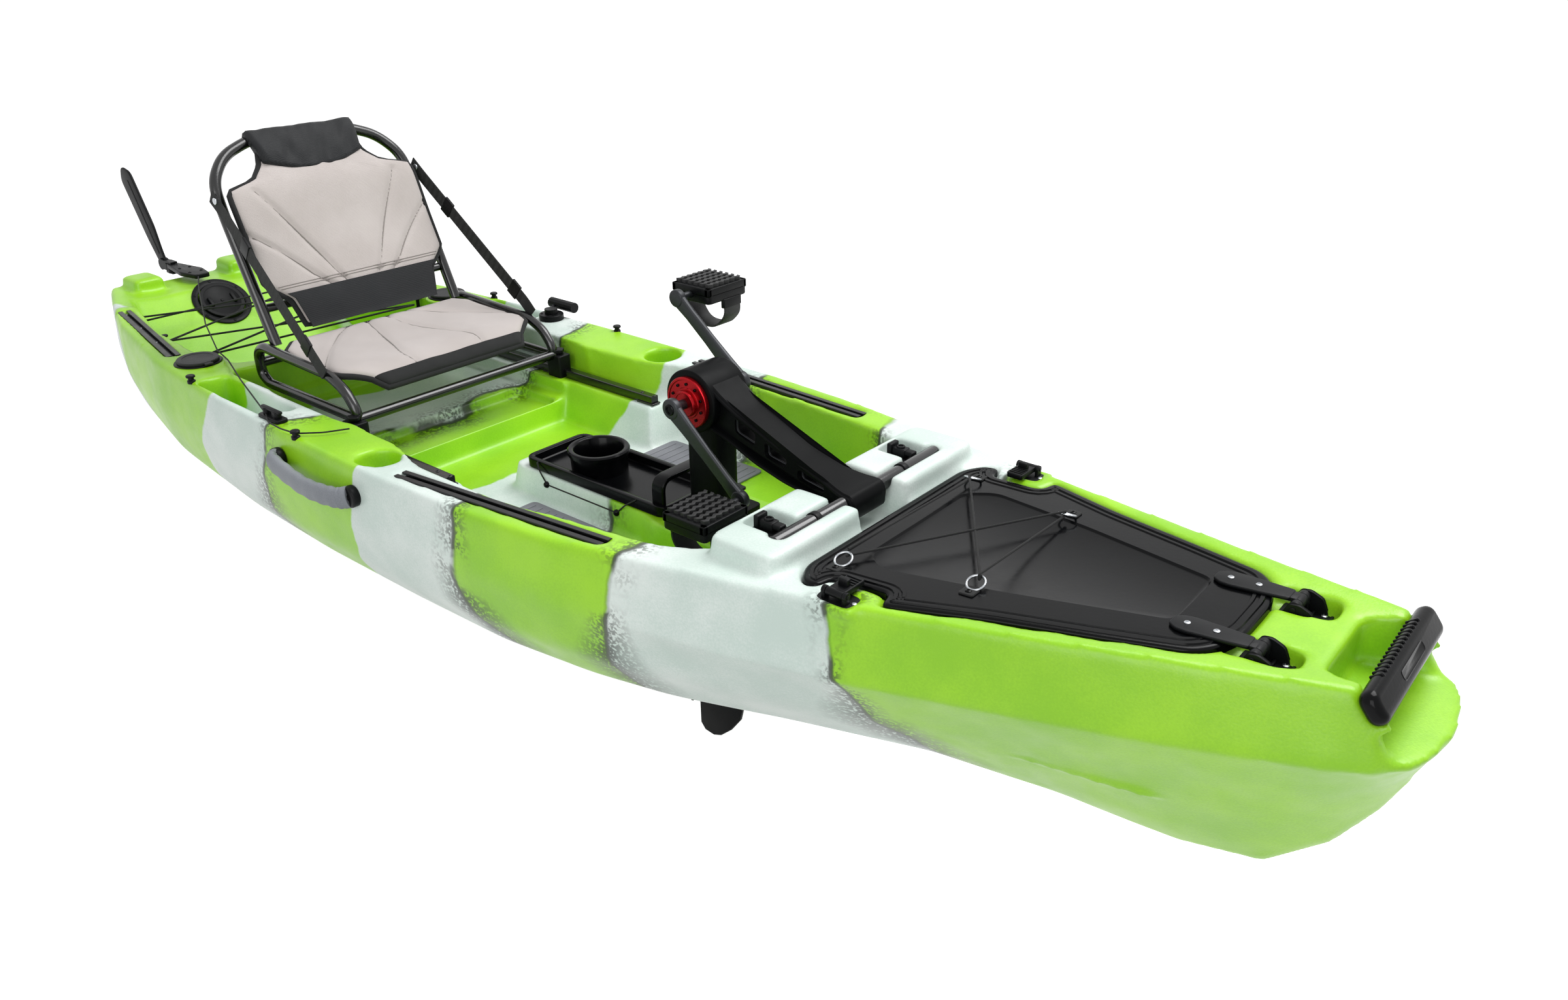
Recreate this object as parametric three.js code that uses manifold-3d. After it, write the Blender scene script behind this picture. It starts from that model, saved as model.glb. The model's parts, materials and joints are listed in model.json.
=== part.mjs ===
// Pedal kayak: a rotomoulded sit-on-top hull with a framed seat, a crank drive
// that drops into a well, a stern rudder, a bow hatch and deck fittings.
// Millimetres. +X points to the bow, +Y to port, +Z up.
// The origin lies on the flat keel strip, on the centreline amidships.
import * as THREE from 'three';
import { mergeVertices } from 'three/addons/utils/BufferGeometryUtils.js';
import Module from 'manifold-3d';

const wasm = await Module();
wasm.setup();

// Driving dimensions of the hull
const hullLength = 3250;
const sternOverhang = 1642; // origin to the transom
const halfBeam = 437;
const hullDepth = 380; // keel to the deck edge amidships
const wall = 5; // moulded wall
const keelHalfWidth = 32;
const clearance = 0.3; // between two pieces that touch
const overrun = 40; // how far a cutter passes the face it opens
const bite = 1; // how far two joined bodies run into each other
const cutTop = 620; // height that every downward cutter starts from
const facets = { small: 8, medium: 12, large: 16 }; // sides of a round shape

// Outer form: place along the hull, seam half width, deck half width, fullness
// of the bottom and of the side, and the keel, seam and deck edge heights.
const stationShares = [
  [0.0, 0.458, 0.435, 0.6, 0.9, 0.6, 0.74, 1.035],
  [0.006, 0.485, 0.462, 0.6, 0.9, 0.42, 0.73, 1.035],
  [0.02, 0.525, 0.505, 0.62, 0.9, 0.24, 0.72, 1.035],
  [0.05, 0.615, 0.595, 0.65, 0.92, 0.09, 0.715, 1.035],
  [0.105, 0.757, 0.738, 0.7, 0.94, 0.0, 0.71, 1.032],
  [0.198, 0.905, 0.886, 0.78, 0.97, 0.0, 0.71, 1.024],
  [0.29, 0.973, 0.95, 0.82, 0.99, 0.0, 0.71, 1.012],
  [0.382, 0.998, 0.979, 0.84, 1.0, 0.0, 0.71, 1.0],
  [0.474, 1.0, 0.984, 0.84, 1.0, 0.0, 0.71, 0.997],
  [0.551, 0.988, 0.963, 0.83, 1.0, 0.0, 0.71, 0.999],
  [0.613, 0.945, 0.917, 0.78, 0.98, 0.0, 0.713, 1.008],
  [0.659, 0.892, 0.85, 0.7, 0.95, 0.0, 0.717, 1.018],
  [0.721, 0.805, 0.757, 0.48, 0.84, 0.0, 0.73, 1.037],
  [0.782, 0.7, 0.652, 0.26, 0.68, 0.0, 0.752, 1.061],
  [0.844, 0.581, 0.535, 0.12, 0.54, 0.0, 0.79, 1.091],
  [0.905, 0.474, 0.412, 0.06, 0.46, 0.025, 0.84, 1.127],
  [0.942, 0.407, 0.34, 0.05, 0.42, 0.1, 0.88, 1.151],
  [0.967, 0.362, 0.29, 0.05, 0.42, 0.31, 0.905, 1.168],
  [0.982, 0.32, 0.256, 0.05, 0.45, 0.53, 0.92, 1.178],
  [0.993, 0.256, 0.21, 0.06, 0.5, 0.76, 0.93, 1.185],
  [0.9975, 0.175, 0.14, 0.08, 0.55, 0.87, 0.937, 1.19],
  [1.0, 0.05, 0.035, 0.1, 0.6, 0.91, 0.94, 1.192],
];
const bottomSteps = 4; // chords from the keel strip to the seam
const gunwaleRound = 10;
const deckDish = 10; // the deck falls this much towards the cockpit

const degrees = THREE.MathUtils.degToRad;
const V = (x, y, z) => new THREE.Vector3(x, y, z);

// Colours of the finished object
const paint = (color, roughness, metalness = 0) =>
  new THREE.MeshStandardMaterial({ color, roughness, metalness });
const limePlastic = paint(0xa4e032, 0.45);
const blackPlastic = paint(0x17191b, 0.38);
const glossBlack = paint(0x0e1012, 0.22);
const blackMetal = paint(0x141414, 0.3, 0.8);
const redMetal = paint(0xb3121d, 0.25, 0.9);
const steel = paint(0xb9bcc0, 0.25, 1);
const greyFabric = paint(0xcfc8c4, 0.85);
const blackFabric = paint(0x15171a, 0.8);
const greyFoam = paint(0x83868b, 0.9);

// Meshes and solids
function positionsOnly(geometry) {
  const bare = geometry.clone();
  for (const name of Object.keys(bare.attributes)) {
    if (name !== 'position') {
      bare.deleteAttribute(name);
    }
  }
  return mergeVertices(bare, 1e-4);
}

function solid(geometry) {
  const bare = positionsOnly(geometry);
  return new wasm.Manifold(
    new wasm.Mesh({
      numProp: 3,
      vertProperties: new Float32Array(bare.attributes.position.array),
      triVerts: new Uint32Array(bare.index.array),
    }),
  );
}

function toGeometry(body) {
  const mesh = body.getMesh();
  const geometry = new THREE.BufferGeometry();
  geometry.setAttribute('position', new THREE.BufferAttribute(mesh.vertProperties, 3));
  geometry.setIndex(new THREE.BufferAttribute(mesh.triVerts, 1));
  geometry.computeVertexNormals();
  return geometry;
}

const joined = (...bodies) => bodies.reduce((all, body) => all.add(body));

// A closed skin over rings that have the same number of points, capped flat
function ringSkin(rings, capFaces) {
  const count = rings[0].length;
  const points = rings.flat();
  const faces = [];
  for (let r = 0; r + 1 < rings.length; r += 1) {
    for (let i = 0; i < count; i += 1) {
      const j = (i + 1) % count;
      const a = r * count + i;
      const b = r * count + j;
      faces.push(a, b, b + count, a, b + count, a + count);
    }
  }
  const last = (rings.length - 1) * count;
  for (const [a, b, c] of capFaces) {
    faces.push(c, b, a);
    faces.push(last + a, last + b, last + c);
  }
  const geometry = new THREE.BufferGeometry();
  geometry.setAttribute(
    'position',
    new THREE.Float32BufferAttribute(points.flatMap((p) => [p.x, p.y, p.z]), 3),
  );
  geometry.setIndex(faces);
  return geometry;
}

// Shifts each side of an outline outwards by a distance
function offsetOutline(points, distance) {
  const count = points.length;
  return points.map((point, i) => {
    const before = points[(i + count - 1) % count];
    const after = points[(i + 1) % count];
    const a = new THREE.Vector2(point[0] - before[0], point[1] - before[1]).normalize();
    const b = new THREE.Vector2(after[0] - point[0], after[1] - point[1]).normalize();
    const normalA = new THREE.Vector2(a.y, -a.x);
    const normalB = new THREE.Vector2(b.y, -b.x);
    const mid = normalA.clone().add(normalB).normalize();
    const reach = distance / Math.max(mid.dot(normalA), 0.35);
    return [point[0] + mid.x * reach, point[1] + mid.y * reach];
  });
}

// Replaces each corner of an outline by an arc of a few chords
function roundOutline(points, radius, chords = 2) {
  const count = points.length;
  const rounded = [];
  points.forEach((point, i) => {
    const corner = new THREE.Vector2(...point);
    const before = new THREE.Vector2(...points[(i + count - 1) % count]).sub(corner);
    const after = new THREE.Vector2(...points[(i + 1) % count]).sub(corner);
    const reach = Math.min(radius, before.length() * 0.45, after.length() * 0.45);
    const curve = new THREE.QuadraticBezierCurve(
      corner.clone().add(before.normalize().multiplyScalar(reach)),
      corner,
      corner.clone().add(after.normalize().multiplyScalar(reach)),
    );
    for (const place of curve.getPoints(chords)) {
      rounded.push([place.x, place.y]);
    }
  });
  return rounded;
}

// A half outline, from aft to fore on the port side, mirrored to a full one
function mirrored(half) {
  const starboard = half.map(([x, y]) => [x, -y]);
  const port = half.slice().reverse();
  return starboard.concat(port.filter(([, y]) => y !== 0));
}

const mirrorY = (points) => points.map(([x, y]) => [x, -y]).reverse();

const capOf = (outline) =>
  THREE.ShapeUtils.triangulateShape(
    outline.map(([x, y]) => new THREE.Vector2(x, y)),
    [],
  );

// A block with upright or drafted sides: levels are [height, outward offset]
function block(outline, levels, radius = 0, chords = 2) {
  const shaped = levels.map(([height, offset]) => {
    const moved = offset === 0 ? outline : offsetOutline(outline, offset);
    const ring = radius > 0 ? roundOutline(moved, radius, chords) : moved;
    return ring.map(([x, y]) => V(x, y, height));
  });
  return solid(ringSkin(shaped, capOf(shaped[0].map((p) => [p.x, p.y]))));
}

const rectangle = (x0, x1, y0, y1) => [
  [x0, y0],
  [x1, y0],
  [x1, y1],
  [x0, y1],
];

function box(sizeX, sizeY, sizeZ, x, y, z) {
  return solid(new THREE.BoxGeometry(sizeX, sizeY, sizeZ).translate(x, y, z));
}

// A round bar between two points
function bar(from, to, radius, sides = facets.medium, endRadius = radius) {
  const along = to.clone().sub(from);
  const geometry = new THREE.CylinderGeometry(endRadius, radius, along.length(), sides);
  geometry.applyQuaternion(
    new THREE.Quaternion().setFromUnitVectors(V(0, 1, 0), along.clone().normalize()),
  );
  const middle = from.clone().add(to).multiplyScalar(1 / 2);
  return solid(geometry.translate(middle.x, middle.y, middle.z));
}

// A profile drawn in X and Z, given a width across the kayak
function sideProfile(points, y0, y1) {
  const shape = new THREE.Shape(points.map(([x, z]) => new THREE.Vector2(x, z)));
  const geometry = new THREE.ExtrudeGeometry(shape, { depth: y1 - y0, bevelEnabled: false });
  geometry.rotateX(Math.PI / 2);
  return solid(geometry.translate(0, y1, 0));
}

// A path of straight runs with rounded bends
function route(points, bend) {
  const path = new THREE.CurvePath();
  let from = points[0];
  for (let i = 1; i + 1 < points.length; i += 1) {
    const corner = points[i];
    const before = points[i - 1].clone().sub(corner);
    const after = points[i + 1].clone().sub(corner);
    const reach = Math.min(bend, before.length() * 0.45, after.length() * 0.45);
    const enter = corner.clone().add(before.normalize().multiplyScalar(reach));
    const leave = corner.clone().add(after.normalize().multiplyScalar(reach));
    path.add(new THREE.LineCurve3(from, enter));
    path.add(new THREE.QuadraticBezierCurve3(enter, corner, leave));
    from = leave;
  }
  path.add(new THREE.LineCurve3(from, points[points.length - 1]));
  return path;
}

// The places along a route: the ends of its runs and a few chords in each bend
function placesOn(points, bend, chords) {
  const places = [];
  for (const curve of route(points, bend).curves) {
    const straight = curve instanceof THREE.LineCurve3;
    const steps = straight ? [0, 1] : Array.from({ length: chords + 1 }, (_, i) => i / chords);
    for (const step of steps) {
      const place = curve.getPoint(step);
      if (places.length === 0 || place.distanceTo(places[places.length - 1]) > clearance) {
        places.push(place);
      }
    }
  }
  return places;
}

// Sweeps a section, drawn as [across, up] pairs, along places without a twist
function swept(places, section) {
  const rings = [];
  let normal = null;
  places.forEach((place, i) => {
    const before = places[Math.max(i - 1, 0)];
    const after = places[Math.min(i + 1, places.length - 1)];
    const arriving = place.clone().sub(before).normalize();
    const leaving = after.clone().sub(place).normalize();
    const along = arriving.clone().add(leaving).normalize();
    if (normal === null) {
      const up = Math.abs(along.z) > 0.9 ? V(1, 0, 0) : V(0, 0, 1);
      normal = up.sub(along.clone().multiplyScalar(up.dot(along))).normalize();
    } else {
      normal.sub(along.clone().multiplyScalar(normal.dot(along))).normalize();
    }
    const across = normal.clone().cross(along);
    const turnCosine = i === 0 || i === places.length - 1 ? 1 : along.dot(leaving);
    const bendAxis = arriving.clone().cross(leaving);
    const outward = bendAxis.length() > 1e-6 ? bendAxis.cross(along).normalize() : null;
    rings.push(
      section.map(([a, b]) => {
        const reach = across.clone().multiplyScalar(a).add(normal.clone().multiplyScalar(b));
        if (outward !== null) {
          reach.add(outward.clone().multiplyScalar(reach.dot(outward) * (1 / turnCosine - 1)));
        }
        return place.clone().add(reach);
      }),
    );
  });
  return solid(ringSkin(rings, capOf(section)));
}

function tube(points, radius, bend, chords = 2, sides = facets.small) {
  const section = [];
  for (let i = 0; i < sides; i += 1) {
    const angle = (2 * Math.PI * i) / sides;
    section.push([radius * Math.cos(angle), radius * Math.sin(angle)]);
  }
  return swept(placesOn(points, bend, chords), section);
}

// A flat strap along a path, so wide across it and so thick above it
function strap(points, across, above, bend, chords = 2) {
  return swept(
    placesOn(points, bend, chords),
    rectangle(-across / 2, across / 2, -above / 2, above / 2),
  );
}

// Turns a profile about Z; the profile closes on itself or on the axis
function turned(profile, sides = facets.large) {
  const points = profile.map(([r, z]) => new THREE.Vector2(r, z));
  return solid(new THREE.LatheGeometry(points, sides).rotateX(Math.PI / 2));
}

const group = new THREE.Group();
group.name = 'pedal_kayak';

function add(name, body, material) {
  const mesh = new THREE.Mesh(toGeometry(body), material);
  mesh.name = name;
  group.add(mesh);
  return body;
}

const sides = [
  ['starboard', -1],
  ['port', 1],
];

// Height of the deck edge at a place along the hull
function stationAt(x) {
  const share = (x + sternOverhang) / hullLength;
  let i = 1;
  while (i < stationShares.length - 1 && stationShares[i][0] < share) {
    i += 1;
  }
  const low = stationShares[i - 1];
  const high = stationShares[i];
  const mix = THREE.MathUtils.clamp((share - low[0]) / (high[0] - low[0]), 0, 1);
  return low.map((value, k) => THREE.MathUtils.lerp(value, high[k], mix));
}
const sheer = (x) => stationAt(x)[7] * hullDepth;
const deckHalfWidth = (x) => stationAt(x)[2] * halfBeam;

// Hull

function hullSection(row, inset) {
  const [place, seamShare, deckShare, bottomShare, sideShare, keelShare, seamHeightShare, sheerShare] = row;
  const x = -sternOverhang + place * hullLength;
  const seam = Math.max(seamShare * halfBeam - inset, 1);
  const deck = Math.max(deckShare * halfBeam - inset, 1);
  const keel = keelShare * hullDepth + inset;
  const seamZ = seamHeightShare * hullDepth;
  const top = sheerShare * hullDepth - inset;
  const strip = Math.max(Math.min(keelHalfWidth, seam * 0.4) * bottomShare, clearance);
  const bottom = new THREE.CubicBezierCurve(
    new THREE.Vector2(strip, keel),
    new THREE.Vector2(Math.max(bottomShare * seam, strip), keel),
    new THREE.Vector2(sideShare * seam, keel + (seamZ - keel) * 0.5),
    new THREE.Vector2(seam, seamZ),
  );
  const round = Math.min(gunwaleRound, deck * 0.4);
  const half = bottom.getPoints(bottomSteps).map((p) => [p.x, p.y]);
  half.push([deck, top - round], [deck - round * 0.6, top], [deck * 0.55, top - deckDish]);
  const port = half.map(([y, z]) => V(x, y, z));
  const starboard = half.reverse().map(([y, z]) => V(x, -y, z));
  return port.concat(starboard);
}

function hullBody(inset) {
  const rows = stationShares.map((row) => row.slice());
  const endInset = inset / hullLength;
  rows[0][0] += endInset;
  rows[rows.length - 1][0] -= endInset;
  const rings = rows.map((row) => hullSection(row, inset));
  const outline = rings[0].map((p) => [p.y, p.z]);
  return solid(ringSkin(rings, capOf(outline)));
}

// Each pocket is an outline in shares of its length and half width, a floor
// height, and a draft that narrows it towards the floor.

function pocketOutline(pocket) {
  const length = pocket.fore - pocket.aft;
  return pocket.outlineShares.map(([along, across]) => [
    pocket.aft + along * length,
    across * pocket.halfWidth,
  ]);
}

// The far side of a moulded wall keeps its corners sharp
function pocketCut(pocket, outline, grow) {
  const depth = deckLevel - pocket.floor;
  return block(
    outline,
    [
      [pocket.floor - grow, grow - depth * pocket.draftShare],
      [deckLevel, grow],
      [cutTop, grow],
    ],
    grow > 0 ? 0 : pocket.corner,
  );
}

const deckLevel = 365;

// Cockpit foot well, with the hump that carries the console and the drive well
const cockpit = {
  aft: -360,
  fore: 600,
  halfWidth: 345,
  floor: 215,
  draftShare: 0.18,
  corner: 45,
  outlineShares: [
    [0, 0.88],
    [0.2, 0.9],
    [0.29, 1],
    [0.54, 1],
    [0.9, 0.87],
    [1, 0.75],
  ],
};
const hump = {
  aft: -135,
  fore: 640,
  halfWidth: 150,
  top: 270,
  draftShare: 0.22,
  corner: 20,
  outlineShares: [
    [0, 0.5],
    [0.03, 0.57],
    [0.5, 0.57],
    [0.54, 0.68],
    [0.8, 0.68],
    [0.86, 0.6],
    [1, 0.6],
  ],
};
// A ledge along each wall of the foot well carries the fore end of a seat rail
const sideLedge = { aft: -420, fore: -74, inner: 250, draftShare: 0.36 };
// Two low ledges step up from the foot well to the floor under the seat
const seatBay = {
  aft: -800,
  fore: -280,
  halfWidth: 312,
  floor: 300,
  draftShare: 0.05,
  corner: 18,
  outlineShares: [
    [0, 1],
    [0.8, 1],
    [1, 0.93],
  ],
};
const seatFloor = {
  aft: -790,
  fore: -300,
  halfWidth: 246,
  floor: 268,
  draftShare: 0.1,
  corner: 25,
  outlineShares: [
    [0, 1],
    [1, 1],
  ],
};
const seatStep = {
  aft: -510,
  fore: -320,
  halfWidth: 246,
  floor: 242,
  draftShare: 0.25,
  corner: 20,
  outlineShares: [
    [0, 0.98],
    [1, 0.98],
  ],
};
const sidePocket = {
  aft: -782,
  fore: -498,
  portFore: -592, // the steering lever stands ahead of the pocket on this side
  inner: 328,
  outer: 398,
  floor: 300,
  draftShare: 0.06,
  corner: 14,
};
const cupRecess = { x: -150, y: 372, radius: 42, floor: 275 };
const rodBore = { x: -896, y: 332, radius: 25, floor: 232 };

// Tank well behind the seat: a flat floor and a ramp up to the stern deck
const tankWell = {
  aft: -1545,
  fore: -842,
  halfWidth: 300,
  floor: 200,
  draftShare: 0.1,
  corner: 35,
  outlineShares: [
    [0, 0.62],
    [0.2, 0.76],
    [0.5, 0.94],
    [0.82, 1],
    [1, 0.92],
  ],
};
const ramp = { tilt: 40.5, plateX: -1445, plateZ: 346 };

// Raised blocks on the stern deck, one on each side of the rudder bracket
const sternPad = { aft: -1634, fore: -1546, inner: 90, outer: 166, height: 26, draft: 7 };

// Cross beam between the cockpit and the hatch, grooved for the drive's bar
const beam = { aft: 600, fore: 736, halfWidth: 292, top: 424, corner: 22, draft: 6 };
const crossBar = { x: 683, z: 409, radius: 13, halfLength: 226, clearance: 1 };
const beamGap = { halfWidth: 62, floor: 350 };

// Bow hatch: the lid lies on a ledge and turns on a pin ahead of it
const hatch = {
  aft: 742,
  fore: 1352,
  halfWidth: 265,
  tilt: 3.2,
  seatZ: 412, // height of the ledge under the hinge pin
  thickness: 16,
  corner: 26,
  gap: 4,
  outlineShares: [
    [0, 0.84],
    [0.04, 0.98],
    [0.09, 1],
    [0.1, 0.86],
    [0.26, 0.84],
    [0.27, 0.98],
    [0.5, 0.79],
    [0.76, 0.62],
    [0.93, 0.5],
    [0.97, 0.4],
    [1, 0.2],
  ],
};
const hatchHold = {
  aft: 790,
  fore: 1290,
  halfWidth: 185,
  corner: 40,
  outlineShares: [
    [0, 1],
    [1, 0.5],
  ],
};
const hinge = { x: 1378, y: 78, z: 424, pinRadius: 4, width: 44, strapLength: 110 };
const hingePocket = { aft: 1335, fore: 1432, halfWidth: 30, floor: 398 };

// Bow: a recess behind the handle, and the low lip ahead of it
const bowRecess = {
  aft: 1462,
  fore: 1600,
  halfWidth: 112,
  floor: 362,
  draftShare: 0.5,
  corner: 12,
  outlineShares: [
    [0, 0.72],
    [1, 1.1],
  ],
};
const bowStep = { deckX: 1506, lipX: 1562, lip: 362 };
const driveWell = { aft: 236, fore: 446, halfWidth: 41, corner: 34 };

const ledgeZ = (x) => hatch.seatZ + (x - hinge.x) * Math.tan(degrees(hatch.tilt));

function tilted(body) {
  return body
    .translate([-hinge.x, 0, -hatch.seatZ])
    .rotate([0, -hatch.tilt, 0])
    .translate([hinge.x, 0, hatch.seatZ]);
}

function hatchRecess(grow) {
  const outline = mirrored(pocketOutline(hatch));
  return tilted(
    block(
      outline,
      [
        [hatch.seatZ - grow, hatch.gap + grow],
        [cutTop, hatch.gap + grow],
      ],
      grow > 0 ? 0 : hatch.corner,
    ),
  );
}

function hingePocketCut(side, grow) {
  const y = side * hinge.y;
  const { aft, fore, halfWidth, floor } = hingePocket;
  return block(
    rectangle(aft, fore, y - halfWidth, y + halfWidth),
    [
      [floor - grow, grow],
      [cutTop, grow],
    ],
    grow > 0 ? 0 : halfWidth * 0.6,
  );
}

function tankCut(grow) {
  const rampRun = Math.tan(degrees(ramp.tilt));
  const rampX = (z) => ramp.plateX + (ramp.plateZ - z) / rampRun;
  const shift = grow / Math.sin(degrees(ramp.tilt));
  const floor = tankWell.floor - grow;
  const profile = [
    [rampX(floor) - shift, floor],
    [tankWell.fore + overrun, floor],
    [tankWell.fore + overrun, cutTop],
    [rampX(cutTop) - shift, cutTop],
  ];
  const across = deckHalfWidth(tankWell.fore);
  const cut = pocketCut(tankWell, mirrored(pocketOutline(tankWell)), grow);
  return cut.intersect(sideProfile(profile, -across, across));
}

function sidePocketCut(side, grow) {
  const { aft, fore, portFore, inner, outer } = sidePocket;
  const outline =
    side > 0 ? rectangle(aft, portFore, inner, outer) : rectangle(aft, fore, -outer, -inner);
  return pocketCut(sidePocket, outline, grow);
}

function bowCut(grow) {
  const { deckX, lipX, lip } = bowStep;
  const past = hullLength - sternOverhang + overrun;
  const profile = [
    [deckX - grow, cutTop],
    [deckX - grow, sheer(deckX) - grow],
    [lipX - grow, lip - grow],
    [past, lip - grow],
    [past, cutTop],
  ];
  return sideProfile(profile, -halfBeam, halfBeam);
}

// Everything taken out of the outer form; grown by the wall it gives the
// pockets' moulded walls their far side
function pockets(grow) {
  const well = pocketCut(cockpit, mirrored(pocketOutline(cockpit)), grow);
  const humpRise = hump.top - cockpit.floor;
  const island = block(
    mirrored(pocketOutline(hump)),
    [
      [0, humpRise * hump.draftShare - grow],
      [cockpit.floor, humpRise * hump.draftShare - grow],
      [hump.top - grow, -grow],
    ],
    grow > 0 ? 0 : hump.corner,
  );
  const ledgeRise = seatBay.floor - cockpit.floor;
  const slope = ledgeRise * sideLedge.draftShare;
  const ledges = sides.map(([, side]) =>
    block(
      side > 0
        ? rectangle(sideLedge.aft, sideLedge.fore, sideLedge.inner, halfBeam)
        : rectangle(sideLedge.aft, sideLedge.fore, -halfBeam, -sideLedge.inner),
      [
        [0, slope - grow],
        [cockpit.floor, slope - grow],
        [seatBay.floor - grow, -grow],
      ],
    ),
  );
  const cuts = [
    well.subtract(joined(island, ...ledges)),
    pocketCut(seatBay, mirrored(pocketOutline(seatBay)), grow),
    pocketCut(seatFloor, mirrored(pocketOutline(seatFloor)), grow),
    pocketCut(seatStep, mirrored(pocketOutline(seatStep)), grow),
    tankCut(grow),
    hatchRecess(grow),
    pocketCut(bowRecess, mirrored(pocketOutline(bowRecess)), grow),
  ];
  for (const [, side] of sides) {
    cuts.push(sidePocketCut(side, grow), hingePocketCut(side, grow));
    for (const bore of [cupRecess, rodBore]) {
      cuts.push(
        bar(
          V(bore.x, side * bore.y, bore.floor - grow),
          V(bore.x, side * bore.y, cutTop),
          bore.radius + grow,
          facets.large,
        ),
      );
    }
  }
  return joined(...cuts);
}

function driveWellBody(grow) {
  const { aft, fore, halfWidth, corner } = driveWell;
  return block(
    rectangle(aft, fore, -halfWidth, halfWidth),
    [
      [-overrun, grow],
      [cutTop, grow],
    ],
    grow > 0 ? 0 : corner,
    3,
  );
}

function beamBody() {
  const { aft, fore, halfWidth, top, corner, draft } = beam;
  return block(
    rectangle(aft - draft, fore, -halfWidth, halfWidth),
    [
      [cockpit.floor, 0],
      [deckLevel, 0],
      [top, -draft],
    ],
    corner,
  );
}

function sternPadBody(side) {
  const { aft, fore, inner, outer, height, draft } = sternPad;
  const port = rectangle(aft, fore, inner, outer);
  const top = sheer(aft) + height;
  return block(
    side > 0 ? port : mirrorY(port),
    [
      [top - height - 2 * deckDish, 0],
      [top - draft, 0],
      [top, -draft],
    ],
    draft,
    1,
  );
}

function barGroove() {
  const { x, z, radius, halfLength, clearance: gap } = crossBar;
  const reach = halfLength + gap;
  const round = bar(V(x, -reach, z), V(x, reach, z), radius + gap, facets.large);
  const above = box(2 * (radius + gap), 2 * reach, cutTop - z, x, 0, (cutTop + z) / 2);
  return round.add(above);
}

function beamGapBody(grow) {
  const floor = beamGap.floor - grow;
  return box(
    beam.fore - beam.aft + 2 * (overrun + grow),
    2 * (beamGap.halfWidth + grow),
    cutTop - floor,
    (beam.aft + beam.fore) / 2,
    0,
    (cutTop + floor) / 2,
  );
}

// Bow handle between the two bulwarks
const bowHandle = {
  x: 1532,
  z: 429,
  tilt: 52, // the grip lies on the bulwarks' sloping ends
  length: 276,
  width: 46,
  thickness: 26,
  corner: 18,
  draft: 4,
  dimpleLength: 96,
  dimpleWidth: 14,
  dimpleDepth: 4,
};

function bowHandleOutline() {
  const { length, width, corner } = bowHandle;
  return roundOutline(rectangle(-width / 2, width / 2, -length / 2, length / 2), corner, 3);
}

// The room that the grip takes out of the bulwarks' ends
function bowHandleSeat(grow) {
  const { x, z, tilt, thickness, draft } = bowHandle;
  const around = clearance + grow;
  return block(bowHandleOutline(), [
    [-thickness / 2 - around, around - draft],
    [-thickness / 4, around],
    [overrun, around],
  ])
    .rotate([0, tilt, 0])
    .translate([x, 0, z]);
}

function makeHull() {
  let outer = hullBody(0);
  const walled = joined(
    pockets(wall),
    driveWellBody(wall),
    beamGapBody(wall),
    bowCut(wall),
    bowHandleSeat(wall),
  );
  const cavity = hullBody(wall).subtract(walled);
  const hold = tilted(
    block(
      mirrored(pocketOutline(hatchHold)),
      [
        [hatch.seatZ - 2 * wall, 0],
        [cutTop, 0],
      ],
      hatchHold.corner,
    ),
  );
  outer = outer.subtract(pockets(0)).add(beamBody().subtract(hatchRecess(0)));
  for (const [, side] of sides) {
    outer = outer.add(sternPadBody(side));
  }
  return outer
    .subtract(cavity)
    .subtract(joined(beamGapBody(0), barGroove(), bowCut(0), hold))
    .subtract(driveWellBody(0));
}

let hull = makeHull();

// Places a body that was made flat at the origin onto the deck, turned about Z
function placed(body, x, y, z, turn = 0, pitch = 0) {
  return body.rotate([0, pitch, 0]).rotate([0, 0, turn]).translate([x, y, z]);
}

// Takes a piece and its running clearance out of the hull, so that it seats
function seatInHull(body) {
  hull = hull.subtract(body);
}

// Gear tracks: slotted bars let into the side decks
const trackSize = { width: 30, height: 14, slotWidth: 9, slotDepth: 8, lip: 4, proud: 2 };
const trackPlaces = [
  { name: 'front_track', aft: [-58, 388], fore: [436, 345] },
  { name: 'rear_track', aft: [-1408, 262], fore: [-985, 344] },
];

function trackFrame(place) {
  const [x0, y0] = place.aft;
  const [x1, y1] = place.fore;
  const z0 = sheer(x0) - deckDish / 2;
  const z1 = sheer(x1) - deckDish / 2;
  const length = Math.hypot(x1 - x0, y1 - y0);
  return {
    x: (x0 + x1) / 2,
    y: (y0 + y1) / 2,
    z: (z0 + z1) / 2,
    length,
    turn: THREE.MathUtils.radToDeg(Math.atan2(y1 - y0, x1 - x0)),
    pitch: -THREE.MathUtils.radToDeg(Math.atan2(z1 - z0, length)),
  };
}

function makeTrack(place, side) {
  const { width, height, slotWidth, slotDepth, lip, proud } = trackSize;
  const frame = trackFrame(place);
  const middle = proud - height / 2;
  const at = (body) =>
    placed(body, frame.x, side * frame.y, frame.z, side * frame.turn, frame.pitch);
  const rail = box(frame.length, width, height, 0, 0, middle)
    .subtract(box(frame.length + overrun, slotWidth, overrun, 0, 0, overrun / 2 - lip))
    .subtract(
      box(
        frame.length + overrun,
        width - 2 * lip,
        slotDepth - lip,
        0,
        0,
        proud - lip - (slotDepth - lip) / 2,
      ),
    );
  const seatBox = box(
    frame.length + 2 * clearance,
    width + 2 * clearance,
    height + overrun,
    0,
    0,
    proud - height - clearance + (height + overrun) / 2,
  );
  seatInHull(at(seatBox));
  return at(rail);
}

for (const place of trackPlaces) {
  for (const [sideName, side] of sides) {
    add(`${place.name}_${sideName}`, makeTrack(place, side), blackMetal);
  }
}

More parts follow.
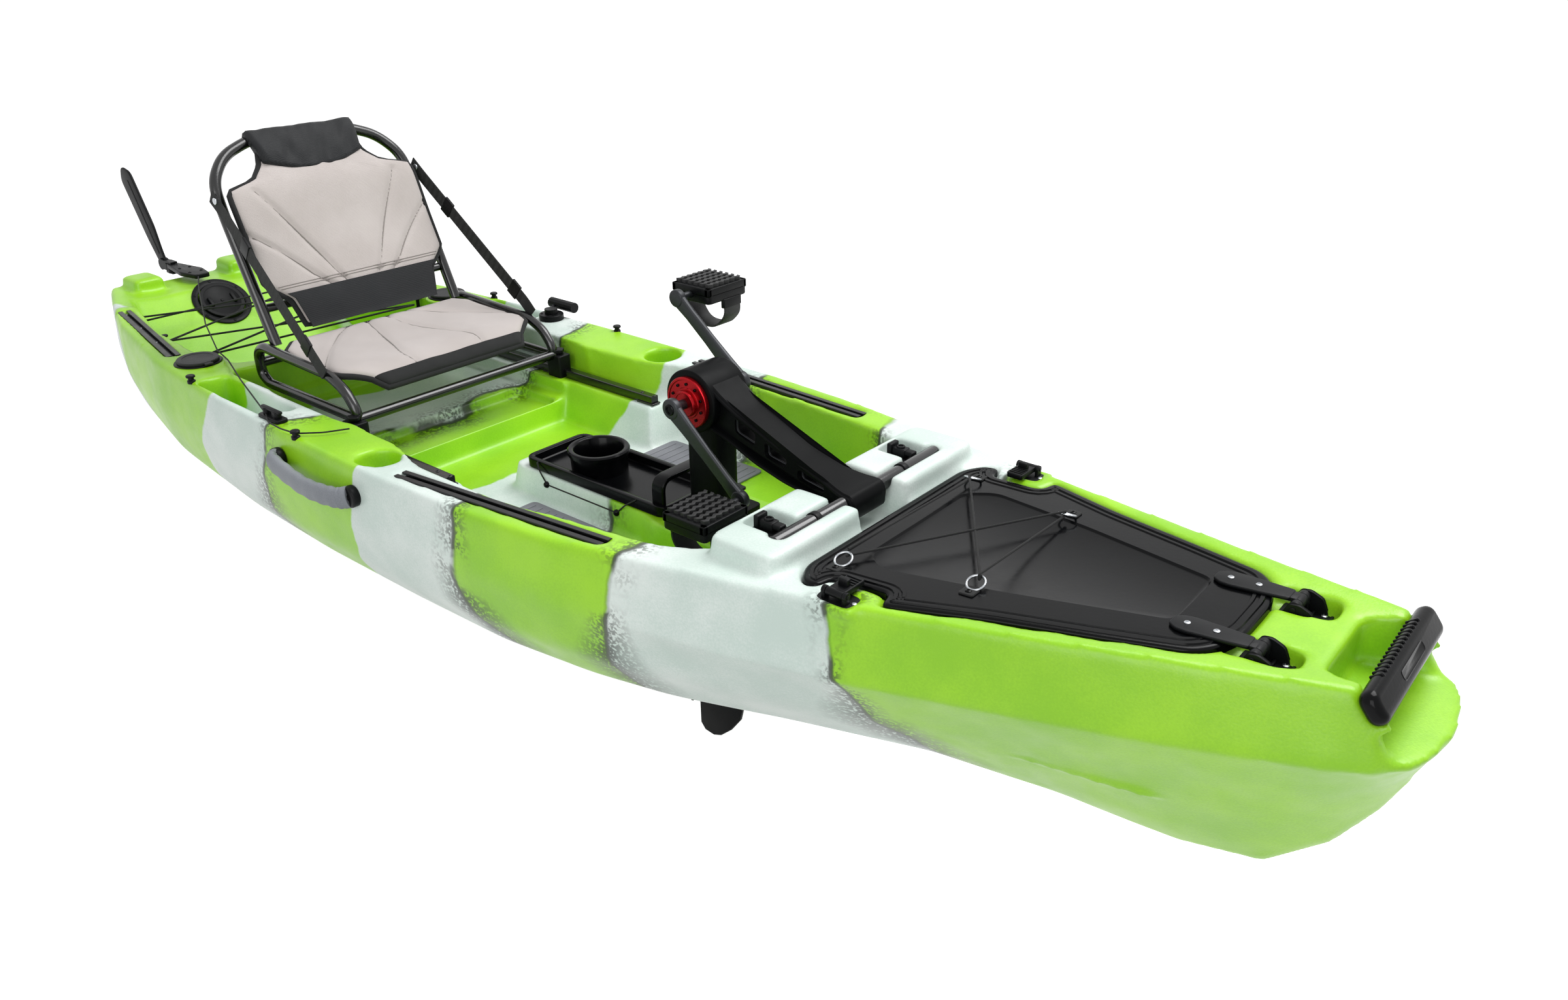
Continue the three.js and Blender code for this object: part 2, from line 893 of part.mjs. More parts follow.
// Rod holders: a flanged tube in each side deck, closed by a hinged cap
const rodHolder = {
  flangeRadius: 50,
  flangeThickness: 4,
  tubeWall: 2.5,
  depth: 145,
  sinkZ: 386,
};
const rodCap = {
  radius: 44,
  height: 7,
  earWidth: 16,
  pinRadius: 2.8,
  pinReach: 6, // from the rim of the cap out to its hinge line
  plugDepth: 6,
  plugGap: 1.6,
};

function makeRodHolder(side) {
  const y = side * rodBore.y;
  const { flangeRadius, flangeThickness, tubeWall, depth, sinkZ } = rodHolder;
  const outer = rodBore.radius - clearance;
  const body = turned(
    [
      [outer - tubeWall, sinkZ - depth],
      [outer, sinkZ - depth],
      [outer, sinkZ],
      [flangeRadius, sinkZ],
      [flangeRadius, sinkZ + flangeThickness],
      [outer - tubeWall, sinkZ + flangeThickness],
      [outer - tubeWall, sinkZ - depth],
    ],
    facets.large,
  ).translate([rodBore.x, y, 0]);
  const seatDisc = bar(
    V(rodBore.x, y, sinkZ - clearance),
    V(rodBore.x, y, cutTop),
    flangeRadius + clearance,
    facets.large,
  );
  seatInHull(seatDisc);
  return body;
}

function makeRodCap(side) {
  const y = side * rodBore.y;
  const base = rodHolder.sinkZ + rodHolder.flangeThickness + clearance;
  const { radius, height, earWidth, pinRadius, pinReach, plugDepth, plugGap } = rodCap;
  const plugRadius = rodBore.radius - clearance - rodHolder.tubeWall - plugGap;
  const disc = turned(
    [
      [0, base - plugDepth],
      [plugRadius, base - plugDepth],
      [plugRadius, base],
      [radius, base],
      [radius, base + height * 0.6],
      [radius * 0.86, base + height],
      [0, base + height],
    ],
    facets.large,
  ).translate([rodBore.x, y, 0]);
  const pinX = rodBore.x + radius + pinReach;
  const ear = box(
    2 * pinReach,
    earWidth,
    2 * pinRadius,
    pinX - pinReach,
    y,
    base + pinRadius,
  );
  const knuckleBar = bar(
    V(pinX, y - earWidth / 2, base + pinRadius),
    V(pinX, y + earWidth / 2, base + pinRadius),
    pinRadius,
    facets.small,
  );
  return joined(disc, ear, knuckleBar);
}

for (const [sideName, side] of sides) {
  add(`rod_holder_${sideName}`, makeRodHolder(side), blackPlastic);
  add(`rod_cap_${sideName}`, makeRodCap(side), glossBlack);
}

// Round deck plate on the ramp of the tank well
const deckPlate = {
  radius: 74,
  lidRadius: 56,
  flange: 5,
  lidHeight: 9,
  depth: 14,
  neckWall: 4,
  turnGap: 2, // between the lid and its ring, all round
  gripLength: 30,
  gripWidth: 9,
  gripHeight: 6,
};

function makeDeckPlate() {
  const { radius, lidRadius, flange, lidHeight, depth, neckWall } = deckPlate;
  const { turnGap, gripLength, gripWidth, gripHeight } = deckPlate;
  const onRamp = (body) =>
    body.rotate([0, ramp.tilt, 0]).translate([ramp.plateX, 0, ramp.plateZ]);
  const neck = lidRadius - neckWall;
  const bottom = clearance;
  const ring = turned(
    [
      [neck, bottom - depth],
      [neck + neckWall, bottom - depth],
      [neck + neckWall, bottom],
      [radius, bottom],
      [radius, bottom + flange],
      [lidRadius + turnGap, bottom + flange],
      [lidRadius + turnGap, bottom + flange / 2],
      [neck, bottom + flange / 2],
      [neck, bottom - depth],
    ],
    facets.large,
  );
  const lidBase = bottom + flange / 2 + clearance;
  let lid = turned(
    [
      [0, lidBase],
      [lidRadius, lidBase],
      [lidRadius, lidBase + lidHeight * 0.5],
      [lidRadius * 0.9, lidBase + lidHeight * 0.7],
      [0, lidBase + lidHeight * 0.7],
    ],
    facets.large,
  );
  for (const side of [-1, 1]) {
    const grip = box(
      gripLength,
      gripWidth,
      gripHeight,
      0,
      side * lidRadius * 0.55,
      lidBase + lidHeight * 0.7 + gripHeight / 2 - clearance,
    );
    lid = lid.add(grip);
  }
  const bore = neck + neckWall + clearance;
  seatInHull(onRamp(bar(V(0, 0, -depth * 2), V(0, 0, overrun), bore, facets.large)));
  add('deck_plate_ring', onRamp(ring), blackPlastic);
  add('deck_plate_lid', onRamp(lid), glossBlack);
}
makeDeckPlate();

// Drain plug through the transom
const drainPlug = { y: -70, z: 330, shaftRadius: 8, headRadius: 12, headLength: 14, shaft: 10 };
{
  const { y, z, shaftRadius, headRadius, headLength, shaft } = drainPlug;
  const face = -sternOverhang;
  const along = (from, to, radius, sidesCount, endRadius = radius) =>
    bar(V(face + from, y, z), V(face + to, y, z), radius, sidesCount, endRadius);
  seatInHull(along(-overrun, overrun, shaftRadius + clearance, facets.medium));
  const stem = along(-clearance - bite, shaft, shaftRadius, facets.medium);
  const head = along(
    -clearance - headLength,
    -clearance,
    headRadius * 0.8,
    facets.large / 2,
    headRadius,
  );
  add('drain_plug', stem.add(head), blackPlastic);
}

// The bow handle's grip
{
  const { x, z, tilt, thickness, draft, dimpleLength, dimpleWidth, dimpleDepth } = bowHandle;
  const dimple = rectangle(-dimpleWidth / 2, dimpleWidth / 2, -dimpleLength / 2, dimpleLength / 2);
  const grip = block(bowHandleOutline(), [
    [-thickness / 2, -draft],
    [-thickness / 4, 0],
    [thickness / 4, 0],
    [thickness / 2, -draft],
  ]).subtract(
    block(roundOutline(dimple, dimpleWidth / 2, 2), [
      [thickness / 2 - dimpleDepth, -dimpleDepth / 2],
      [thickness / 2 + dimpleDepth, dimpleDepth / 2],
    ]),
  );
  const handle = grip.rotate([0, tilt, 0]).translate([x, 0, z]);
  add('bow_handle', handle, glossBlack);
  seatInHull(bowHandleSeat(0));
}

// Side handles: a strap with a soft grip, bolted on at both ends
const sideHandle = {
  aft: -396,
  fore: -146,
  aftZ: 330,
  foreZ: 322,
  bow: 14,
  gripRadius: 16,
  bossRadius: 17,
  bossLength: 20,
  standOff: 30,
  bend: 60,
};

function sideSkin(x, z) {
  const row = stationAt(x);
  const seam = row[1] * halfBeam;
  const deck = row[2] * halfBeam;
  const seamZ = row[6] * hullDepth;
  const top = row[7] * hullDepth - gunwaleRound;
  return THREE.MathUtils.lerp(seam, deck, (z - seamZ) / (top - seamZ));
}

function makeSideHandle(side) {
  const { aft, fore, aftZ, foreZ, bow, gripRadius, bossRadius, standOff, bend } = sideHandle;
  const outAft = side * (sideSkin(aft, aftZ) + clearance);
  const outFore = side * (sideSkin(fore, foreZ) + clearance);
  const reach = side * standOff;
  const middle = (aft + fore) / 2;
  const gripPath = [
    V(aft, outAft + side * bossRadius * 0.6, aftZ),
    V(aft + bow, outAft + reach * 0.8, aftZ - bow * 0.4),
    V(middle, (outAft + outFore) / 2 + reach, (aftZ + foreZ) / 2 - bow),
    V(fore - bow * 2, outFore + reach * 0.8, foreZ - bow * 0.5),
    V(fore, outFore + side * bossRadius * 0.6, foreZ),
  ];
  const grip = tube(gripPath, gripRadius, bend, 2, facets.small);
  const boss = (x, y, z) => bar(V(x, y, z), V(x, y + side * bossRadius, z), bossRadius, facets.medium);
  return joined(grip, boss(aft, outAft, aftZ), boss(fore, outFore, foreZ)).subtract(
    hullBody(-clearance),
  );
}

for (const [sideName, side] of sides) {
  add(`side_handle_${sideName}`, makeSideHandle(side), greyFoam);
}

// Rudder: a bracket on the stern deck, a steering head and a blade that flips
const rudder = {
  pivotX: -1694,
  boreRadius: 6,
  bossRadius: 15,
  bracketFore: -1520,
  bracketHalfWidth: 32,
  bracketThickness: 12,
  bossDrop: 10,
  footInset: 4,
  flipX: -1739,
  flipZ: 402,
  cheekGap: 4.4,
  cheekThickness: 5,
  cheekRadius: 16,
  pinRadius: 4,
  bladeLength: 284,
  bladeWidth: 56,
  bladeThickness: 7,
  bladeTilt: 116, // from the bow direction, blade stowed
  bladeCorner: 16,
  bladeDraft: 1.6,
  plateDraft: 2,
  spineGap: 1,
};
const sternDeckZ = 398;

function makeRudder() {
  const r = rudder;
  const base = sternDeckZ + clearance;
  const top = base + r.bracketThickness;
  const plate = block(
    [
      [r.pivotX, -r.bossRadius * 0.9],
      [r.bracketFore - r.bracketHalfWidth * 2, -r.bracketHalfWidth],
      [r.bracketFore, -r.bracketHalfWidth * 0.6],
      [r.bracketFore, r.bracketHalfWidth * 0.6],
      [r.bracketFore - r.bracketHalfWidth * 2, r.bracketHalfWidth],
      [r.pivotX, r.bossRadius * 0.9],
    ],
    [
      [base, 0],
      [top, -r.plateDraft],
    ],
  );
  const footBottom = base - 2 * deckDish;
  const footTop = top - r.footInset;
  const foot = box(
    r.bracketFore + sternOverhang - r.footInset,
    r.bracketHalfWidth,
    footTop - footBottom,
    (r.bracketFore - sternOverhang + r.footInset) / 2,
    0,
    (footTop + footBottom) / 2,
  );
  const boss = bar(V(r.pivotX, 0, base - r.bossDrop), V(r.pivotX, 0, top), r.bossRadius, facets.large);
  const bore = bar(
    V(r.pivotX, 0, base - overrun),
    V(r.pivotX, 0, top + overrun),
    r.boreRadius + clearance,
    facets.medium,
  );
  const bracket = joined(plate, foot, boss).subtract(bore).subtract(hullBody(-clearance));
  add('rudder_bracket', bracket, blackPlastic);

  const headTop = top + 2 * clearance;
  const under = base - r.bossDrop - 2 * clearance;
  const half = r.cheekGap + r.cheekThickness;
  const spine = box(
    r.cheekThickness,
    2 * half,
    headTop + r.cheekThickness - (under - r.cheekThickness),
    r.pivotX - r.bossRadius - r.cheekThickness / 2 - r.spineGap,
    0,
    (headTop + r.cheekThickness + under - r.cheekThickness) / 2,
  );
  const flange = (z) =>
    box(
      r.bossRadius * 2 + r.cheekThickness,
      2 * half,
      r.cheekThickness,
      r.pivotX - r.cheekThickness / 2 - r.spineGap,
      0,
      z,
    );
  const pivotPin = bar(
    V(r.pivotX, 0, under - bite),
    V(r.pivotX, 0, headTop + bite),
    r.boreRadius,
    facets.medium,
  );
  let head = joined(
    spine,
    flange(headTop + r.cheekThickness / 2),
    flange(under - r.cheekThickness / 2),
    pivotPin,
  );
  for (const side of [-1, 1]) {
    const inner = side * r.cheekGap;
    const outer = side * half;
    const cheek = bar(
      V(r.flipX, inner, r.flipZ),
      V(r.flipX, outer, r.flipZ),
      r.cheekRadius,
      facets.medium,
    );
    const spineX = r.pivotX - r.bossRadius - r.cheekThickness;
    const arm = box(
      spineX - r.flipX,
      r.cheekThickness,
      r.cheekRadius * 1.6,
      (spineX + r.flipX) / 2,
      (inner + outer) / 2,
      r.flipZ,
    );
    head = joined(head, cheek, arm);
  }
  head = head.add(
    bar(V(r.flipX, -half, r.flipZ), V(r.flipX, half, r.flipZ), r.pinRadius, facets.medium),
  );
  add('rudder_head', head, blackPlastic);

  const w = r.bladeWidth;
  const l = r.bladeLength;
  const outline = roundOutline(
    [
      [-w * 0.2, -w * 0.24],
      [l * 0.12, -w * 0.3],
      [l * 0.35, -w * 0.5],
      [l * 0.9, -w * 0.46],
      [l, w * 0.06],
      [l * 0.9, w * 0.5],
      [l * 0.3, w * 0.42],
      [-w * 0.2, w * 0.24],
    ],
    r.bladeCorner,
    2,
  );
  const t = r.bladeThickness / 2;
  const blade = block(outline, [
    [-t, -r.bladeDraft],
    [-t * 0.5, 0],
    [t * 0.5, 0],
    [t, -r.bladeDraft],
  ]);
  const pinHole = bar(V(0, 0, -overrun), V(0, 0, overrun), r.pinRadius + clearance, facets.medium);
  const stowed = blade
    .subtract(pinHole)
    .rotate([90, 0, 0])
    .rotate([0, -r.bladeTilt, 0])
    .translate([r.flipX, 0, r.flipZ]);
  add('rudder_blade', stowed, blackPlastic);
}
makeRudder();

// Steering lever on the port side deck
const steering = {
  x: -545,
  y: 382,
  baseRadius: 30,
  baseHeight: 7,
  skirt: 11,
  hubRadius: 16,
  hubHeight: 12,
  pinRadius: 5,
  armLength: 52,
  gripLength: 86,
  gripRadius: 13,
  armTurn: 128,
};
const steeringDeckZ = 387;
{
  const t = steering;
  const base = steeringDeckZ + clearance;
  const disc = turned(
    [
      [0, base - t.skirt],
      [t.baseRadius, base - t.skirt],
      [t.baseRadius, base + t.baseHeight * 0.5],
      [t.baseRadius * 0.8, base + t.baseHeight],
      [t.pinRadius, base + t.baseHeight],
      [t.pinRadius, base + t.baseHeight + t.hubHeight * 0.7],
      [0, base + t.baseHeight + t.hubHeight * 0.7],
    ],
    facets.large,
  ).translate([t.x, t.y, 0]);
  seatInHull(
    bar(
      V(t.x, t.y, base - t.skirt - clearance),
      V(t.x, t.y, cutTop),
      t.baseRadius + clearance,
      facets.large,
    ),
  );
  add('steering_base', disc, blackPlastic);
  const hubBase = base + t.baseHeight + clearance;
  const hub = turned(
    [
      [t.pinRadius + clearance, hubBase],
      [t.hubRadius, hubBase],
      [t.hubRadius, hubBase + t.hubHeight],
      [0, hubBase + t.hubHeight],
      [0, hubBase + t.hubHeight * 0.8],
      [t.pinRadius + clearance, hubBase + t.hubHeight * 0.8],
      [t.pinRadius + clearance, hubBase],
    ],
    facets.large,
  ).translate([t.x, t.y, 0]);
  const turn = degrees(t.armTurn);
  const armZ = hubBase + t.hubHeight / 2;
  const end = V(
    t.x + t.armLength * Math.cos(turn),
    t.y + t.armLength * Math.sin(turn),
    armZ + t.gripRadius * 0.4,
  );
  const start = V(
    t.x + t.hubRadius * 0.7 * Math.cos(turn),
    t.y + t.hubRadius * 0.7 * Math.sin(turn),
    armZ,
  );
  const arm = bar(start, end, t.hubHeight * 0.36, facets.small);
  const gripFrom = end.clone().add(V(-t.gripRadius, 0, 0));
  const gripTo = gripFrom.clone().add(V(t.gripLength, 0, 0));
  const grip = bar(gripFrom, gripTo, t.gripRadius, facets.medium);
  add('steering_lever', joined(hub, arm, grip), blackPlastic);
}

// Seat rails on the ledges of the seat bay, and the clamps that grip them
const railInset = 40; // from the bay's wall to the rail
const rail = {
  y: seatBay.halfWidth - railInset,
  width: 20,
  height: 20,
  aft: -765,
  fore: -80,
  wall: 2,
};
const railBase = seatBay.floor + clearance;
const railTop = railBase + rail.height;
const railPad = { length: 50, width: 26 };

function makeRail(side) {
  const y = side * rail.y;
  const length = rail.fore - rail.aft;
  const x = (rail.fore + rail.aft) / 2;
  const outer = box(length, rail.width, rail.height, x, y, railBase + rail.height / 2);
  const inner = box(
    length + overrun,
    rail.width - 2 * rail.wall,
    rail.height - 2 * rail.wall,
    x,
    y,
    railBase + rail.height / 2,
  );
  const foot = box(
    railPad.length,
    railPad.width,
    rail.wall * 2,
    rail.fore - railPad.length / 2,
    y,
    railBase + rail.wall,
  );
  return outer.add(foot).subtract(inner).subtract(hullGuard());
}

// The outer skin of the hull with its pockets, grown by the clearance
let guard = null;
function hullGuard() {
  if (guard === null) {
    guard = joined(
      hullBody(-clearance).subtract(pockets(-clearance)),
      beamBody().subtract(hatchRecess(-clearance)),
    );
  }
  return guard;
}

for (const [sideName, side] of sides) {
  add(`seat_rail_${sideName}`, makeRail(side), blackMetal);
}

// Seat: a bent tube frame on the rails, a padded pan and a reclined back
const seat = {
  tube: 11,
  backTube: 12,
  frontX: -398,
  rearX: -738,
  sideY: 258,
  barZ: 352,
  topFrontZ: 428,
  topRearZ: 436,
  rearSweep: 26,
  loopBend: 34,
};
const clampSize = {
  length: 46,
  height: 54,
  inner: 251,
  outer: 287,
  rise: 16, // centre of the clamp above the centre of the rail
  foreShift: 4,
  knobRadius: 15,
  knobHeight: 12,
};

function makeSeatFrame(air = 0) {
  const s = seat;
  const radius = s.tube + air;
  const loop = (side) => {
    const y = side * s.sideY;
    return tube(
      [
        V(s.frontX, y, s.barZ - air),
        V(s.frontX - 4, y, s.barZ + 22),
        V(s.frontX - 30, y, s.topFrontZ - 22),
        V(s.frontX - 82, y, s.topFrontZ),
        V(s.rearX, y, s.topRearZ),
        V(s.rearX - s.rearSweep, y, s.topRearZ - 20),
        V(s.rearX - s.rearSweep, y, s.barZ + 16),
        V(s.rearX, y, s.barZ),
        V(s.rearX + 120, y, s.barZ),
      ],
      radius,
      s.loopBend,
      1,
    );
  };
  const reach = s.sideY + air;
  const cross = (x, z) => bar(V(x, -reach, z), V(x, reach, z), radius, facets.small);
  const lower = (side) =>
    bar(
      V(s.rearX + 60, side * s.sideY, s.barZ),
      V(s.frontX + air, side * s.sideY, s.barZ),
      radius * 0.92,
      facets.small,
    );
  return joined(
    loop(-1),
    loop(1),
    lower(-1),
    lower(1),
    cross(s.frontX, s.barZ),
    cross(s.rearX - s.rearSweep, (s.topRearZ + s.barZ) / 2),
  );
}

function makeClamp(side, frame) {
  const c = clampSize;
  const x = seat.frontX + c.foreShift;
  const middle = side * ((c.inner + c.outer) / 2);
  const centreZ = railBase + rail.height / 2 + c.rise;
  const top = centreZ + c.height / 2;
  const body = box(c.length, c.outer - c.inner, c.height, x, middle, centreZ);
  const knob = bar(
    V(x, middle, top - clearance),
    V(x, middle, top + c.knobHeight),
    c.knobRadius,
    facets.small,
  );
  const railTunnel = box(
    c.length + overrun,
    rail.width + 2 * clearance,
    rail.height + overrun,
    seat.frontX,
    side * rail.y,
    railTop + clearance - (rail.height + overrun) / 2,
  );
  return body.add(knob).subtract(railTunnel).subtract(frame).subtract(hullGuard());
}

add('seat_frame', makeSeatFrame(), blackMetal);
const seatFrameAir = makeSeatFrame(clearance);
for (const [sideName, side] of sides) {
  add(`seat_clamp_${sideName}`, makeClamp(side, seatFrameAir), blackPlastic);
}

// A cushion built across the kayak: each row has a centre, a facing direction
// and a half width; it is crowned, thin at its rim and drawn in at its seams
function cushion(rows, columns, size, seams) {
  const rings = rows.map((row, r) => {
    const v = r / (rows.length - 1);
    const top = [];
    const bottom = [];
    for (let c = 0; c <= columns; c += 1) {
      const u = (2 * c) / columns - 1;
      const crown = Math.sqrt(1 - u ** 4) * Math.sqrt(Math.max(0, 1 - (2 * v - 1) ** 6));
      const puff = (size.thickness - size.edge) * crown * (1 - seams(u, v));
      const front = size.edge / 2 + puff;
      const y = u * row.halfWidth;
      top.push(V(row.x + row.facing.x * front, y, row.z + row.facing.z * front));
      bottom.push(
        V(row.x - (row.facing.x * size.edge) / 2, y, row.z - (row.facing.z * size.edge) / 2),
      );
    }
    return bottom.concat(top.reverse());
  });
  const outline = [];
  const last = rings[0].length - 1;
  for (let i = 0; i < columns; i += 1) {
    outline.push([i, i + 1, last - i - 1], [i, last - i - 1, last - i]);
  }
  return solid(ringSkin(rings, outline));
}

// Rows along a curve drawn in X and Z; the curve runs from low to high X
function cushionRows(profile, count, halfWidthAt, upward) {
  const curve = new THREE.CatmullRomCurve3(
    profile.map(([x, z]) => V(x, 0, z)),
    false,
    'centripetal',
  );
  const rows = [];
  for (let i = 0; i <= count; i += 1) {
    const v = i / count;
    const place = curve.getPointAt(v);
    const along = curve.getTangentAt(v);
    rows.push({
      x: place.x,
      z: place.z,
      facing: { x: -along.z * upward, z: along.x * upward },
      halfWidth: halfWidthAt(v),
    });
  }
  return rows;
}

// Straight steps between [place, half width] pairs
function stepped(pairs) {
  return (v) => {
    let i = 1;
    while (i < pairs.length - 1 && pairs[i][0] < v) {
      i += 1;
    }
    const [v0, w0] = pairs[i - 1];
    const [v1, w1] = pairs[i];
    return THREE.MathUtils.lerp(w0, w1, THREE.MathUtils.clamp((v - v0) / (v1 - v0), 0, 1));
  };
}

// Depth of the sewn channels that fan out across a cushion
function fanSeams(lines, spread, depth) {
  return (u, v) => {
    let deepest = 0;
    for (const [start, end, bulge] of lines) {
      const line = start + (end - start) * v ** bulge;
      deepest = Math.max(deepest, Math.exp(-(((Math.abs(u) - line) / spread) ** 2)));
    }
    return deepest * depth;
  };
}

const pan = { thickness: 24, edge: 7, rearX: -704, foreX: -404 };
const backPad = { thickness: 20, edge: 7 };
const cushionColumns = 14;
const back = {
  hingeX: -722,
  hingeZ: 436,
  topX: -900,
  topZ: 844,
  tubeY: seat.sideY - seat.tube - clearance - seat.backTube,
  bend: 46,
};
// The back's tube from its hinge to its top: shares of the way aft, of the
// height and of the half width
const backTubeShares = [
  [0, 0, 1],
  [0.15, 0.152, 1],
  [0.64, 0.65, 1],
  [0.79, 0.81, 0.985],
  [0.93, 0.925, 0.8],
  [0.985, 0.985, 0.5],
  [1, 1, 0.2],
];

function makePan() {
  const halfMax = seat.sideY - seat.tube - clearance;
  const rows = cushionRows(
    [
      [pan.rearX, 436],
      [-620, 424],
      [-520, 424],
      [-450, 422],
      [pan.foreX, 396],
    ],
    12,
    (v) => {
      const shares = stepped([
        [0, 0.84],
        [0.1, 0.97],
        [0.3, 1],
        [0.7, 1],
        [0.78, 0.96],
        [0.9, 0.78],
        [1, 0.7],
      ]);
      return shares(v) * halfMax;
    },
    1,
  );
  const seams = fanSeams(
    [
      [0.18, 0.42, 1.6],
      [0.5, 0.95, 0.8],
    ],
    0.06,
    0.7,
  );
  return cushion(rows, cushionColumns, pan, seams);
}

function makeBackPad() {
  const halfMax = back.tubeY - seat.backTube - clearance;
  const rows = cushionRows(
    [
      [-885, 848],
      [-856, 786],
      [-816, 738],
      [-776, 640],
      [-730, 534],
      [-706, 470],
    ],
    17,
    (v) => {
      const shares = stepped([
        [0, 0.46],
        [0.06, 0.5],
        [0.16, 0.56],
        [0.24, 0.7],
        [0.28, 0.99],
        [0.34, 1],
        [0.76, 1],
        [0.8, 0.93],
        [0.86, 0.8],
        [1, 0.74],
      ]);
      return shares(v) * halfMax;
    },
    1,
  );
  const seams = fanSeams(
    [
      [0.62, 0.12, 1],
      [1.05, 0.3, 1],
    ],
    0.06,
    0.7,
  );
  return cushion(rows, cushionColumns, backPad, seams);
}

function makeBackFrame(air = 0) {
  const b = back;
  const at = ([aft, height, across], side) =>
    V(
      b.hingeX + aft * (b.topX - b.hingeX),
      side * across * b.tubeY,
      b.hingeZ + height * (b.topZ - b.hingeZ),
    );
  const starboard = backTubeShares.map((shares) => at(shares, -1));
  const port = backTubeShares.map((shares) => at(shares, 1)).reverse();
  const hoop = tube(starboard.concat(port), seat.backTube + air, b.bend, 1);
  const [, low] = starboard;
  const braceX = low.x - seat.backTube;
  const brace = bar(
    V(braceX, -b.tubeY, low.z + seat.tube),
    V(braceX, b.tubeY, low.z + seat.tube),
    seat.backTube * 0.8 + air,
  );
  return joined(hoop, brace);
}

add('seat_pan', makePan(), greyFabric);
add('back_frame', makeBackFrame(), blackMetal);
add('back_pad', makeBackPad().subtract(makeBackFrame(clearance)), greyFabric);

// Straps from the back's corners down to the front of the seat frame
const strapSize = { width: 25, thickness: 2.4 };
for (const [sideName, side] of sides) {
  const seatGap = strapSize.thickness / 2 + clearance;
  const upperY = side * (back.tubeY + seat.backTube + seatGap);
  const lowerY = side * (seat.sideY + seat.tube + seatGap);
  const path = [
    V(-848, upperY, 744),
    V(-812, upperY, 716),
    V(-500, lowerY, 458),
    V(-476, lowerY, 434),
  ];
  add(
    `back_strap_${sideName}`,
    strap(path, strapSize.thickness, strapSize.width, strapSize.width, 1),
    blackFabric,
  );
}

// Pedal drive
const drive = {
  x: 342,
  z: 506,
  barrelRadius: 58,
  barrelHalf: 46,
  barrelWall: 12,
  discRadius: 47,
  discThickness: 9,
  hubRadius: 24,
  hubHeight: 8,
  axleRadius: 9,
  crankRadius: 200,
  crankAngle: -40, // starboard crank, from the bow direction
  armInner: 82,
  armThickness: 15,
  bossRadius: 19,
  tipRadius: 14,
  legFore: 392,
  legAft: 306,
  legHalf: 28,
  legCorner: 20,
  finInset: 6,
  finCheek: 10,
  footPlate: { aft: 298, fore: 406, starboard: -54, port: 70, thickness: 12, corner: 16, draft: 2 },
  shaftX: 352,
  shaftRadius: 7,
  gearcaseZ: -98,
  gearcaseRadius: 24,
  gearcaseAft: 292,
  gearcaseFore: 412,
  skegBottom: -250,
  skegAft: 290,
  skegFore: 400,
  skegHalf: 5,
  noseLength: 26,
  noseSides: 20,
  pinionRoomRadius: 19,
  pinionRoomDepth: 70,
  gearRoomRadius: 15,
};
// The skeg's side: shares of its length from aft, and of its drop below the gearcase
const skegShares = [
  [0, 0],
  [1.18, 0],
  [1, 0.54],
  [0.76, 0.776],
  [0.51, 0.947],
  [0.33, 1],
  [0.11, 0.98],
  [0, 0.88],
];
// The arm that runs from the barrel to the bar: its side outline and windows
// as shares of the way from hub to bar, and its half width along the way
const armSideShares = [
  [-0.02, 1.57],
  [0.09, 1.5],
  [0.18, 1.24],
  [0.28, 1.02],
  [0.46, 0.75],
  [0.66, 0.46],
  [0.83, 0.28],
  [0.95, 0.19],
  [1.04, 0.17],
  [1.066, 0.02],
  [1.06, -0.32],
  [0.98, -0.34],
  [0.87, -0.24],
  [0.6, -0.15],
  [0.39, 0.08],
  [0.21, 0.38],
  [0.11, 0.5],
  [0.05, 0.49],
];
const armWindowShares = [
  [
    [0.287, 0.86],
    [0.399, 0.72],
    [0.393, 0.56],
    [0.293, 0.66],
  ],
  [
    [0.463, 0.62],
    [0.598, 0.44],
    [0.581, 0.34],
    [0.475, 0.44],
  ],
];
const armPlanShares = [
  [-0.12, 0.98],
  [0.1, 0.8],
  [0.32, 0.68],
  [0.62, 0.58],
  [0.84, 0.68],
  [1, 0.98],
  [1.08, 0.98],
];
const propeller = {
  radius: 88,
  hubRadius: 17,
  aft: 250,
  fore: 288,
  shaftRadius: 6,
  shaftGap: 3,
  bladeChord: 52,
  bladeHalf: 2.2,
  bladeDraft: 1.2,
  bladeCorner: 14,
  bladePitch: 62,
  bladeShift: 2,
  tipOut: 6,
  tipIn: 10,
};
const shaftBore = drive.shaftRadius + clearance;
const spigotDepth = 12;

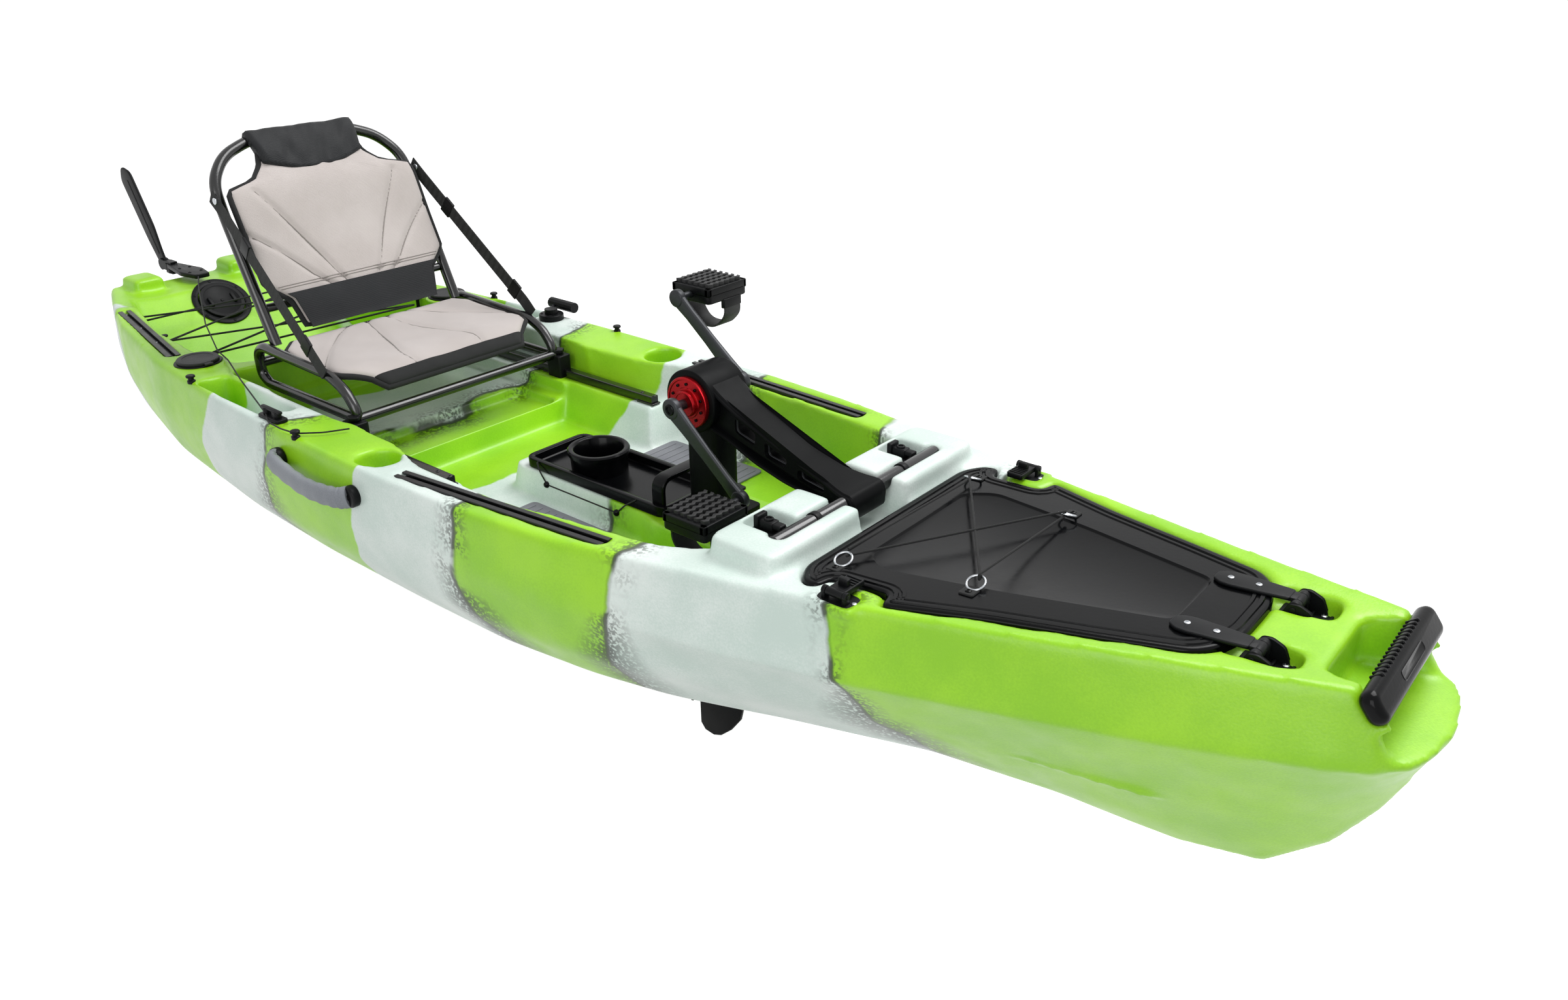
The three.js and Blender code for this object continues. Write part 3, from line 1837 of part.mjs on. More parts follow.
function makeDriveHousing() {
  const d = drive;
  const across = (radius, half, sidesCount = 32) =>
    bar(V(d.x, -half, d.z), V(d.x, half, d.z), radius, sidesCount);
  const barrel = across(d.barrelRadius, d.barrelHalf, facets.large);
  const place = ([along, up]) => [
    d.x + along * (crossBar.x - d.x),
    crossBar.z + up * (d.z - crossBar.z),
  ];
  let side = sideProfile(armSideShares.map(place), -d.barrelHalf, d.barrelHalf);
  for (const window of armWindowShares) {
    side = side.subtract(sideProfile(window.map(place), -2 * d.barrelHalf, 2 * d.barrelHalf));
  }
  const plan = armPlanShares.map(([along, across]) => [
    d.x + along * (crossBar.x - d.x),
    across * d.barrelHalf,
  ]);
  const truss = side.intersect(
    block(mirrored(plan), [
      [crossBar.z - d.barrelRadius, 0],
      [d.z + 2 * d.barrelRadius, 0],
    ]),
  );
  const plateTop = hump.top + d.footPlate.thickness;
  const leg = block(
    roundOutline(rectangle(d.legAft, d.legFore, -d.legHalf, d.legHalf), d.legCorner, 3),
    [
      [plateTop, 0],
      [d.z - d.axleRadius, 0],
    ],
  );
  const fin = block(
    roundOutline(
      rectangle(
        d.legAft + d.finInset,
        d.legFore - d.finInset,
        d.finCheek - d.legHalf,
        d.legHalf - d.finCheek,
      ),
      d.legCorner,
      3,
    ),
    [
      [d.gearcaseZ, 0],
      [plateTop + clearance, 0],
    ],
  );
  const { aft, fore, starboard, port, corner, draft } = d.footPlate;
  const foot = block(roundOutline(rectangle(aft, fore, starboard, port), corner, 3), [
    [hump.top + clearance, 0],
    [plateTop, -draft],
  ]);
  const gearcase = joined(
    bar(
      V(d.gearcaseAft, 0, d.gearcaseZ),
      V(d.gearcaseFore, 0, d.gearcaseZ),
      d.gearcaseRadius,
      facets.large,
    ),
    bar(
      V(d.gearcaseFore - clearance, 0, d.gearcaseZ),
      V(d.gearcaseFore + d.noseLength, 0, d.gearcaseZ),
      d.gearcaseRadius,
      d.noseSides,
      d.gearcaseRadius * 0.35,
    ),
  );
  const skeg = sideProfile(
    skegShares.map(([along, down]) => [
      d.skegAft + along * (d.skegFore - d.skegAft),
      d.gearcaseZ + down * (d.skegBottom - d.gearcaseZ),
    ]),
    -d.skegHalf,
    d.skegHalf,
  );
  const hollow = joined(
    across(d.barrelRadius - d.barrelWall, d.barrelHalf + overrun, facets.large),
    bar(V(d.shaftX, 0, d.gearcaseZ), V(d.shaftX, 0, d.z), shaftBore, facets.medium),
    bar(
      V(d.shaftX, 0, d.z - d.pinionRoomDepth),
      V(d.shaftX, 0, d.z),
      d.pinionRoomRadius,
      facets.medium,
    ),
    bar(
      V(d.gearcaseAft - overrun, 0, d.gearcaseZ),
      V(d.shaftX + d.gearRoomRadius + bite, 0, d.gearcaseZ),
      propeller.shaftRadius + clearance,
      facets.medium,
    ),
    bar(
      V(d.shaftX, 0, d.gearcaseZ - d.gearRoomRadius),
      V(d.shaftX, 0, d.gearcaseZ + d.gearRoomRadius),
      d.gearRoomRadius,
      facets.medium,
    ),
  );
  const barBore = bar(
    V(crossBar.x, -halfBeam, crossBar.z),
    V(crossBar.x, halfBeam, crossBar.z),
    crossBar.radius + clearance,
    facets.large,
  );
  return joined(barrel, truss, leg, fin, foot, gearcase, skeg)
    .subtract(hollow)
    .subtract(barBore);
}

add('drive_housing', makeDriveHousing(), blackPlastic);

for (const [sideName, side] of sides) {
  const d = drive;
  const face = side * (d.barrelHalf + clearance);
  const bore = d.axleRadius + clearance;
  const spigot = d.barrelRadius - d.barrelWall - clearance;
  const top = d.discThickness + d.hubHeight;
  const disc = turned(
    [
      [bore, -spigotDepth],
      [spigot, -spigotDepth],
      [spigot, 0],
      [d.discRadius, 0],
      [d.discRadius, d.discThickness * 0.7],
      [d.discRadius * 0.92, d.discThickness],
      [d.hubRadius, d.discThickness],
      [d.hubRadius * 0.9, top],
      [bore, top],
      [bore, -spigotDepth],
    ],
    facets.large,
  )
    .rotate([-side * 90, 0, 0])
    .translate([d.x, face, d.z]);
  add(`bearing_disc_${sideName}`, disc, redMetal);
}

// Crank axle with its bevel gear, the arms and the pedals
const bevel = {
  outer: 35,
  inner: 24,
  width: 10,
  offset: 22, // from the middle to the gear's back
  sides: 28,
  pinionOuter: 14,
  pinionHeight: 12,
  collarRadius: 9,
  collarLow: 9,
  collarHigh: 14,
  shaftLift: 2,
};
{
  const d = drive;
  const axle = bar(V(d.x, -d.armInner, d.z), V(d.x, d.armInner, d.z), d.axleRadius, facets.large);
  const gear = bar(
    V(d.x, -bevel.offset, d.z),
    V(d.x, bevel.width - bevel.offset, d.z),
    bevel.outer,
    bevel.sides,
    bevel.inner,
  );
  const square = (side) =>
    box(
      d.axleRadius * 1.2,
      d.armThickness,
      d.axleRadius * 1.2,
      d.x,
      side * (d.armInner + d.armThickness / 2),
      d.z,
    );
  add('crank_axle', joined(axle, gear, square(-1), square(1)), steel);

  const shaftTop = d.z - bevel.outer - clearance - bevel.pinionHeight;
  const upright = (low, high, radius, sidesCount) =>
    bar(V(d.shaftX, 0, low), V(d.shaftX, 0, high), radius, sidesCount);
  const z = d.gearcaseZ;
  const shaft = joined(
    upright(z + bevel.shaftLift, shaftTop, d.shaftRadius, facets.medium),
    upright(shaftTop - bevel.pinionHeight, shaftTop, bevel.pinionOuter, facets.large),
    upright(z + bevel.collarLow, z + bevel.collarHigh, bevel.collarRadius, facets.medium),
  );
  add('drive_shaft', shaft, steel);
}

function crankPoint(side, radius) {
  const angle = degrees(drive.crankAngle + (side > 0 ? 180 : 0));
  return V(drive.x + radius * Math.cos(angle), 0, drive.z + radius * Math.sin(angle));
}

const pedalSize = {
  length: 96,
  width: 108,
  over: 22,
  under: 14,
  tread: 6,
  corner: 10,
  gap: 26,
  spindleRadius: 7,
};
// The foot strap under a pedal, as shares of the pedal's length
const pedalStrap = { width: 44, thickness: 4 };
const pedalStrapShares = [
  [-0.46, -0.1],
  [-0.54, -0.42],
  [-0.3, -0.75],
  [0.23, -0.75],
  [0.52, -0.44],
  [0.46, -0.1],
];

function makeCrankArm(side) {
  const d = drive;
  const tip = crankPoint(side, d.crankRadius);
  const inner = side * (d.armInner + clearance);
  const outer = side * (d.armInner + d.armThickness);
  const at = (p, y) => V(p.x, y, p.z);
  const hub = V(d.x, 0, d.z);
  const angle = drive.crankAngle + (side > 0 ? 180 : 0);
  const beamOutline = [
    [0, -d.bossRadius * 0.8],
    [d.crankRadius, -d.tipRadius * 0.8],
    [d.crankRadius, d.tipRadius * 0.8],
    [0, d.bossRadius * 0.8],
  ];
  const web = sideProfile(beamOutline, Math.min(inner, outer), Math.max(inner, outer))
    .rotate([0, -angle, 0])
    .translate([d.x, 0, d.z]);
  const squareHole = box(
    d.axleRadius * 1.2 + 2 * clearance,
    overrun * 3,
    d.axleRadius * 1.2 + 2 * clearance,
    d.x,
    side * (d.armInner + d.armThickness / 2),
    d.z,
  );
  const spindle = bar(
    at(tip, outer - side),
    at(tip, outer + side * (pedalSize.gap + pedalSize.width * 0.9)),
    pedalSize.spindleRadius,
    facets.medium,
  );
  return joined(
    bar(at(hub, inner), at(hub, outer), d.bossRadius, facets.large),
    bar(at(tip, inner), at(tip, outer), d.tipRadius, facets.medium),
    web,
  )
    .subtract(squareHole)
    .add(spindle);
}

function makePedal(side) {
  const d = drive;
  const tip = crankPoint(side, d.crankRadius);
  const { length, width, over, under, tread, corner, gap, spindleRadius } = pedalSize;
  const start = d.armInner + d.armThickness + gap;
  const middle = side * (start + width / 2);
  const port = rectangle(-length / 2, length / 2, start, start + width);
  let body = block(
    side > 0 ? port : mirrorY(port),
    [
      [-under, -corner * 0.4],
      [-under * 0.6, 0],
      [over * 0.8, 0],
      [over, -corner * 0.3],
    ],
    corner,
  );
  const rows = 4;
  for (let i = 0; i < rows; i += 1) {
    const x = (i / (rows - 1) - 0.5) * length * 0.74;
    body = body.add(box(length * 0.1, width * 0.86, 2 * tread, x, middle, over));
  }
  const bore = bar(
    V(0, side * (start - overrun), 0),
    V(0, side * (start + width * 0.92), 0),
    spindleRadius + clearance,
    facets.medium,
  );
  const y = side * (start + width * 0.6);
  const loop = strap(
    pedalStrapShares.map(([along, up]) => V(along * length, y, up * length)),
    pedalStrap.width,
    pedalStrap.thickness,
    corner,
    1,
  );
  return joined(body, loop).subtract(bore).translate([tip.x, 0, tip.z]);
}

for (const [sideName, side] of sides) {
  add(`crank_arm_${sideName}`, makeCrankArm(side), blackMetal);
  add(`pedal_${sideName}`, makePedal(side), blackPlastic);
}

// Two-bladed propeller on its shaft, blades upright so the drive can lift out
{
  const { radius, hubRadius, aft, fore, shaftRadius, shaftGap, bladeChord } = propeller;
  const { bladeHalf, bladeDraft, bladeCorner, bladePitch, bladeShift, tipOut, tipIn } = propeller;
  const z = drive.gearcaseZ;
  const shaftEnd = drive.shaftX - drive.shaftRadius - shaftGap;
  const hub = joined(
    bar(V(aft + tipIn, 0, z), V(fore, 0, z), hubRadius, facets.large),
    bar(
      V(aft - tipOut, 0, z),
      V(aft + tipIn + bite / 2, 0, z),
      hubRadius * 0.4,
      facets.large,
      hubRadius,
    ),
    bar(V(fore - bite, 0, z), V(shaftEnd, 0, z), shaftRadius, facets.medium),
  );
  const outline = roundOutline(
    [
      [-bladeChord * 0.28, 0],
      [-bladeChord * 0.5, radius * 0.6],
      [-bladeChord * 0.3, radius],
      [bladeChord * 0.25, radius],
      [bladeChord * 0.5, radius * 0.6],
      [bladeChord * 0.28, 0],
    ].reverse(),
    bladeCorner,
    2,
  );
  const blade = (turn) =>
    block(outline, [
      [-bladeHalf, -bladeDraft],
      [0, 0],
      [bladeHalf, -bladeDraft],
    ])
      .rotate([90, 0, 0])
      .rotate([0, 0, bladePitch])
      .rotate([turn, 0, 0])
      .translate([(aft + fore) / 2 + bladeShift, 0, z]);
  add('propeller', joined(hub, blade(0), blade(180)), greyFoam);
}

// The bar that seats in the beam's groove
add(
  'cross_bar',
  bar(
    V(crossBar.x, -crossBar.halfLength, crossBar.z),
    V(crossBar.x, crossBar.halfLength, crossBar.z),
    crossBar.radius,
    facets.large,
  ),
  blackMetal,
);

// Latches that hold the drive: each swivels on an upright screw
const barLatch = {
  x: 639,
  y: 183,
  plateWidth: 50,
  plateCorner: 15,
  plate: 5,
  pocketHalf: 33,
  floor: 400,
  bodyLength: 30,
  bodyTop: 425,
  armWidth: 20,
  armHeight: 10,
  hookWidth: 10,
  hookWidthAcross: 26,
};
const rearLatch = {
  x: 322,
  y: 86,
  length: 44,
  width: 22,
  thickness: 6,
  hubRadius: 14,
};

function makeBarLatch(side) {
  const l = barLatch;
  const base = l.floor + clearance;
  const y = side * l.y;
  const half = l.plateWidth / 2;
  const plate = block(
    rectangle(l.x - half, l.x + half, y - half, y + half),
    [
      [base, 0],
      [base + l.plate, -clearance],
    ],
    l.plateCorner,
  );
  const barEdge = crossBar.x - crossBar.radius - crossBar.clearance;
  const armFore = barEdge - clearance;
  const bodyAft = l.x - l.bodyLength / 2;
  const body = box(l.bodyLength, l.armWidth, l.bodyTop - base, l.x, y, (l.bodyTop + base) / 2);
  const arm = box(
    armFore - bodyAft,
    l.armWidth * 0.8,
    l.armHeight,
    (armFore + bodyAft) / 2,
    y,
    l.bodyTop - l.armHeight,
  );
  const hook = box(
    l.hookWidth,
    l.hookWidthAcross,
    l.bodyTop - base - l.plate / 2,
    bodyAft - l.hookWidth / 4,
    y,
    (l.bodyTop + base + l.plate / 2) / 2 + l.plate / 2,
  );
  const inner = l.y - l.pocketHalf;
  const outer = l.y + l.pocketHalf;
  const pocketAft = l.x - l.pocketHalf;
  seatInHull(
    box(
      crossBar.x - pocketAft,
      outer - inner,
      cutTop - l.floor,
      (crossBar.x + pocketAft) / 2,
      y,
      (cutTop + l.floor) / 2,
    ),
  );
  return joined(plate, body, arm, hook);
}

for (const [sideName, side] of sides) {
  add(`bar_latch_${sideName}`, makeBarLatch(side), blackPlastic);
}

{
  const l = rearLatch;
  const base = hump.top + clearance;
  const seatTop = hump.top + drive.footPlate.thickness + clearance;
  const hub = bar(V(l.x, l.y, base), V(l.x, l.y, seatTop + l.thickness), l.hubRadius, facets.medium);
  const arm = block(
    rectangle(l.x - l.length / 2, l.x + l.length / 2, l.y - l.width / 2, l.y + l.width / 2),
    [
      [seatTop, 0],
      [seatTop + l.thickness, -clearance],
    ],
    l.width * 0.3,
  );
  add('rear_latch', joined(hub, arm), blackPlastic);
}

// Hatch lid: a domed shell with a raised rim and four lashing rings
const lid = {
  skin: 5,
  edgeRound: 6,
  panelDrop: 4,
  ringRadius: 14,
  wireRadius: 2,
  ringTilt: 24,
  plateLength: 44,
  plateWidth: 24,
  plateThickness: 3,
};
const lidPanel = {
  aft: 800,
  fore: 1262,
  halfWidth: 168,
  corner: 20,
  outlineShares: [
    [0, 0.82],
    [0.1, 1],
    [0.5, 0.78],
    [1, 0.42],
  ],
};
const lashRings = [
  { x: 789, y: 186 },
  { x: 993, y: 140 },
];
const lidTop = hatch.seatZ + clearance + hatch.thickness;

const ringLift = lid.ringRadius * Math.sin(degrees(lid.ringTilt));
const ringZ = lidTop + lid.plateThickness / 2 + ringLift;

// The wire that the cord goes round, on the side that points into the lid
function ringWire(place, side) {
  const reach = lid.ringRadius * Math.cos(degrees(lid.ringTilt));
  return V(place.x, side * (place.y - reach), ringZ + ringLift);
}

function makeLashRing(place, side) {
  const ring = solid(new THREE.TorusGeometry(lid.ringRadius, lid.wireRadius, 4, facets.small));
  const leaned = ring
    .rotate([-side * lid.ringTilt, 0, 0])
    .translate([place.x, side * place.y, ringZ]);
  const plate = box(
    lid.plateWidth,
    lid.plateLength,
    lid.plateThickness + 1,
    place.x,
    side * (place.y + lid.ringRadius * 1.2),
    lidTop + lid.plateThickness / 2,
  );
  return joined(leaned, plate);
}

function makeLid() {
  const outline = mirrored(pocketOutline(hatch));
  const base = hatch.seatZ + clearance;
  const shell = block(
    outline,
    [
      [base, 0],
      [lidTop - lid.edgeRound, 0],
      [lidTop, -lid.edgeRound],
    ],
    hatch.corner,
  );
  const panelOutline = mirrored(pocketOutline(lidPanel));
  const panel = block(
    panelOutline,
    [
      [lidTop - lid.panelDrop, -lid.panelDrop],
      [lidTop + overrun, overrun],
    ],
    lidPanel.corner,
  );
  const under = block(
    mirrored(pocketOutline(hatchHold)),
    [
      [base - overrun, 0],
      [lidTop - lid.panelDrop - lid.skin, 0],
    ],
    hatchHold.corner,
  );
  let body = shell.subtract(panel).subtract(under);
  for (const place of lashRings) {
    for (const side of [-1, 1]) {
      body = body.add(makeLashRing(place, side));
    }
  }
  return tilted(body);
}

// Hatch hinges: a leaf on the lid and a base in the hull, on a common pin
const knuckle = { radius: 9, share: 0.5 };
function makeHinge(side) {
  const h = hinge;
  const y = side * h.y;
  const across = (radius, from, to, sidesCount = 12) =>
    bar(V(h.x, y + from, h.z), V(h.x, y + to, h.z), radius, sidesCount);
  const half = h.width / 2;
  const inner = half * knuckle.share;
  const leafBase = lidTop + clearance;
  const strapBody = tilted(
    block(
      [
        [h.x - h.strapLength, y - half * 0.5],
        [h.x - h.strapLength * 0.85, y - half * 0.8],
        [h.x - knuckle.radius, y - inner],
        [h.x - knuckle.radius, y + inner],
        [h.x - h.strapLength * 0.85, y + half * 0.8],
        [h.x - h.strapLength, y + half * 0.5],
      ],
      [
        [leafBase, 0],
        [leafBase + knuckle.radius * 0.6, -clearance],
      ],
    ),
  );
  const leaf = joined(
    strapBody,
    box(
      2 * knuckle.radius,
      2 * inner,
      knuckle.radius,
      h.x - knuckle.radius,
      y,
      leafBase + knuckle.radius / 4,
    ),
    across(knuckle.radius, -inner, inner),
  ).subtract(across(h.pinRadius + clearance, -half * 2, half * 2));
  const lowest = hingePocket.floor + clearance;
  const ear = (from, to) =>
    joined(
      across(knuckle.radius, from, to),
      box(
        2 * knuckle.radius,
        Math.abs(to - from),
        h.z - lowest,
        h.x,
        y + (from + to) / 2,
        (h.z + lowest) / 2,
      ),
    );
  const foot = block(
    rectangle(
      hingePocket.aft + 2 * knuckle.radius,
      hingePocket.fore - clearance,
      y - hingePocket.halfWidth + clearance,
      y + hingePocket.halfWidth - clearance,
    ),
    [
      [lowest, 0],
      [lowest + knuckle.radius * 0.5, 0],
    ],
    hingePocket.halfWidth * 0.6,
  );
  const base = joined(
    foot,
    ear(-half, -inner - clearance),
    ear(inner + clearance, half),
    across(h.pinRadius, -half, half),
  );
  return { leaf, base };
}

let hatchLid = makeLid();
for (const [sideName, side] of sides) {
  const { leaf, base } = makeHinge(side);
  hatchLid = hatchLid.subtract(leaf);
  add(`hatch_hinge_leaf_${sideName}`, leaf, blackPlastic);
  add(`hatch_hinge_base_${sideName}`, base.subtract(hullGuard()), blackPlastic);
}
add('hatch_lid', hatchLid, glossBlack);

// Hatch latches: a base on the deck and a lever that hooks over the lid
const hatchLatch = {
  x: 845,
  y: 272,
  length: 66,
  width: 40,
  floor: 391,
  plate: 4,
  pinZ: 407,
  pinOut: 8,
  pinRadius: 3,
  earRadius: 7,
  leverWidth: 30,
  leverReach: 52,
  leverThickness: 10,
};

function makeHatchLatch(side) {
  const l = hatchLatch;
  const base = l.floor + clearance;
  const port = rectangle(
    l.x - l.length / 2,
    l.x + l.length / 2,
    l.y - l.width / 2,
    l.y + l.width / 2,
  );
  const outline = side > 0 ? port : mirrorY(port);
  const plate = block(
    outline,
    [
      [base, 0],
      [base + l.plate, 0],
    ],
    l.earRadius,
  );
  seatInHull(
    block(
      outline,
      [
        [l.floor, clearance],
        [cutTop, clearance],
      ],
      l.earRadius,
    ),
  );
  const pinY = side * (l.y + l.pinOut);
  const half = l.leverWidth / 2;
  const along = (radius, from, to) =>
    bar(V(l.x + from, pinY, l.pinZ), V(l.x + to, pinY, l.pinZ), radius, facets.small);
  const ear = (from, to) =>
    joined(
      along(l.earRadius, from, to),
      box(
        Math.abs(to - from),
        2 * l.earRadius,
        l.pinZ - base,
        l.x + (from + to) / 2,
        pinY,
        (l.pinZ + base) / 2,
      ),
    );
  const baseBody = joined(
    plate,
    ear(-half - l.earRadius, -half - clearance),
    ear(half + clearance, half + l.earRadius),
    along(l.pinRadius, -half - l.earRadius, half + l.earRadius),
  );
  const leverBottom = l.pinZ - l.leverThickness / 2;
  const lever = joined(
    box(
      l.leverWidth,
      l.leverReach,
      l.leverThickness,
      l.x,
      pinY - side * (l.leverReach / 2),
      leverBottom + l.leverThickness / 2,
    ),
    along(l.earRadius * 0.9, -half, half),
    box(
      l.leverWidth * 0.6,
      l.leverThickness,
      l.leverThickness * 1.6,
      l.x,
      pinY - side * l.leverReach * 0.4,
      l.pinZ + l.leverThickness * 0.8,
    ),
  ).subtract(along(l.pinRadius + clearance, -half - 1, half + 1));
  return { baseBody, lever };
}

for (const [sideName, side] of sides) {
  const { baseBody, lever } = makeHatchLatch(side);
  add(`hatch_latch_base_${sideName}`, baseBody, blackPlastic);
  add(`hatch_latch_lever_${sideName}`, lever, blackPlastic);
}

// Console: a shallow tray with a cup holder and an arched handle
const consoleTray = {
  aft: -102,
  fore: 296,
  halfWidth: 81,
  top: 292,
  rim: 9,
  floorThickness: 4,
  corner: 26,
  cupX: 35,
  cupRadius: 58,
  cupWall: 9,
  cupTop: 322,
  archX: 276,
  archTop: 346,
  archWidth: 18,
  archThickness: 9,
};

function makeConsole() {
  const c = consoleTray;
  const base = hump.top + clearance;
  const outline = rectangle(c.aft, c.fore, -c.halfWidth, c.halfWidth);
  const outer = block(
    outline,
    [
      [base, -c.rim * 0.5],
      [c.top - c.rim * 0.5, 0],
      [c.top, -c.rim * 0.2],
    ],
    c.corner,
  );
  const inner = block(
    outline,
    [
      [base + c.floorThickness, -c.rim * 1.6],
      [c.top + overrun, -c.rim],
    ],
    c.corner,
  );
  const cup = bar(V(c.cupX, 0, base), V(c.cupX, 0, c.cupTop), c.cupRadius, facets.large);
  const cupHollow = bar(
    V(c.cupX, 0, base + c.floorThickness),
    V(c.cupX, 0, c.cupTop + overrun),
    c.cupRadius - c.cupWall,
    facets.large,
  );
  const half = c.halfWidth - c.archThickness;
  const arch = sideProfile(
    [
      [-half, base],
      [-half, c.archTop - c.archWidth],
      [-half + c.archWidth, c.archTop],
      [half - c.archWidth, c.archTop],
      [half, c.archTop - c.archWidth],
      [half, base],
      [half - c.archThickness, base],
      [half - c.archThickness, c.archTop - c.archWidth],
      [half - c.archWidth, c.archTop - c.archThickness],
      [-half + c.archWidth, c.archTop - c.archThickness],
      [-half + c.archThickness, c.archTop - c.archWidth],
      [-half + c.archThickness, base],
    ],
    -c.archWidth / 2,
    c.archWidth / 2,
  )
    .rotate([0, 0, 90])
    .translate([c.archX, 0, 0]);
  return outer.subtract(inner).add(cup).subtract(cupHollow).add(arch);
}
add('console_tray', makeConsole(), glossBlack);

// Foam pads on both foot wells
const footPad = { aft: -42, fore: 222, inner: 112, outer: 288, thickness: 6, corner: 14 };
for (const [sideName, side] of sides) {
  const { aft, fore, inner, outer, thickness, corner } = footPad;
  const port = rectangle(aft, fore, inner, outer);
  const base = cockpit.floor + clearance;
  add(
    `foot_pad_${sideName}`,
    block(
      side > 0 ? port : mirrorY(port),
      [
        [base, 0],
        [base + thickness, 0],
      ],
      corner,
    ),
    greyFoam,
  );
}

// Cords

// A lashing that goes round four ring wires and crosses itself in the middle
function lashing(corners, radius, wireRadius) {
  const over = radius + wireRadius + 1.5 * clearance;
  const order = [corners.aftStarboard, corners.forePort, corners.foreStarboard, corners.aftPort];
  const points = [];
  order.forEach((wire, i) => {
    const out = V(0, Math.sign(wire.y) * over, 0);
    const up = V(0, 0, over);
    points.push(wire.clone().add(up), wire.clone().add(up).add(out));
    points.push(wire.clone().sub(up).add(out), wire.clone().sub(up));
    if (i === 0) {
      points.splice(0, 2);
    }
  });
  points.push(order[0].clone().add(V(0, 0, over * 1.5)));
  return points;
}

const cordRadius = { tank: 2.5, hatch: 2, line: 1.6 };
const cordBend = 10;
const wire = lid.wireRadius;
const liftedRing = (index, side) => {
  const place = ringWire(lashRings[index], side);
  const moved = place.sub(V(hinge.x, 0, hatch.seatZ));
  moved.applyAxisAngle(V(0, 1, 0), degrees(-hatch.tilt));
  return moved.add(V(hinge.x, 0, hatch.seatZ));
};
const hatchCorners = {
  aftStarboard: liftedRing(0, -1),
  aftPort: liftedRing(0, 1),
  foreStarboard: liftedRing(1, -1),
  forePort: liftedRing(1, 1),
};
add(
  'hatch_bungee',
  tube(lashing(hatchCorners, cordRadius.hatch, wire), cordRadius.hatch, cordBend, 1),
  blackFabric,
);

// Stretched cords over the tank well, from hook to hook
const hookZ = 366;
const hooks = {
  aft: { x: -1384, y: 231.6 },
  middle: { x: -1178, y: 268 },
  fore: { x: -972, y: 282 },
};
{
  const r = cordRadius.tank;
  const lift = 2 * r + clearance;
  const at = (hook, side, dz = 0) => V(hook.x, side * hook.y, hookZ + dz);
  const points = [
    at(hooks.aft, -1, lift),
    at(hooks.middle, 1, lift),
    at(hooks.fore, -1, lift),
    at(hooks.fore, 1, -lift),
    at(hooks.middle, -1, -lift),
    at(hooks.aft, 1, -lift),
    at(hooks.aft, -1, -lift),
  ];
  add('tank_bungee', tube(points, r, cordBend, 1), blackFabric);
}

// Steering line from the rudder bracket along the deck to the seat
const linePoints = [
  [-1518.8, -14, 405],
  [-1420, -64, 398],
  [-1150, -186, 388],
  [-930, -270, 390],
  [-840, -292, 393],
  [-700, -338, 391],
  [-560, -380, 389],
  [-486, -402, 388],
  [-452, -418, 384],
  [-400, -421, 384],
  [-352, -416, 385],
  [-318, -380, 384],
  [-300, -335, 382],
];
add(
  'rudder_line',
  tube(
    linePoints.map(([x, y, z]) => V(x, y, z)),
    cordRadius.line,
    cordBend,
    1,
  ),
  blackFabric,
);

add('hull', hull, limePlastic);

export default group;
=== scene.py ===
"""Looks of a pedal kayak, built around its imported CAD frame.

Metres. +X points to the bow, +Y to port, +Z up, and the origin lies on the keel strip.
Every piece's place is in its mesh, and its object sits at the origin.
"""

import json
import logging
import math
from dataclasses import dataclass, field
from enum import Enum
from functools import cached_property
from typing import Callable, Optional, Sequence, Union

import bmesh
import bpy
import numpy as np
from bmesh.types import BMesh, BMVert
from mathutils import Matrix, Quaternion, Vector, noise

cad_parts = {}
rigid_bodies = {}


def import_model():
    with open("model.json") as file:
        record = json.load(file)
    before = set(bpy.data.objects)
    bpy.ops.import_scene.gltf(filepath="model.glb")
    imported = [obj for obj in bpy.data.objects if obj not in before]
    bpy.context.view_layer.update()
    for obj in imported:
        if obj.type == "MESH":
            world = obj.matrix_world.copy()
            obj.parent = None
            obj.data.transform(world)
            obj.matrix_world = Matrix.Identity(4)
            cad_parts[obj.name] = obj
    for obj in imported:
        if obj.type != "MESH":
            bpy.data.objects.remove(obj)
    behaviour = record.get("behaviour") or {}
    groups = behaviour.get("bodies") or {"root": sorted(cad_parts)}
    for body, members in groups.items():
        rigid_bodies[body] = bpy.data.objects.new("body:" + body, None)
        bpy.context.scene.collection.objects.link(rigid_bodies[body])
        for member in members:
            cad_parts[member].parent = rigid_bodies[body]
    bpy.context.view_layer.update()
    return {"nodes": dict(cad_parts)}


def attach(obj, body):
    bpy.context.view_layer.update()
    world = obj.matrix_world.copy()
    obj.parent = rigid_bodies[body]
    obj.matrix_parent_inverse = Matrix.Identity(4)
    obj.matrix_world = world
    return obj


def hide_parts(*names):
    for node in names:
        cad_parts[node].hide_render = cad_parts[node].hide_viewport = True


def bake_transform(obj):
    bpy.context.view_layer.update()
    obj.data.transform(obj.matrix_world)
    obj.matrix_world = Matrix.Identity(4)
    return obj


LOG = logging.getLogger("kayak")
SIDES = (("starboard", -1), ("port", 1))
Point = Union[Vector, Sequence[float]]
Socket = bpy.types.NodeSocket
Pairs = Sequence[Sequence[float]]
Outline = list[tuple[float, float]]
Rows = list[list[BMVert]]

# Places that the hull shares with what sits on it

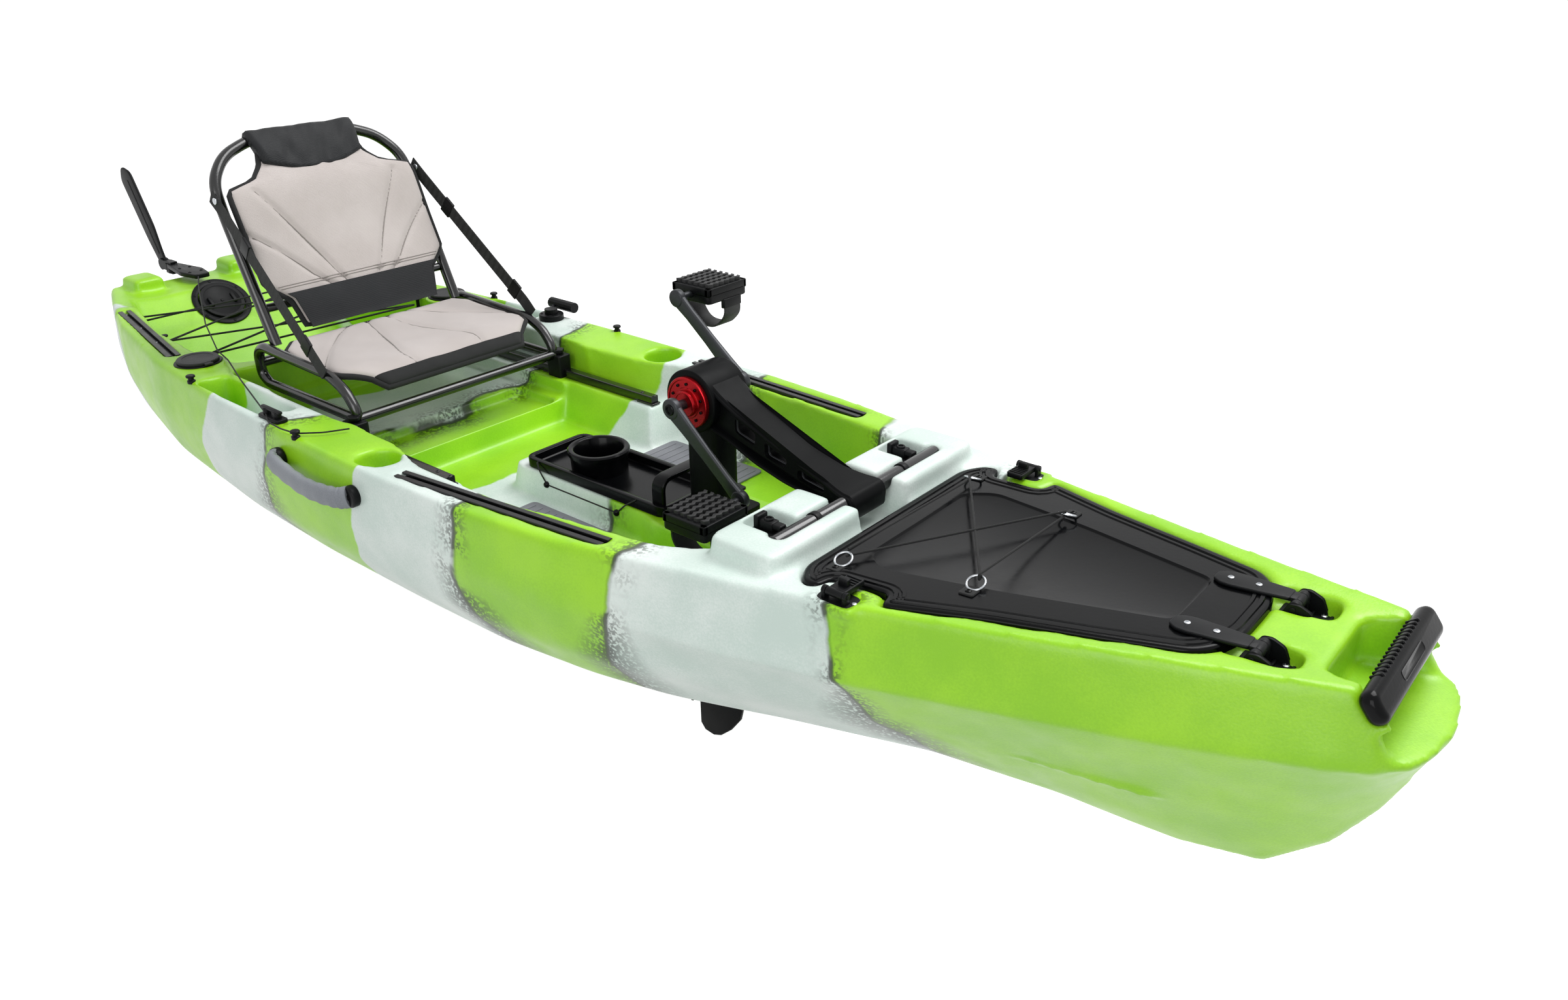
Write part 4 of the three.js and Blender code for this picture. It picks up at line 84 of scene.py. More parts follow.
HATCH_HINGE = (1.378, 0.412)
HATCH_TILT = math.radians(3.2)
HATCH_TOP = 0.4283
HATCH_RINGS = ((0.789, 0.186), (0.993, 0.14))
RING_RADIUS = 0.014
RING_LEAN = math.radians(24.0)
RING_LIFT = 0.0015
TRACK_ENDS = {
    "front": ((-0.058, 0.388, 0.374), (0.436, 0.345, 0.3802)),
    "rear": ((-1.408, 0.262, 0.3878), (-0.985, 0.344, 0.3839)),
}
LATCH = (0.845, 0.272)
ROD_HOLDER = (-0.896, 0.332)
STEERING = (-0.545, 0.382)
PLATE_TILT = math.radians(40.5)
PLATE_FACING = Vector((math.sin(PLATE_TILT), 0, math.cos(PLATE_TILT)))
PLATE_PLACE = Vector((-1.445, 0, 0.346))
BOW_GRIP = Matrix.Translation((1.532, 0, 0.429)) @ Matrix.Rotation(math.radians(52.0), 4, "Y")
TANK_HOOKS = {"aft": (-1.384, 0.2316), "middle": (-1.178, 0.268), "fore": (-0.972, 0.282)}


class Slot(Enum):
    """The record's material slots, which give the CAD nodes their finish."""

    LIME = "lime_plastic"
    TRACK = "track_black"
    BLACK = "black_plastic"
    GLOSS = "gloss_black_plastic"
    GREY_FOAM = "grey_foam"
    FOOT_FOAM = "foot_foam"
    TUBE = "black_tube"
    SATIN = "satin_dark_metal"
    FABRIC = "seat_fabric"
    WEBBING = "webbing"
    RED = "red_metal"
    STEEL = "steel"
    GREY_PLASTIC = "grey_plastic"
    CORD = "black_cord"


# Colour


def linear(code: int, alpha: float = 1.0) -> tuple[float, float, float, float]:
    """Turns a written colour into linear light.

    Args:
        code: The colour as 0xRRGGBB.
        alpha: Opacity.

    Returns:
        Red, green, blue and alpha.
    """
    channels = [((code >> shift) & 255) / 255 for shift in (16, 8, 0)]
    light = [c / 12.92 if c <= 0.04045 else ((c + 0.055) / 1.055) ** 2.4 for c in channels]
    return (light[0], light[1], light[2], alpha)


# Shader building


class Graph:
    """A small helper round a node tree."""

    def __init__(self, tree: bpy.types.NodeTree) -> None:
        """Keeps the tree that nodes are added to."""
        self.tree = tree

    def add(self, kind: str, **settings: object) -> bpy.types.Node:
        """Adds a node of this kind with its settings.

        Args:
            kind: The node's type.
            settings: Its own settings.

        Returns:
            The node.
        """
        node = self.tree.nodes.new(kind)
        for name, value in settings.items():
            setattr(node, name, value)
        return node

    def join(self, source: Socket, target: Socket) -> None:
        """Links two sockets."""
        self.tree.links.new(source, target)

    def feed(self, target: Socket, value: object) -> None:
        """Links a socket or sets a plain value on the target.

        Args:
            target: The input.
            value: A socket to link, or a plain value.
        """
        if isinstance(value, bpy.types.NodeSocket):
            self.join(value, target)
        else:
            target.default_value = value

    def math(self, operation: str, *values: object, clamp: bool = False) -> Socket:
        """Adds a Math node on these values and returns its result.

        Args:
            operation: The Math node's operation.
            values: Sockets or numbers for its inputs.
            clamp: Keeps the result within 0 and 1.

        Returns:
            The result.
        """
        node = self.add("ShaderNodeMath", operation=operation, use_clamp=clamp)
        for socket, value in zip(node.inputs, values):
            self.feed(socket, value)
        return node.outputs[0]

    def mix(self, share: object, a: object, b: object) -> Socket:
        """Mixes two colours.

        Args:
            share: Share of the second colour.
            a: The first colour.
            b: The second colour.

        Returns:
            The mixed colour.
        """
        node = self.add("ShaderNodeMix", data_type="RGBA")
        self.feed(node.inputs["Factor"], share)
        self.feed(node.inputs[6], a)
        self.feed(node.inputs[7], b)
        return node.outputs[2]

    def noise(self, vector: object, scale: object, detail: float = 2.0) -> Socket:
        """Adds a noise texture.

        Args:
            vector: Where it is read.
            scale: Its scale.
            detail: Its finer layers.

        Returns:
            The texture's value.
        """
        node = self.add("ShaderNodeTexNoise")
        self.feed(node.inputs["Vector"], vector)
        self.feed(node.inputs["Scale"], scale)
        node.inputs["Detail"].default_value = detail
        return node.outputs[0]

    def spread(self, value: object, low: float, high: float, start: float, end: float) -> Socket:
        """Maps a value from one range to another, clamped.

        Args:
            value: The value to map.
            low: Where its range starts.
            high: Where its range ends.
            start: What the low end becomes.
            end: What the high end becomes.

        Returns:
            The mapped value.
        """
        node = self.add("ShaderNodeMapRange", interpolation_type="SMOOTHSTEP")
        for socket, item in zip(node.inputs, (value, low, high, start, end)):
            self.feed(socket, item)
        return node.outputs[0]


def node_group(name: str, ins: dict[str, str], outs: dict[str, str]) -> tuple[Graph, dict, dict]:
    """Starts a shader node group with named sockets.

    Args:
        name: The group's name.
        ins: Input names and their socket kinds.
        outs: Output names and their socket kinds.

    Returns:
        The graph, its input sockets and its output sockets.
    """
    tree = bpy.data.node_groups.new(name, "ShaderNodeTree")
    for label, kind in ins.items():
        tree.interface.new_socket(label, in_out="INPUT", socket_type=f"NodeSocket{kind}")
    for label, kind in outs.items():
        tree.interface.new_socket(label, in_out="OUTPUT", socket_type=f"NodeSocket{kind}")
    graph = Graph(tree)
    source = graph.add("NodeGroupInput").outputs
    target = graph.add("NodeGroupOutput").inputs
    return graph, {label: source[label] for label in ins}, {label: target[label] for label in outs}


def grain_group() -> bpy.types.NodeTree:
    """Moulded grain: mottled colour, uneven gloss and a fine bumpy height.

    Returns:
        The group's tree.
    """
    graph, given, out = node_group(
        "moulded_grain",
        {"Vector": "Vector", "Light": "Color", "Dark": "Color", "Scale": "Float", "Rough": "Float"},
        {"Color": "Color", "Roughness": "Float", "Height": "Float"},
    )
    broad = graph.noise(given["Vector"], 7.0, 3.0)
    fine = graph.noise(given["Vector"], given["Scale"], 3.0)
    smudge = graph.noise(given["Vector"], 26.0, 4.0)
    shade = graph.math("ADD", graph.math("MULTIPLY", broad, 0.7), graph.math("MULTIPLY", fine, 0.3))
    mixed = graph.mix(graph.spread(shade, 0.34, 0.66, 0.0, 1.0), given["Dark"], given["Light"])
    graph.join(mixed, out["Color"])
    uneven = graph.math("MULTIPLY", graph.math("SUBTRACT", smudge, 0.5), 0.22)
    graph.join(graph.math("ADD", given["Rough"], uneven, clamp=True), out["Roughness"])
    graph.join(fine, out["Height"])
    return graph.tree


def weave_group() -> bpy.types.NodeTree:
    """Plain weave: two sets of threads that pass over and under each other.

    Returns:
        The group's tree.
    """
    graph, given, out = node_group(
        "plain_weave",
        {"Vector": "Vector", "Light": "Color", "Dark": "Color", "Scale": "Float"},
        {"Color": "Color", "Height": "Float"},
    )
    sets = []
    for direction in ("X", "Y"):
        wave = graph.add("ShaderNodeTexWave", bands_direction=direction)
        graph.join(given["Vector"], wave.inputs["Vector"])
        graph.join(given["Scale"], wave.inputs["Scale"])
        wave.inputs["Distortion"].default_value = 0.4
        sets.append(wave.outputs["Fac"])
    height = graph.math("MULTIPLY", sets[0], sets[1])
    cloud = graph.noise(given["Vector"], 9.0, 4.0)
    share = graph.math("ADD", graph.math("MULTIPLY", height, 0.45), graph.math("MULTIPLY", cloud, 0.55))
    mixed = graph.mix(graph.spread(share, 0.2, 0.75, 0.0, 1.0), given["Dark"], given["Light"])
    graph.join(mixed, out["Color"])
    graph.join(height, out["Height"])
    return graph.tree


def edge_group() -> bpy.types.NodeTree:
    """One edge between two colours of plastic: which side of it, and its dark speckled line.

    Returns:
        The group's tree.
    """
    graph, given, out = node_group(
        "colour_edge",
        {"Vector": "Vector", "Place": "Float", "Lean": "Float", "Seed": "Float", "Dark": "Float"},
        {"Past": "Float", "Line": "Float"},
    )
    parts = graph.add("ShaderNodeSeparateXYZ")
    graph.join(given["Vector"], parts.inputs[0])
    shifted = graph.add("ShaderNodeVectorMath", operation="ADD")
    graph.join(given["Vector"], shifted.inputs[0])
    graph.join(given["Seed"], shifted.inputs[1])
    wander = graph.math("SUBTRACT", graph.noise(shifted.outputs[0], 4.2, 1.0), 0.5)
    ripple = graph.math("SUBTRACT", graph.noise(shifted.outputs[0], 38.0, 4.0), 0.5)
    edge = graph.math("ADD", given["Place"], graph.math("MULTIPLY", wander, 0.16))
    edge = graph.math("ADD", edge, graph.math("MULTIPLY", ripple, 0.012))
    above = graph.math("SUBTRACT", parts.outputs["Z"], 0.3)
    edge = graph.math("ADD", edge, graph.math("MULTIPLY", above, given["Lean"]))
    offset = graph.math("SUBTRACT", parts.outputs["X"], edge)
    graph.join(graph.spread(offset, -0.004, 0.004, 0.0, 1.0), out["Past"])
    low = graph.spread(parts.outputs["Z"], 0.14, 0.29, 1.0, 0.0)
    dust = graph.math("ADD", graph.noise(given["Vector"], 150.0, 6.0), graph.math("MULTIPLY", low, 0.1))
    speckle = graph.spread(dust, 0.44, 0.58, 0.0, 1.0)
    cloud = graph.math("ADD", graph.noise(given["Vector"], 11.0, 3.0), graph.math("MULTIPLY", low, 0.22))
    smear = graph.spread(cloud, 0.38, 0.6, 0.0, 1.0)
    apart = graph.math("ABSOLUTE", offset)
    near = graph.spread(apart, 0.002, 0.009, 1.0, 0.0)
    reach = graph.math("ADD", 0.05, graph.math("MULTIPLY", low, 0.045))
    wide = graph.math("SUBTRACT", 1.0, graph.math("DIVIDE", apart, reach), clamp=True)
    speckled = graph.math("MULTIPLY", graph.math("MULTIPLY", wide, speckle), smear)
    thin = graph.math("MULTIPLY", near, graph.spread(smear, 0.0, 0.5, 0.35, 1.0))
    line = graph.math("MAXIMUM", thin, speckled)
    graph.join(graph.math("MULTIPLY", line, given["Dark"]), out["Line"])
    return graph.tree


GROUP_MAKERS: dict[str, Callable[[], bpy.types.NodeTree]] = {
    "moulded_grain": grain_group,
    "plain_weave": weave_group,
    "colour_edge": edge_group,
}


def placed_group(graph: Graph, name: str, **values: object) -> bpy.types.Node:
    """Places a shared node group, made on its first use, and feeds its inputs.

    Args:
        graph: The material's graph.
        name: A key of GROUP_MAKERS.
        values: What its inputs are fed.

    Returns:
        The group's node.
    """
    tree = bpy.data.node_groups.get(name) or GROUP_MAKERS[name]()
    node = graph.add("ShaderNodeGroup", node_tree=tree)
    for label, value in values.items():
        graph.feed(node.inputs[label], value)
    return node


def fresh_material(name: str) -> tuple[bpy.types.Material, Graph, bpy.types.Node, Socket]:
    """Makes a material with a Principled shader and the object's own coordinates.

    Args:
        name: The material's name.

    Returns:
        The material, its graph, the shader node and the coordinate socket.
    """
    material = bpy.data.materials.new(name)
    material.use_nodes = True
    graph = Graph(material.node_tree)
    shader = next(n for n in material.node_tree.nodes if n.type == "BSDF_PRINCIPLED")
    place = graph.add("ShaderNodeTexCoord").outputs["Object"]
    return material, graph, shader, place


def bumped(graph: Graph, shader: bpy.types.Node, height: Socket, depth: float) -> None:
    """Feeds a height into the shader's normal.

    Args:
        graph: The material's graph.
        shader: The shader node.
        height: The height, 0 to 1.
        depth: What a height of 1 stands for, in metres.
    """
    bump = graph.add("ShaderNodeBump")
    bump.inputs["Distance"].default_value = depth
    bump.inputs["Strength"].default_value = 1.0
    graph.join(height, bump.inputs["Height"])
    graph.join(bump.outputs[0], shader.inputs["Normal"])


@dataclass(frozen=True)
class Moulded:
    """A hard finish: plastic, paint or metal with grain, mottling and uneven gloss."""

    name: str
    light: int
    dark: int
    rough: float
    metal: float = 0.0
    scale: float = 420.0
    depth: float = 0.00012
    coat: float = 0.0
    shine: float = 0.5

    def make(self) -> bpy.types.Material:
        """Builds the material.

        Returns:
            The material.
        """
        material, graph, shader, place = fresh_material(self.name)
        grain = placed_group(
            graph,
            "moulded_grain",
            Vector=place,
            Light=linear(self.light),
            Dark=linear(self.dark),
            Scale=self.scale,
            Rough=self.rough,
        )
        graph.join(grain.outputs["Color"], shader.inputs["Base Color"])
        graph.join(grain.outputs["Roughness"], shader.inputs["Roughness"])
        shader.inputs["Metallic"].default_value = self.metal
        shader.inputs["Specular IOR Level"].default_value = self.shine
        shader.inputs["Coat Weight"].default_value = self.coat
        shader.inputs["Coat Roughness"].default_value = 0.12
        bumped(graph, shader, grain.outputs["Height"], self.depth)
        return material


@dataclass(frozen=True)
class Woven:
    """A cloth finish; turn lays the weave's plane on the piece, in degrees about Y."""

    name: str
    light: int
    dark: int
    scale: float = 260.0
    depth: float = 0.0004
    turn: float = 0.0
    sheen: float = 0.3
    rough: float = 0.86
    shine: float = 0.5

    def make(self) -> bpy.types.Material:
        """Builds the material.

        Returns:
            The material.
        """
        material, graph, shader, place = fresh_material(self.name)
        laid = graph.add("ShaderNodeMapping")
        laid.inputs["Rotation"].default_value = (0.0, math.radians(self.turn), 0.0)
        graph.join(place, laid.inputs["Vector"])
        weave = placed_group(
            graph,
            "plain_weave",
            Vector=laid.outputs[0],
            Light=linear(self.light),
            Dark=linear(self.dark),
            Scale=self.scale,
        )
        graph.join(weave.outputs["Color"], shader.inputs["Base Color"])
        shader.inputs["Roughness"].default_value = self.rough
        shader.inputs["Specular IOR Level"].default_value = self.shine
        shader.inputs["Sheen Weight"].default_value = self.sheen
        bumped(graph, shader, weave.outputs["Height"], self.depth)
        return material


@dataclass(frozen=True)
class BandEdge:
    """Where one colour of the hull gives way to the next."""

    place: float
    lean: float
    dark: float


@dataclass(frozen=True)
class HullPlastic:
    """Rotomoulded plastic in two colours, poured in bands that meet in speckled black lines."""

    name: str = "hull_plastic"
    bands: tuple[tuple[BandEdge, BandEdge], ...] = (
        (BandEdge(-1.52, -0.9, 0.0), BandEdge(-1.33, -1.25, 0.25)),
        (BandEdge(-0.73, 0.25, 0.0), BandEdge(-0.47, 0.3, 1.0)),
        (BandEdge(-0.15, 0.45, 0.0), BandEdge(0.14, -0.25, 1.0)),
        (BandEdge(0.49, 0.1, 1.0), BandEdge(0.87, -0.3, 1.0)),
    )

    def stern_wander(self, graph: Graph, place: Socket) -> Socket:
        """How far the stern's white strays from its straight inner border."""
        return graph.math("MULTIPLY", graph.math("SUBTRACT", graph.noise(place, 6.0, 2.0), 0.5), 0.09)

    def make(self) -> bpy.types.Material:
        """Builds the material.

        Returns:
            The material.
        """
        material, graph, shader, place = fresh_material(self.name)
        pale: object = 0.0
        line: object = 0.0
        parts = graph.add("ShaderNodeSeparateXYZ")
        graph.join(place, parts.inputs[0])
        across = graph.math("ABSOLUTE", parts.outputs["Y"])
        strayed = graph.math("ADD", across, self.stern_wander(graph, place))
        outer = graph.spread(strayed, 0.236, 0.25, 0.0, 1.0)
        for number, (start, end) in enumerate(self.bands):
            past, lines = [], []
            for edge in (start, end):
                node = placed_group(
                    graph,
                    "colour_edge",
                    Vector=place,
                    Place=edge.place,
                    Lean=edge.lean,
                    Seed=3.7 * number + 1.9 * edge.place,
                    Dark=edge.dark,
                )
                past.append(node.outputs["Past"])
                lines.append(node.outputs["Line"])
            band = graph.math("SUBTRACT", past[0], past[1], clamp=True)
            if number == 0:
                band = graph.math("MULTIPLY", band, outer)
            pale = graph.math("MAXIMUM", pale, band)
            line = graph.math("MAXIMUM", line, graph.math("MAXIMUM", lines[0], lines[1]))
        green = placed_group(
            graph,
            "moulded_grain",
            Vector=place,
            Light=linear(0x9FDB22),
            Dark=linear(0x8CCB1B),
            Scale=300.0,
            Rough=0.36,
        )
        white = placed_group(
            graph,
            "moulded_grain",
            Vector=place,
            Light=linear(0xE4EEE9),
            Dark=linear(0xCBDCD4),
            Scale=300.0,
            Rough=0.36,
        )
        colour = graph.mix(pale, green.outputs["Color"], white.outputs["Color"])
        colour = graph.mix(graph.math("MULTIPLY", line, 0.9), colour, linear(0x14180F))
        graph.join(colour, shader.inputs["Base Color"])
        graph.join(green.outputs["Roughness"], shader.inputs["Roughness"])
        bumped(graph, shader, green.outputs["Height"], 0.00025)
        return material


FINISHES = {
    "hull": HullPlastic(),
    "black": Moulded("black_plastic", 0x101113, 0x0A0B0C, 0.42, scale=700.0, shine=0.14),
    "satin": Moulded("satin_black_cover", 0x0B0C0D, 0x070809, 0.42, scale=520.0, shine=0.06),
    "gloss": Moulded("gloss_black_moulding", 0x07080A, 0x040405, 0.2, scale=160.0, depth=0.0001, shine=0.12),
    "tube": Moulded("painted_black_tube", 0x08090A, 0x050506, 0.22, coat=0.3, scale=220.0),
    "track": Moulded("anodised_black_track", 0x0F1012, 0x08090A, 0.34, metal=0.3),
    "crank": Moulded("forged_dark_crank", 0x303236, 0x222427, 0.4, metal=0.5, scale=600.0),
    "red": Moulded("anodised_red", 0xB3101B, 0x8A0C15, 0.24, metal=0.8, scale=900.0, depth=0.00003),
    "steel": Moulded("brushed_steel", 0xC9CCD0, 0xA4A8AC, 0.26, metal=1.0, scale=800.0, depth=0.00003),
    "rubber": Moulded("tread_rubber", 0x101113, 0x0A0B0B, 0.6, scale=900.0, depth=0.0003),
    "grip": Moulded("grey_grip", 0x8C9096, 0x777B82, 0.62, scale=500.0, depth=0.0003),
    "foam": Moulded("foot_mat_foam", 0x85868C, 0x707178, 0.85, scale=900.0, depth=0.0005),
    "screw": Moulded("prop_grey", 0x4A4D51, 0x3B3E42, 0.5, scale=500.0),
    "pan_cloth": Woven("grey_seat_cloth", 0xD6CECB, 0xBEB5B1),
    "back_cloth": Woven("grey_back_cloth", 0xD6CECB, 0xBEB5B1, turn=66.0),
    "thread": Woven("pale_thread", 0xA8A19C, 0x8F8883, scale=500.0),
    "sleeve": Woven("black_sleeve", 0x15181C, 0x0C0E11, scale=240.0, sheen=0.06, rough=0.5, shine=0.3),
    "piping": Woven("black_piping", 0x141517, 0x0B0C0D, scale=420.0, sheen=0.04),
    "webbing": Woven("black_webbing", 0x141516, 0x0A0B0B, scale=330.0, sheen=0.05),
    "cord": Woven("black_cord_sheath", 0x131414, 0x090A0A, scale=600.0, sheen=0.05),
}
_made: dict[str, bpy.types.Material] = {}


def finish(name: str) -> bpy.types.Material:
    """Gives a finish's material, made once.

    Args:
        name: A key of FINISHES.

    Returns:
        The material.
    """
    if name not in _made:
        _made[name] = FINISHES[name].make()
    return _made[name]


# Mesh building


def rounded_route(points: Sequence[Point], bend: float, chords: int = 6) -> list[Vector]:
    """Rounds the corners of a path of straight runs.

    Args:
        points: The path's corners.
        bend: How far a bend reaches along its runs.
        chords: Steps in each bend.

    Returns:
        The places along the rounded path.
    """
    corners = [Vector(p) for p in points]
    places = [corners[0]]
    for before, corner, after in zip(corners, corners[1:], corners[2:]):
        back, ahead = before - corner, after - corner
        reach = min(bend, back.length * 0.45, ahead.length * 0.45)
        enter = corner + back.normalized() * reach
        leave = corner + ahead.normalized() * reach
        for step in range(chords + 1):
            t = step / chords
            places.append(enter.lerp(corner, t).lerp(corner.lerp(leave, t), t))
    places.append(corners[-1])
    return [p for i, p in enumerate(places) if i == 0 or (p - places[i - 1]).length > 1e-5]


def smooth_route(points: Sequence[Point], steps: int = 8) -> list[Vector]:
    """Runs a smooth curve through every point.

    Args:
        points: The points.
        steps: Steps between two of them.

    Returns:
        The places along the curve.
    """
    p = [Vector(q) for q in points]
    p = [2 * p[0] - p[1], *p, 2 * p[-1] - p[-2]]
    places: list[Vector] = []
    for i in range(1, len(p) - 2):
        a, b, c, d = p[i - 1 : i + 3]
        for step in range(steps):
            t = step / steps
            places.append(
                0.5
                * (2 * b + (c - a) * t + (2 * a - 5 * b + 4 * c - d) * t**2 + (3 * b - a - 3 * c + d) * t**3)
            )
    places.append(p[-2])
    return places


def skin_grid(bm: BMesh, rows: Rows, flip: bool = False) -> None:
    """Fills the faces between rows of corners of equal count.

    Args:
        bm: The mesh that holds the corners.
        rows: The corners, row by row.
        flip: Turns the faces over.
    """
    for low, high in zip(rows, rows[1:]):
        for a, b, c, d in zip(low, low[1:], high[1:], high):
            bm.faces.new((d, c, b, a) if flip else (a, b, c, d))


def rim_loop(rows: Rows) -> list[BMVert]:
    """Walks the border of a grid of corners.

    Args:
        rows: The corners, row by row.

    Returns:
        The border's corners, once round.
    """
    loop = list(rows[0])
    loop += [row[-1] for row in rows[1:]]
    loop += list(rows[-1][-2::-1])
    loop += [row[0] for row in rows[-2:0:-1]]
    return loop


def join_rims(bm: BMesh, top: Rows, under: Rows) -> None:
    """Closes the gap between the borders of two grids.

    Args:
        bm: The mesh that holds them.
        top: One grid.
        under: The other.
    """
    above, below = rim_loop(top), rim_loop(under)
    for i, corner in enumerate(above):
        j = (i + 1) % len(above)
        bm.faces.new((corner, below[i], below[j], above[j]))


def cushion(
    bm: BMesh,
    rows: int,
    columns: int,
    layers: Sequence[float],
    at: Callable[[float, float, float], Point],
    flip: bool = False,
) -> None:
    """Adds a closed sheet with two skins.

    Args:
        bm: The mesh that takes it.
        rows: Faces along it.
        columns: Faces across it.
        layers: The value that stands for each skin.
        at: A place from a share across, -1 to 1, a share along, 0 to 1, and a layer.
        flip: Turns the second skin's faces over.
    """
    sheets = []
    for layer in layers:
        shares = [[(2 * i / columns - 1, j / rows) for i in range(columns + 1)] for j in range(rows + 1)]
        sheets.append([[bm.verts.new(at(u, v, layer)) for u, v in row] for row in shares])
    skin_grid(bm, sheets[0])
    skin_grid(bm, sheets[1], flip)
    join_rims(bm, *sheets)


def even_profile(profile: Sequence[Point], steps: int, rows: int) -> tuple[np.ndarray, np.ndarray]:
    """Samples a smooth profile in X and Z evenly.

    Args:
        profile: Places in X and Z that it passes.
        steps: Steps between two of them before the even sampling.
        rows: Stretches of the even sampling.

    Returns:
        The places, and the unit normals to the profile's left.
    """
    line = np.array([(p.x, p.z) for p in smooth_route([(x, 0, z) for x, z in profile], steps)])
    run = np.concatenate([[0], np.cumsum(np.linalg.norm(np.diff(line, axis=0), axis=1))])
    even = np.linspace(0, run[-1], rows + 1)
    line = np.stack([np.interp(even, run, line[:, 0]), np.interp(even, run, line[:, 1])], axis=1)
    along = np.gradient(line, axis=0)
    along /= np.linalg.norm(along, axis=1)[:, None]
    return line, np.stack([-along[:, 1], along[:, 0]], axis=1)


def between(rows: np.ndarray, at: float) -> np.ndarray:
    """The value at a place between two rows."""
    low = min(int(at), len(rows) - 2)
    return rows[low] * (1 - at + low) + rows[low + 1] * (at - low)


def swollen(inset: float, reach: float) -> float:
    """The share, 0 to 1, that a cushion has swollen to at an inset from its border."""
    return math.sqrt(max(0.0, 1 - (1 - min(inset / reach, 1)) ** 2))


def ring_mesh(bm: BMesh, rings: Sequence[Sequence[Vector]], closed: bool = False) -> None:
    """Skins rings of equal count into a closed mesh.

    Args:
        bm: The mesh that takes it.
        rings: The rings.
        closed: Joins the last ring to the first, where both ends are capped otherwise.
    """
    rows = [[bm.verts.new(p) for p in ring] for ring in rings]
    count = len(rows[0])
    pairs = list(zip(rows, rows[1:] + (rows[:1] if closed else [])))
    for low, high in pairs:
        for i in range(count):
            j = (i + 1) % count
            bm.faces.new((low[i], low[j], high[j], high[i]))
    if not closed:
        bm.faces.new(rows[0][::-1])
        bm.faces.new(rows[-1])


def sweep(
    bm: BMesh, places: Sequence[Point], section: Pairs, up: Point = (0, 0, 1)
) -> None:
    """Sweeps a section along places without a twist.

    Args:
        bm: The mesh that takes it.
        places: The path.
        section: [across, up] pairs.
        up: Where the section's up points at the start.
    """
    path = [Vector(p) for p in places]
    normal: Optional[Vector] = None
    rings = []
    for i, place in enumerate(path):
        before, after = path[max(i - 1, 0)], path[min(i + 1, len(path) - 1)]
        along = (after - before).normalized()
        if normal is None:
            start = Vector(up)
            if abs(along.dot(start)) > 0.95:
                start = Vector((1, 0, 0))
            normal = start
        normal = (normal - along * normal.dot(along)).normalized()
        across = normal.cross(along)
        rings.append([place + across * a + normal * b for a, b in section])
    ring_mesh(bm, rings)


def circle(radius: float, sides: int) -> Outline:
    """The points of a round section."""
    turns = [2 * math.pi * i / sides for i in range(sides)]
    return [(radius * math.cos(t), radius * math.sin(t)) for t in turns]


def tube(bm: BMesh, places: Sequence[Point], radius: float, sides: int = 20) -> None:
    """Adds a round tube along places."""
    sweep(bm, places, circle(radius, sides))


def soft_rod(start: float, end: float, radius: float, edge: float, steps: int = 3) -> Outline:
    """A profile for turned(): a cylinder with rounded rims.

    Args:
        start: Where it starts along the axis, in metres.
        end: Where it ends.
        radius: Its radius.
        edge: Radius of the rims.
        steps: Chords in each rim.

    Returns:
        [metres along the axis, radius] pairs.
    """
    arc = [math.pi / 2 * i / steps for i in range(steps + 1)]
    low = [(start + edge * (1 - math.cos(t)), radius - edge * (1 - math.sin(t))) for t in arc]
    high = [(end - edge * (1 - math.cos(t)), radius - edge * (1 - math.sin(t))) for t in reversed(arc)]
    return low + high


def turned(
    bm: BMesh,
    origin: Point,
    axis: Point,
    profile: Pairs,
    sides: int = 48,
    closed: bool = False,
) -> None:
    """Turns a profile about an axis.

    Args:
        bm: The mesh that takes it.
        origin: Where the axis starts.
        axis: Where it points.
        profile: [metres along the axis, radius] pairs.
        sides: Sides of the round shape.
        closed: Joins the profile's end to its start.
    """
    base, along = Vector(origin), Vector(axis).normalized()
    turn = along.to_track_quat("Z", "Y")
    rings = []
    for place, radius in profile:
        centre = base + along * place
        rings.append([centre + turn @ Vector((x, y, 0)) for x, y in circle(max(radius, 1e-5), sides)])
    ring_mesh(bm, rings, closed)


def rounded_outline(points: Pairs, radius: float, chords: int = 5) -> Outline:
    """Rounds each corner of a closed outline.

    Args:
        points: The corners.
        radius: How far an arc reaches along its sides.
        chords: Chords in each arc.

    Returns:
        The rounded outline.
    """
    flat = [Vector((x, y, 0.0)) for x, y in points]
    out = []
    for i, corner in enumerate(flat):
        back, ahead = flat[i - 1] - corner, flat[(i + 1) % len(flat)] - corner
        reach = min(radius, back.length * 0.47, ahead.length * 0.47)
        enter, leave = corner + back.normalized() * reach, corner + ahead.normalized() * reach
        for step in range(chords + 1):
            t = step / chords
            p = enter.lerp(corner, t).lerp(corner.lerp(leave, t), t)
            out.append((p.x, p.y))
    return out


def inset_outline(points: Pairs, distance: float) -> Outline:
    """Moves each side of an outline inwards.

    Args:
        points: The outline, anticlockwise.
        distance: How far the sides move.

    Returns:
        The smaller outline.
    """
    out = []
    for i, (x, y) in enumerate(points):
        px, py = points[i - 1]
        nx, ny = points[(i + 1) % len(points)]
        a = Vector((x - px, y - py)).normalized() if (x, y) != (px, py) else Vector((1, 0))
        b = Vector((nx - x, ny - y)).normalized() if (x, y) != (nx, ny) else a
        left = Vector((-a.y, a.x)) + Vector((-b.y, b.x))
        left = left.normalized() if left.length > 1e-9 else Vector((-a.y, a.x))
        reach = distance / max(left.dot(Vector((-a.y, a.x))), 0.5)
        out.append((x + left.x * reach, y + left.y * reach))
    return out


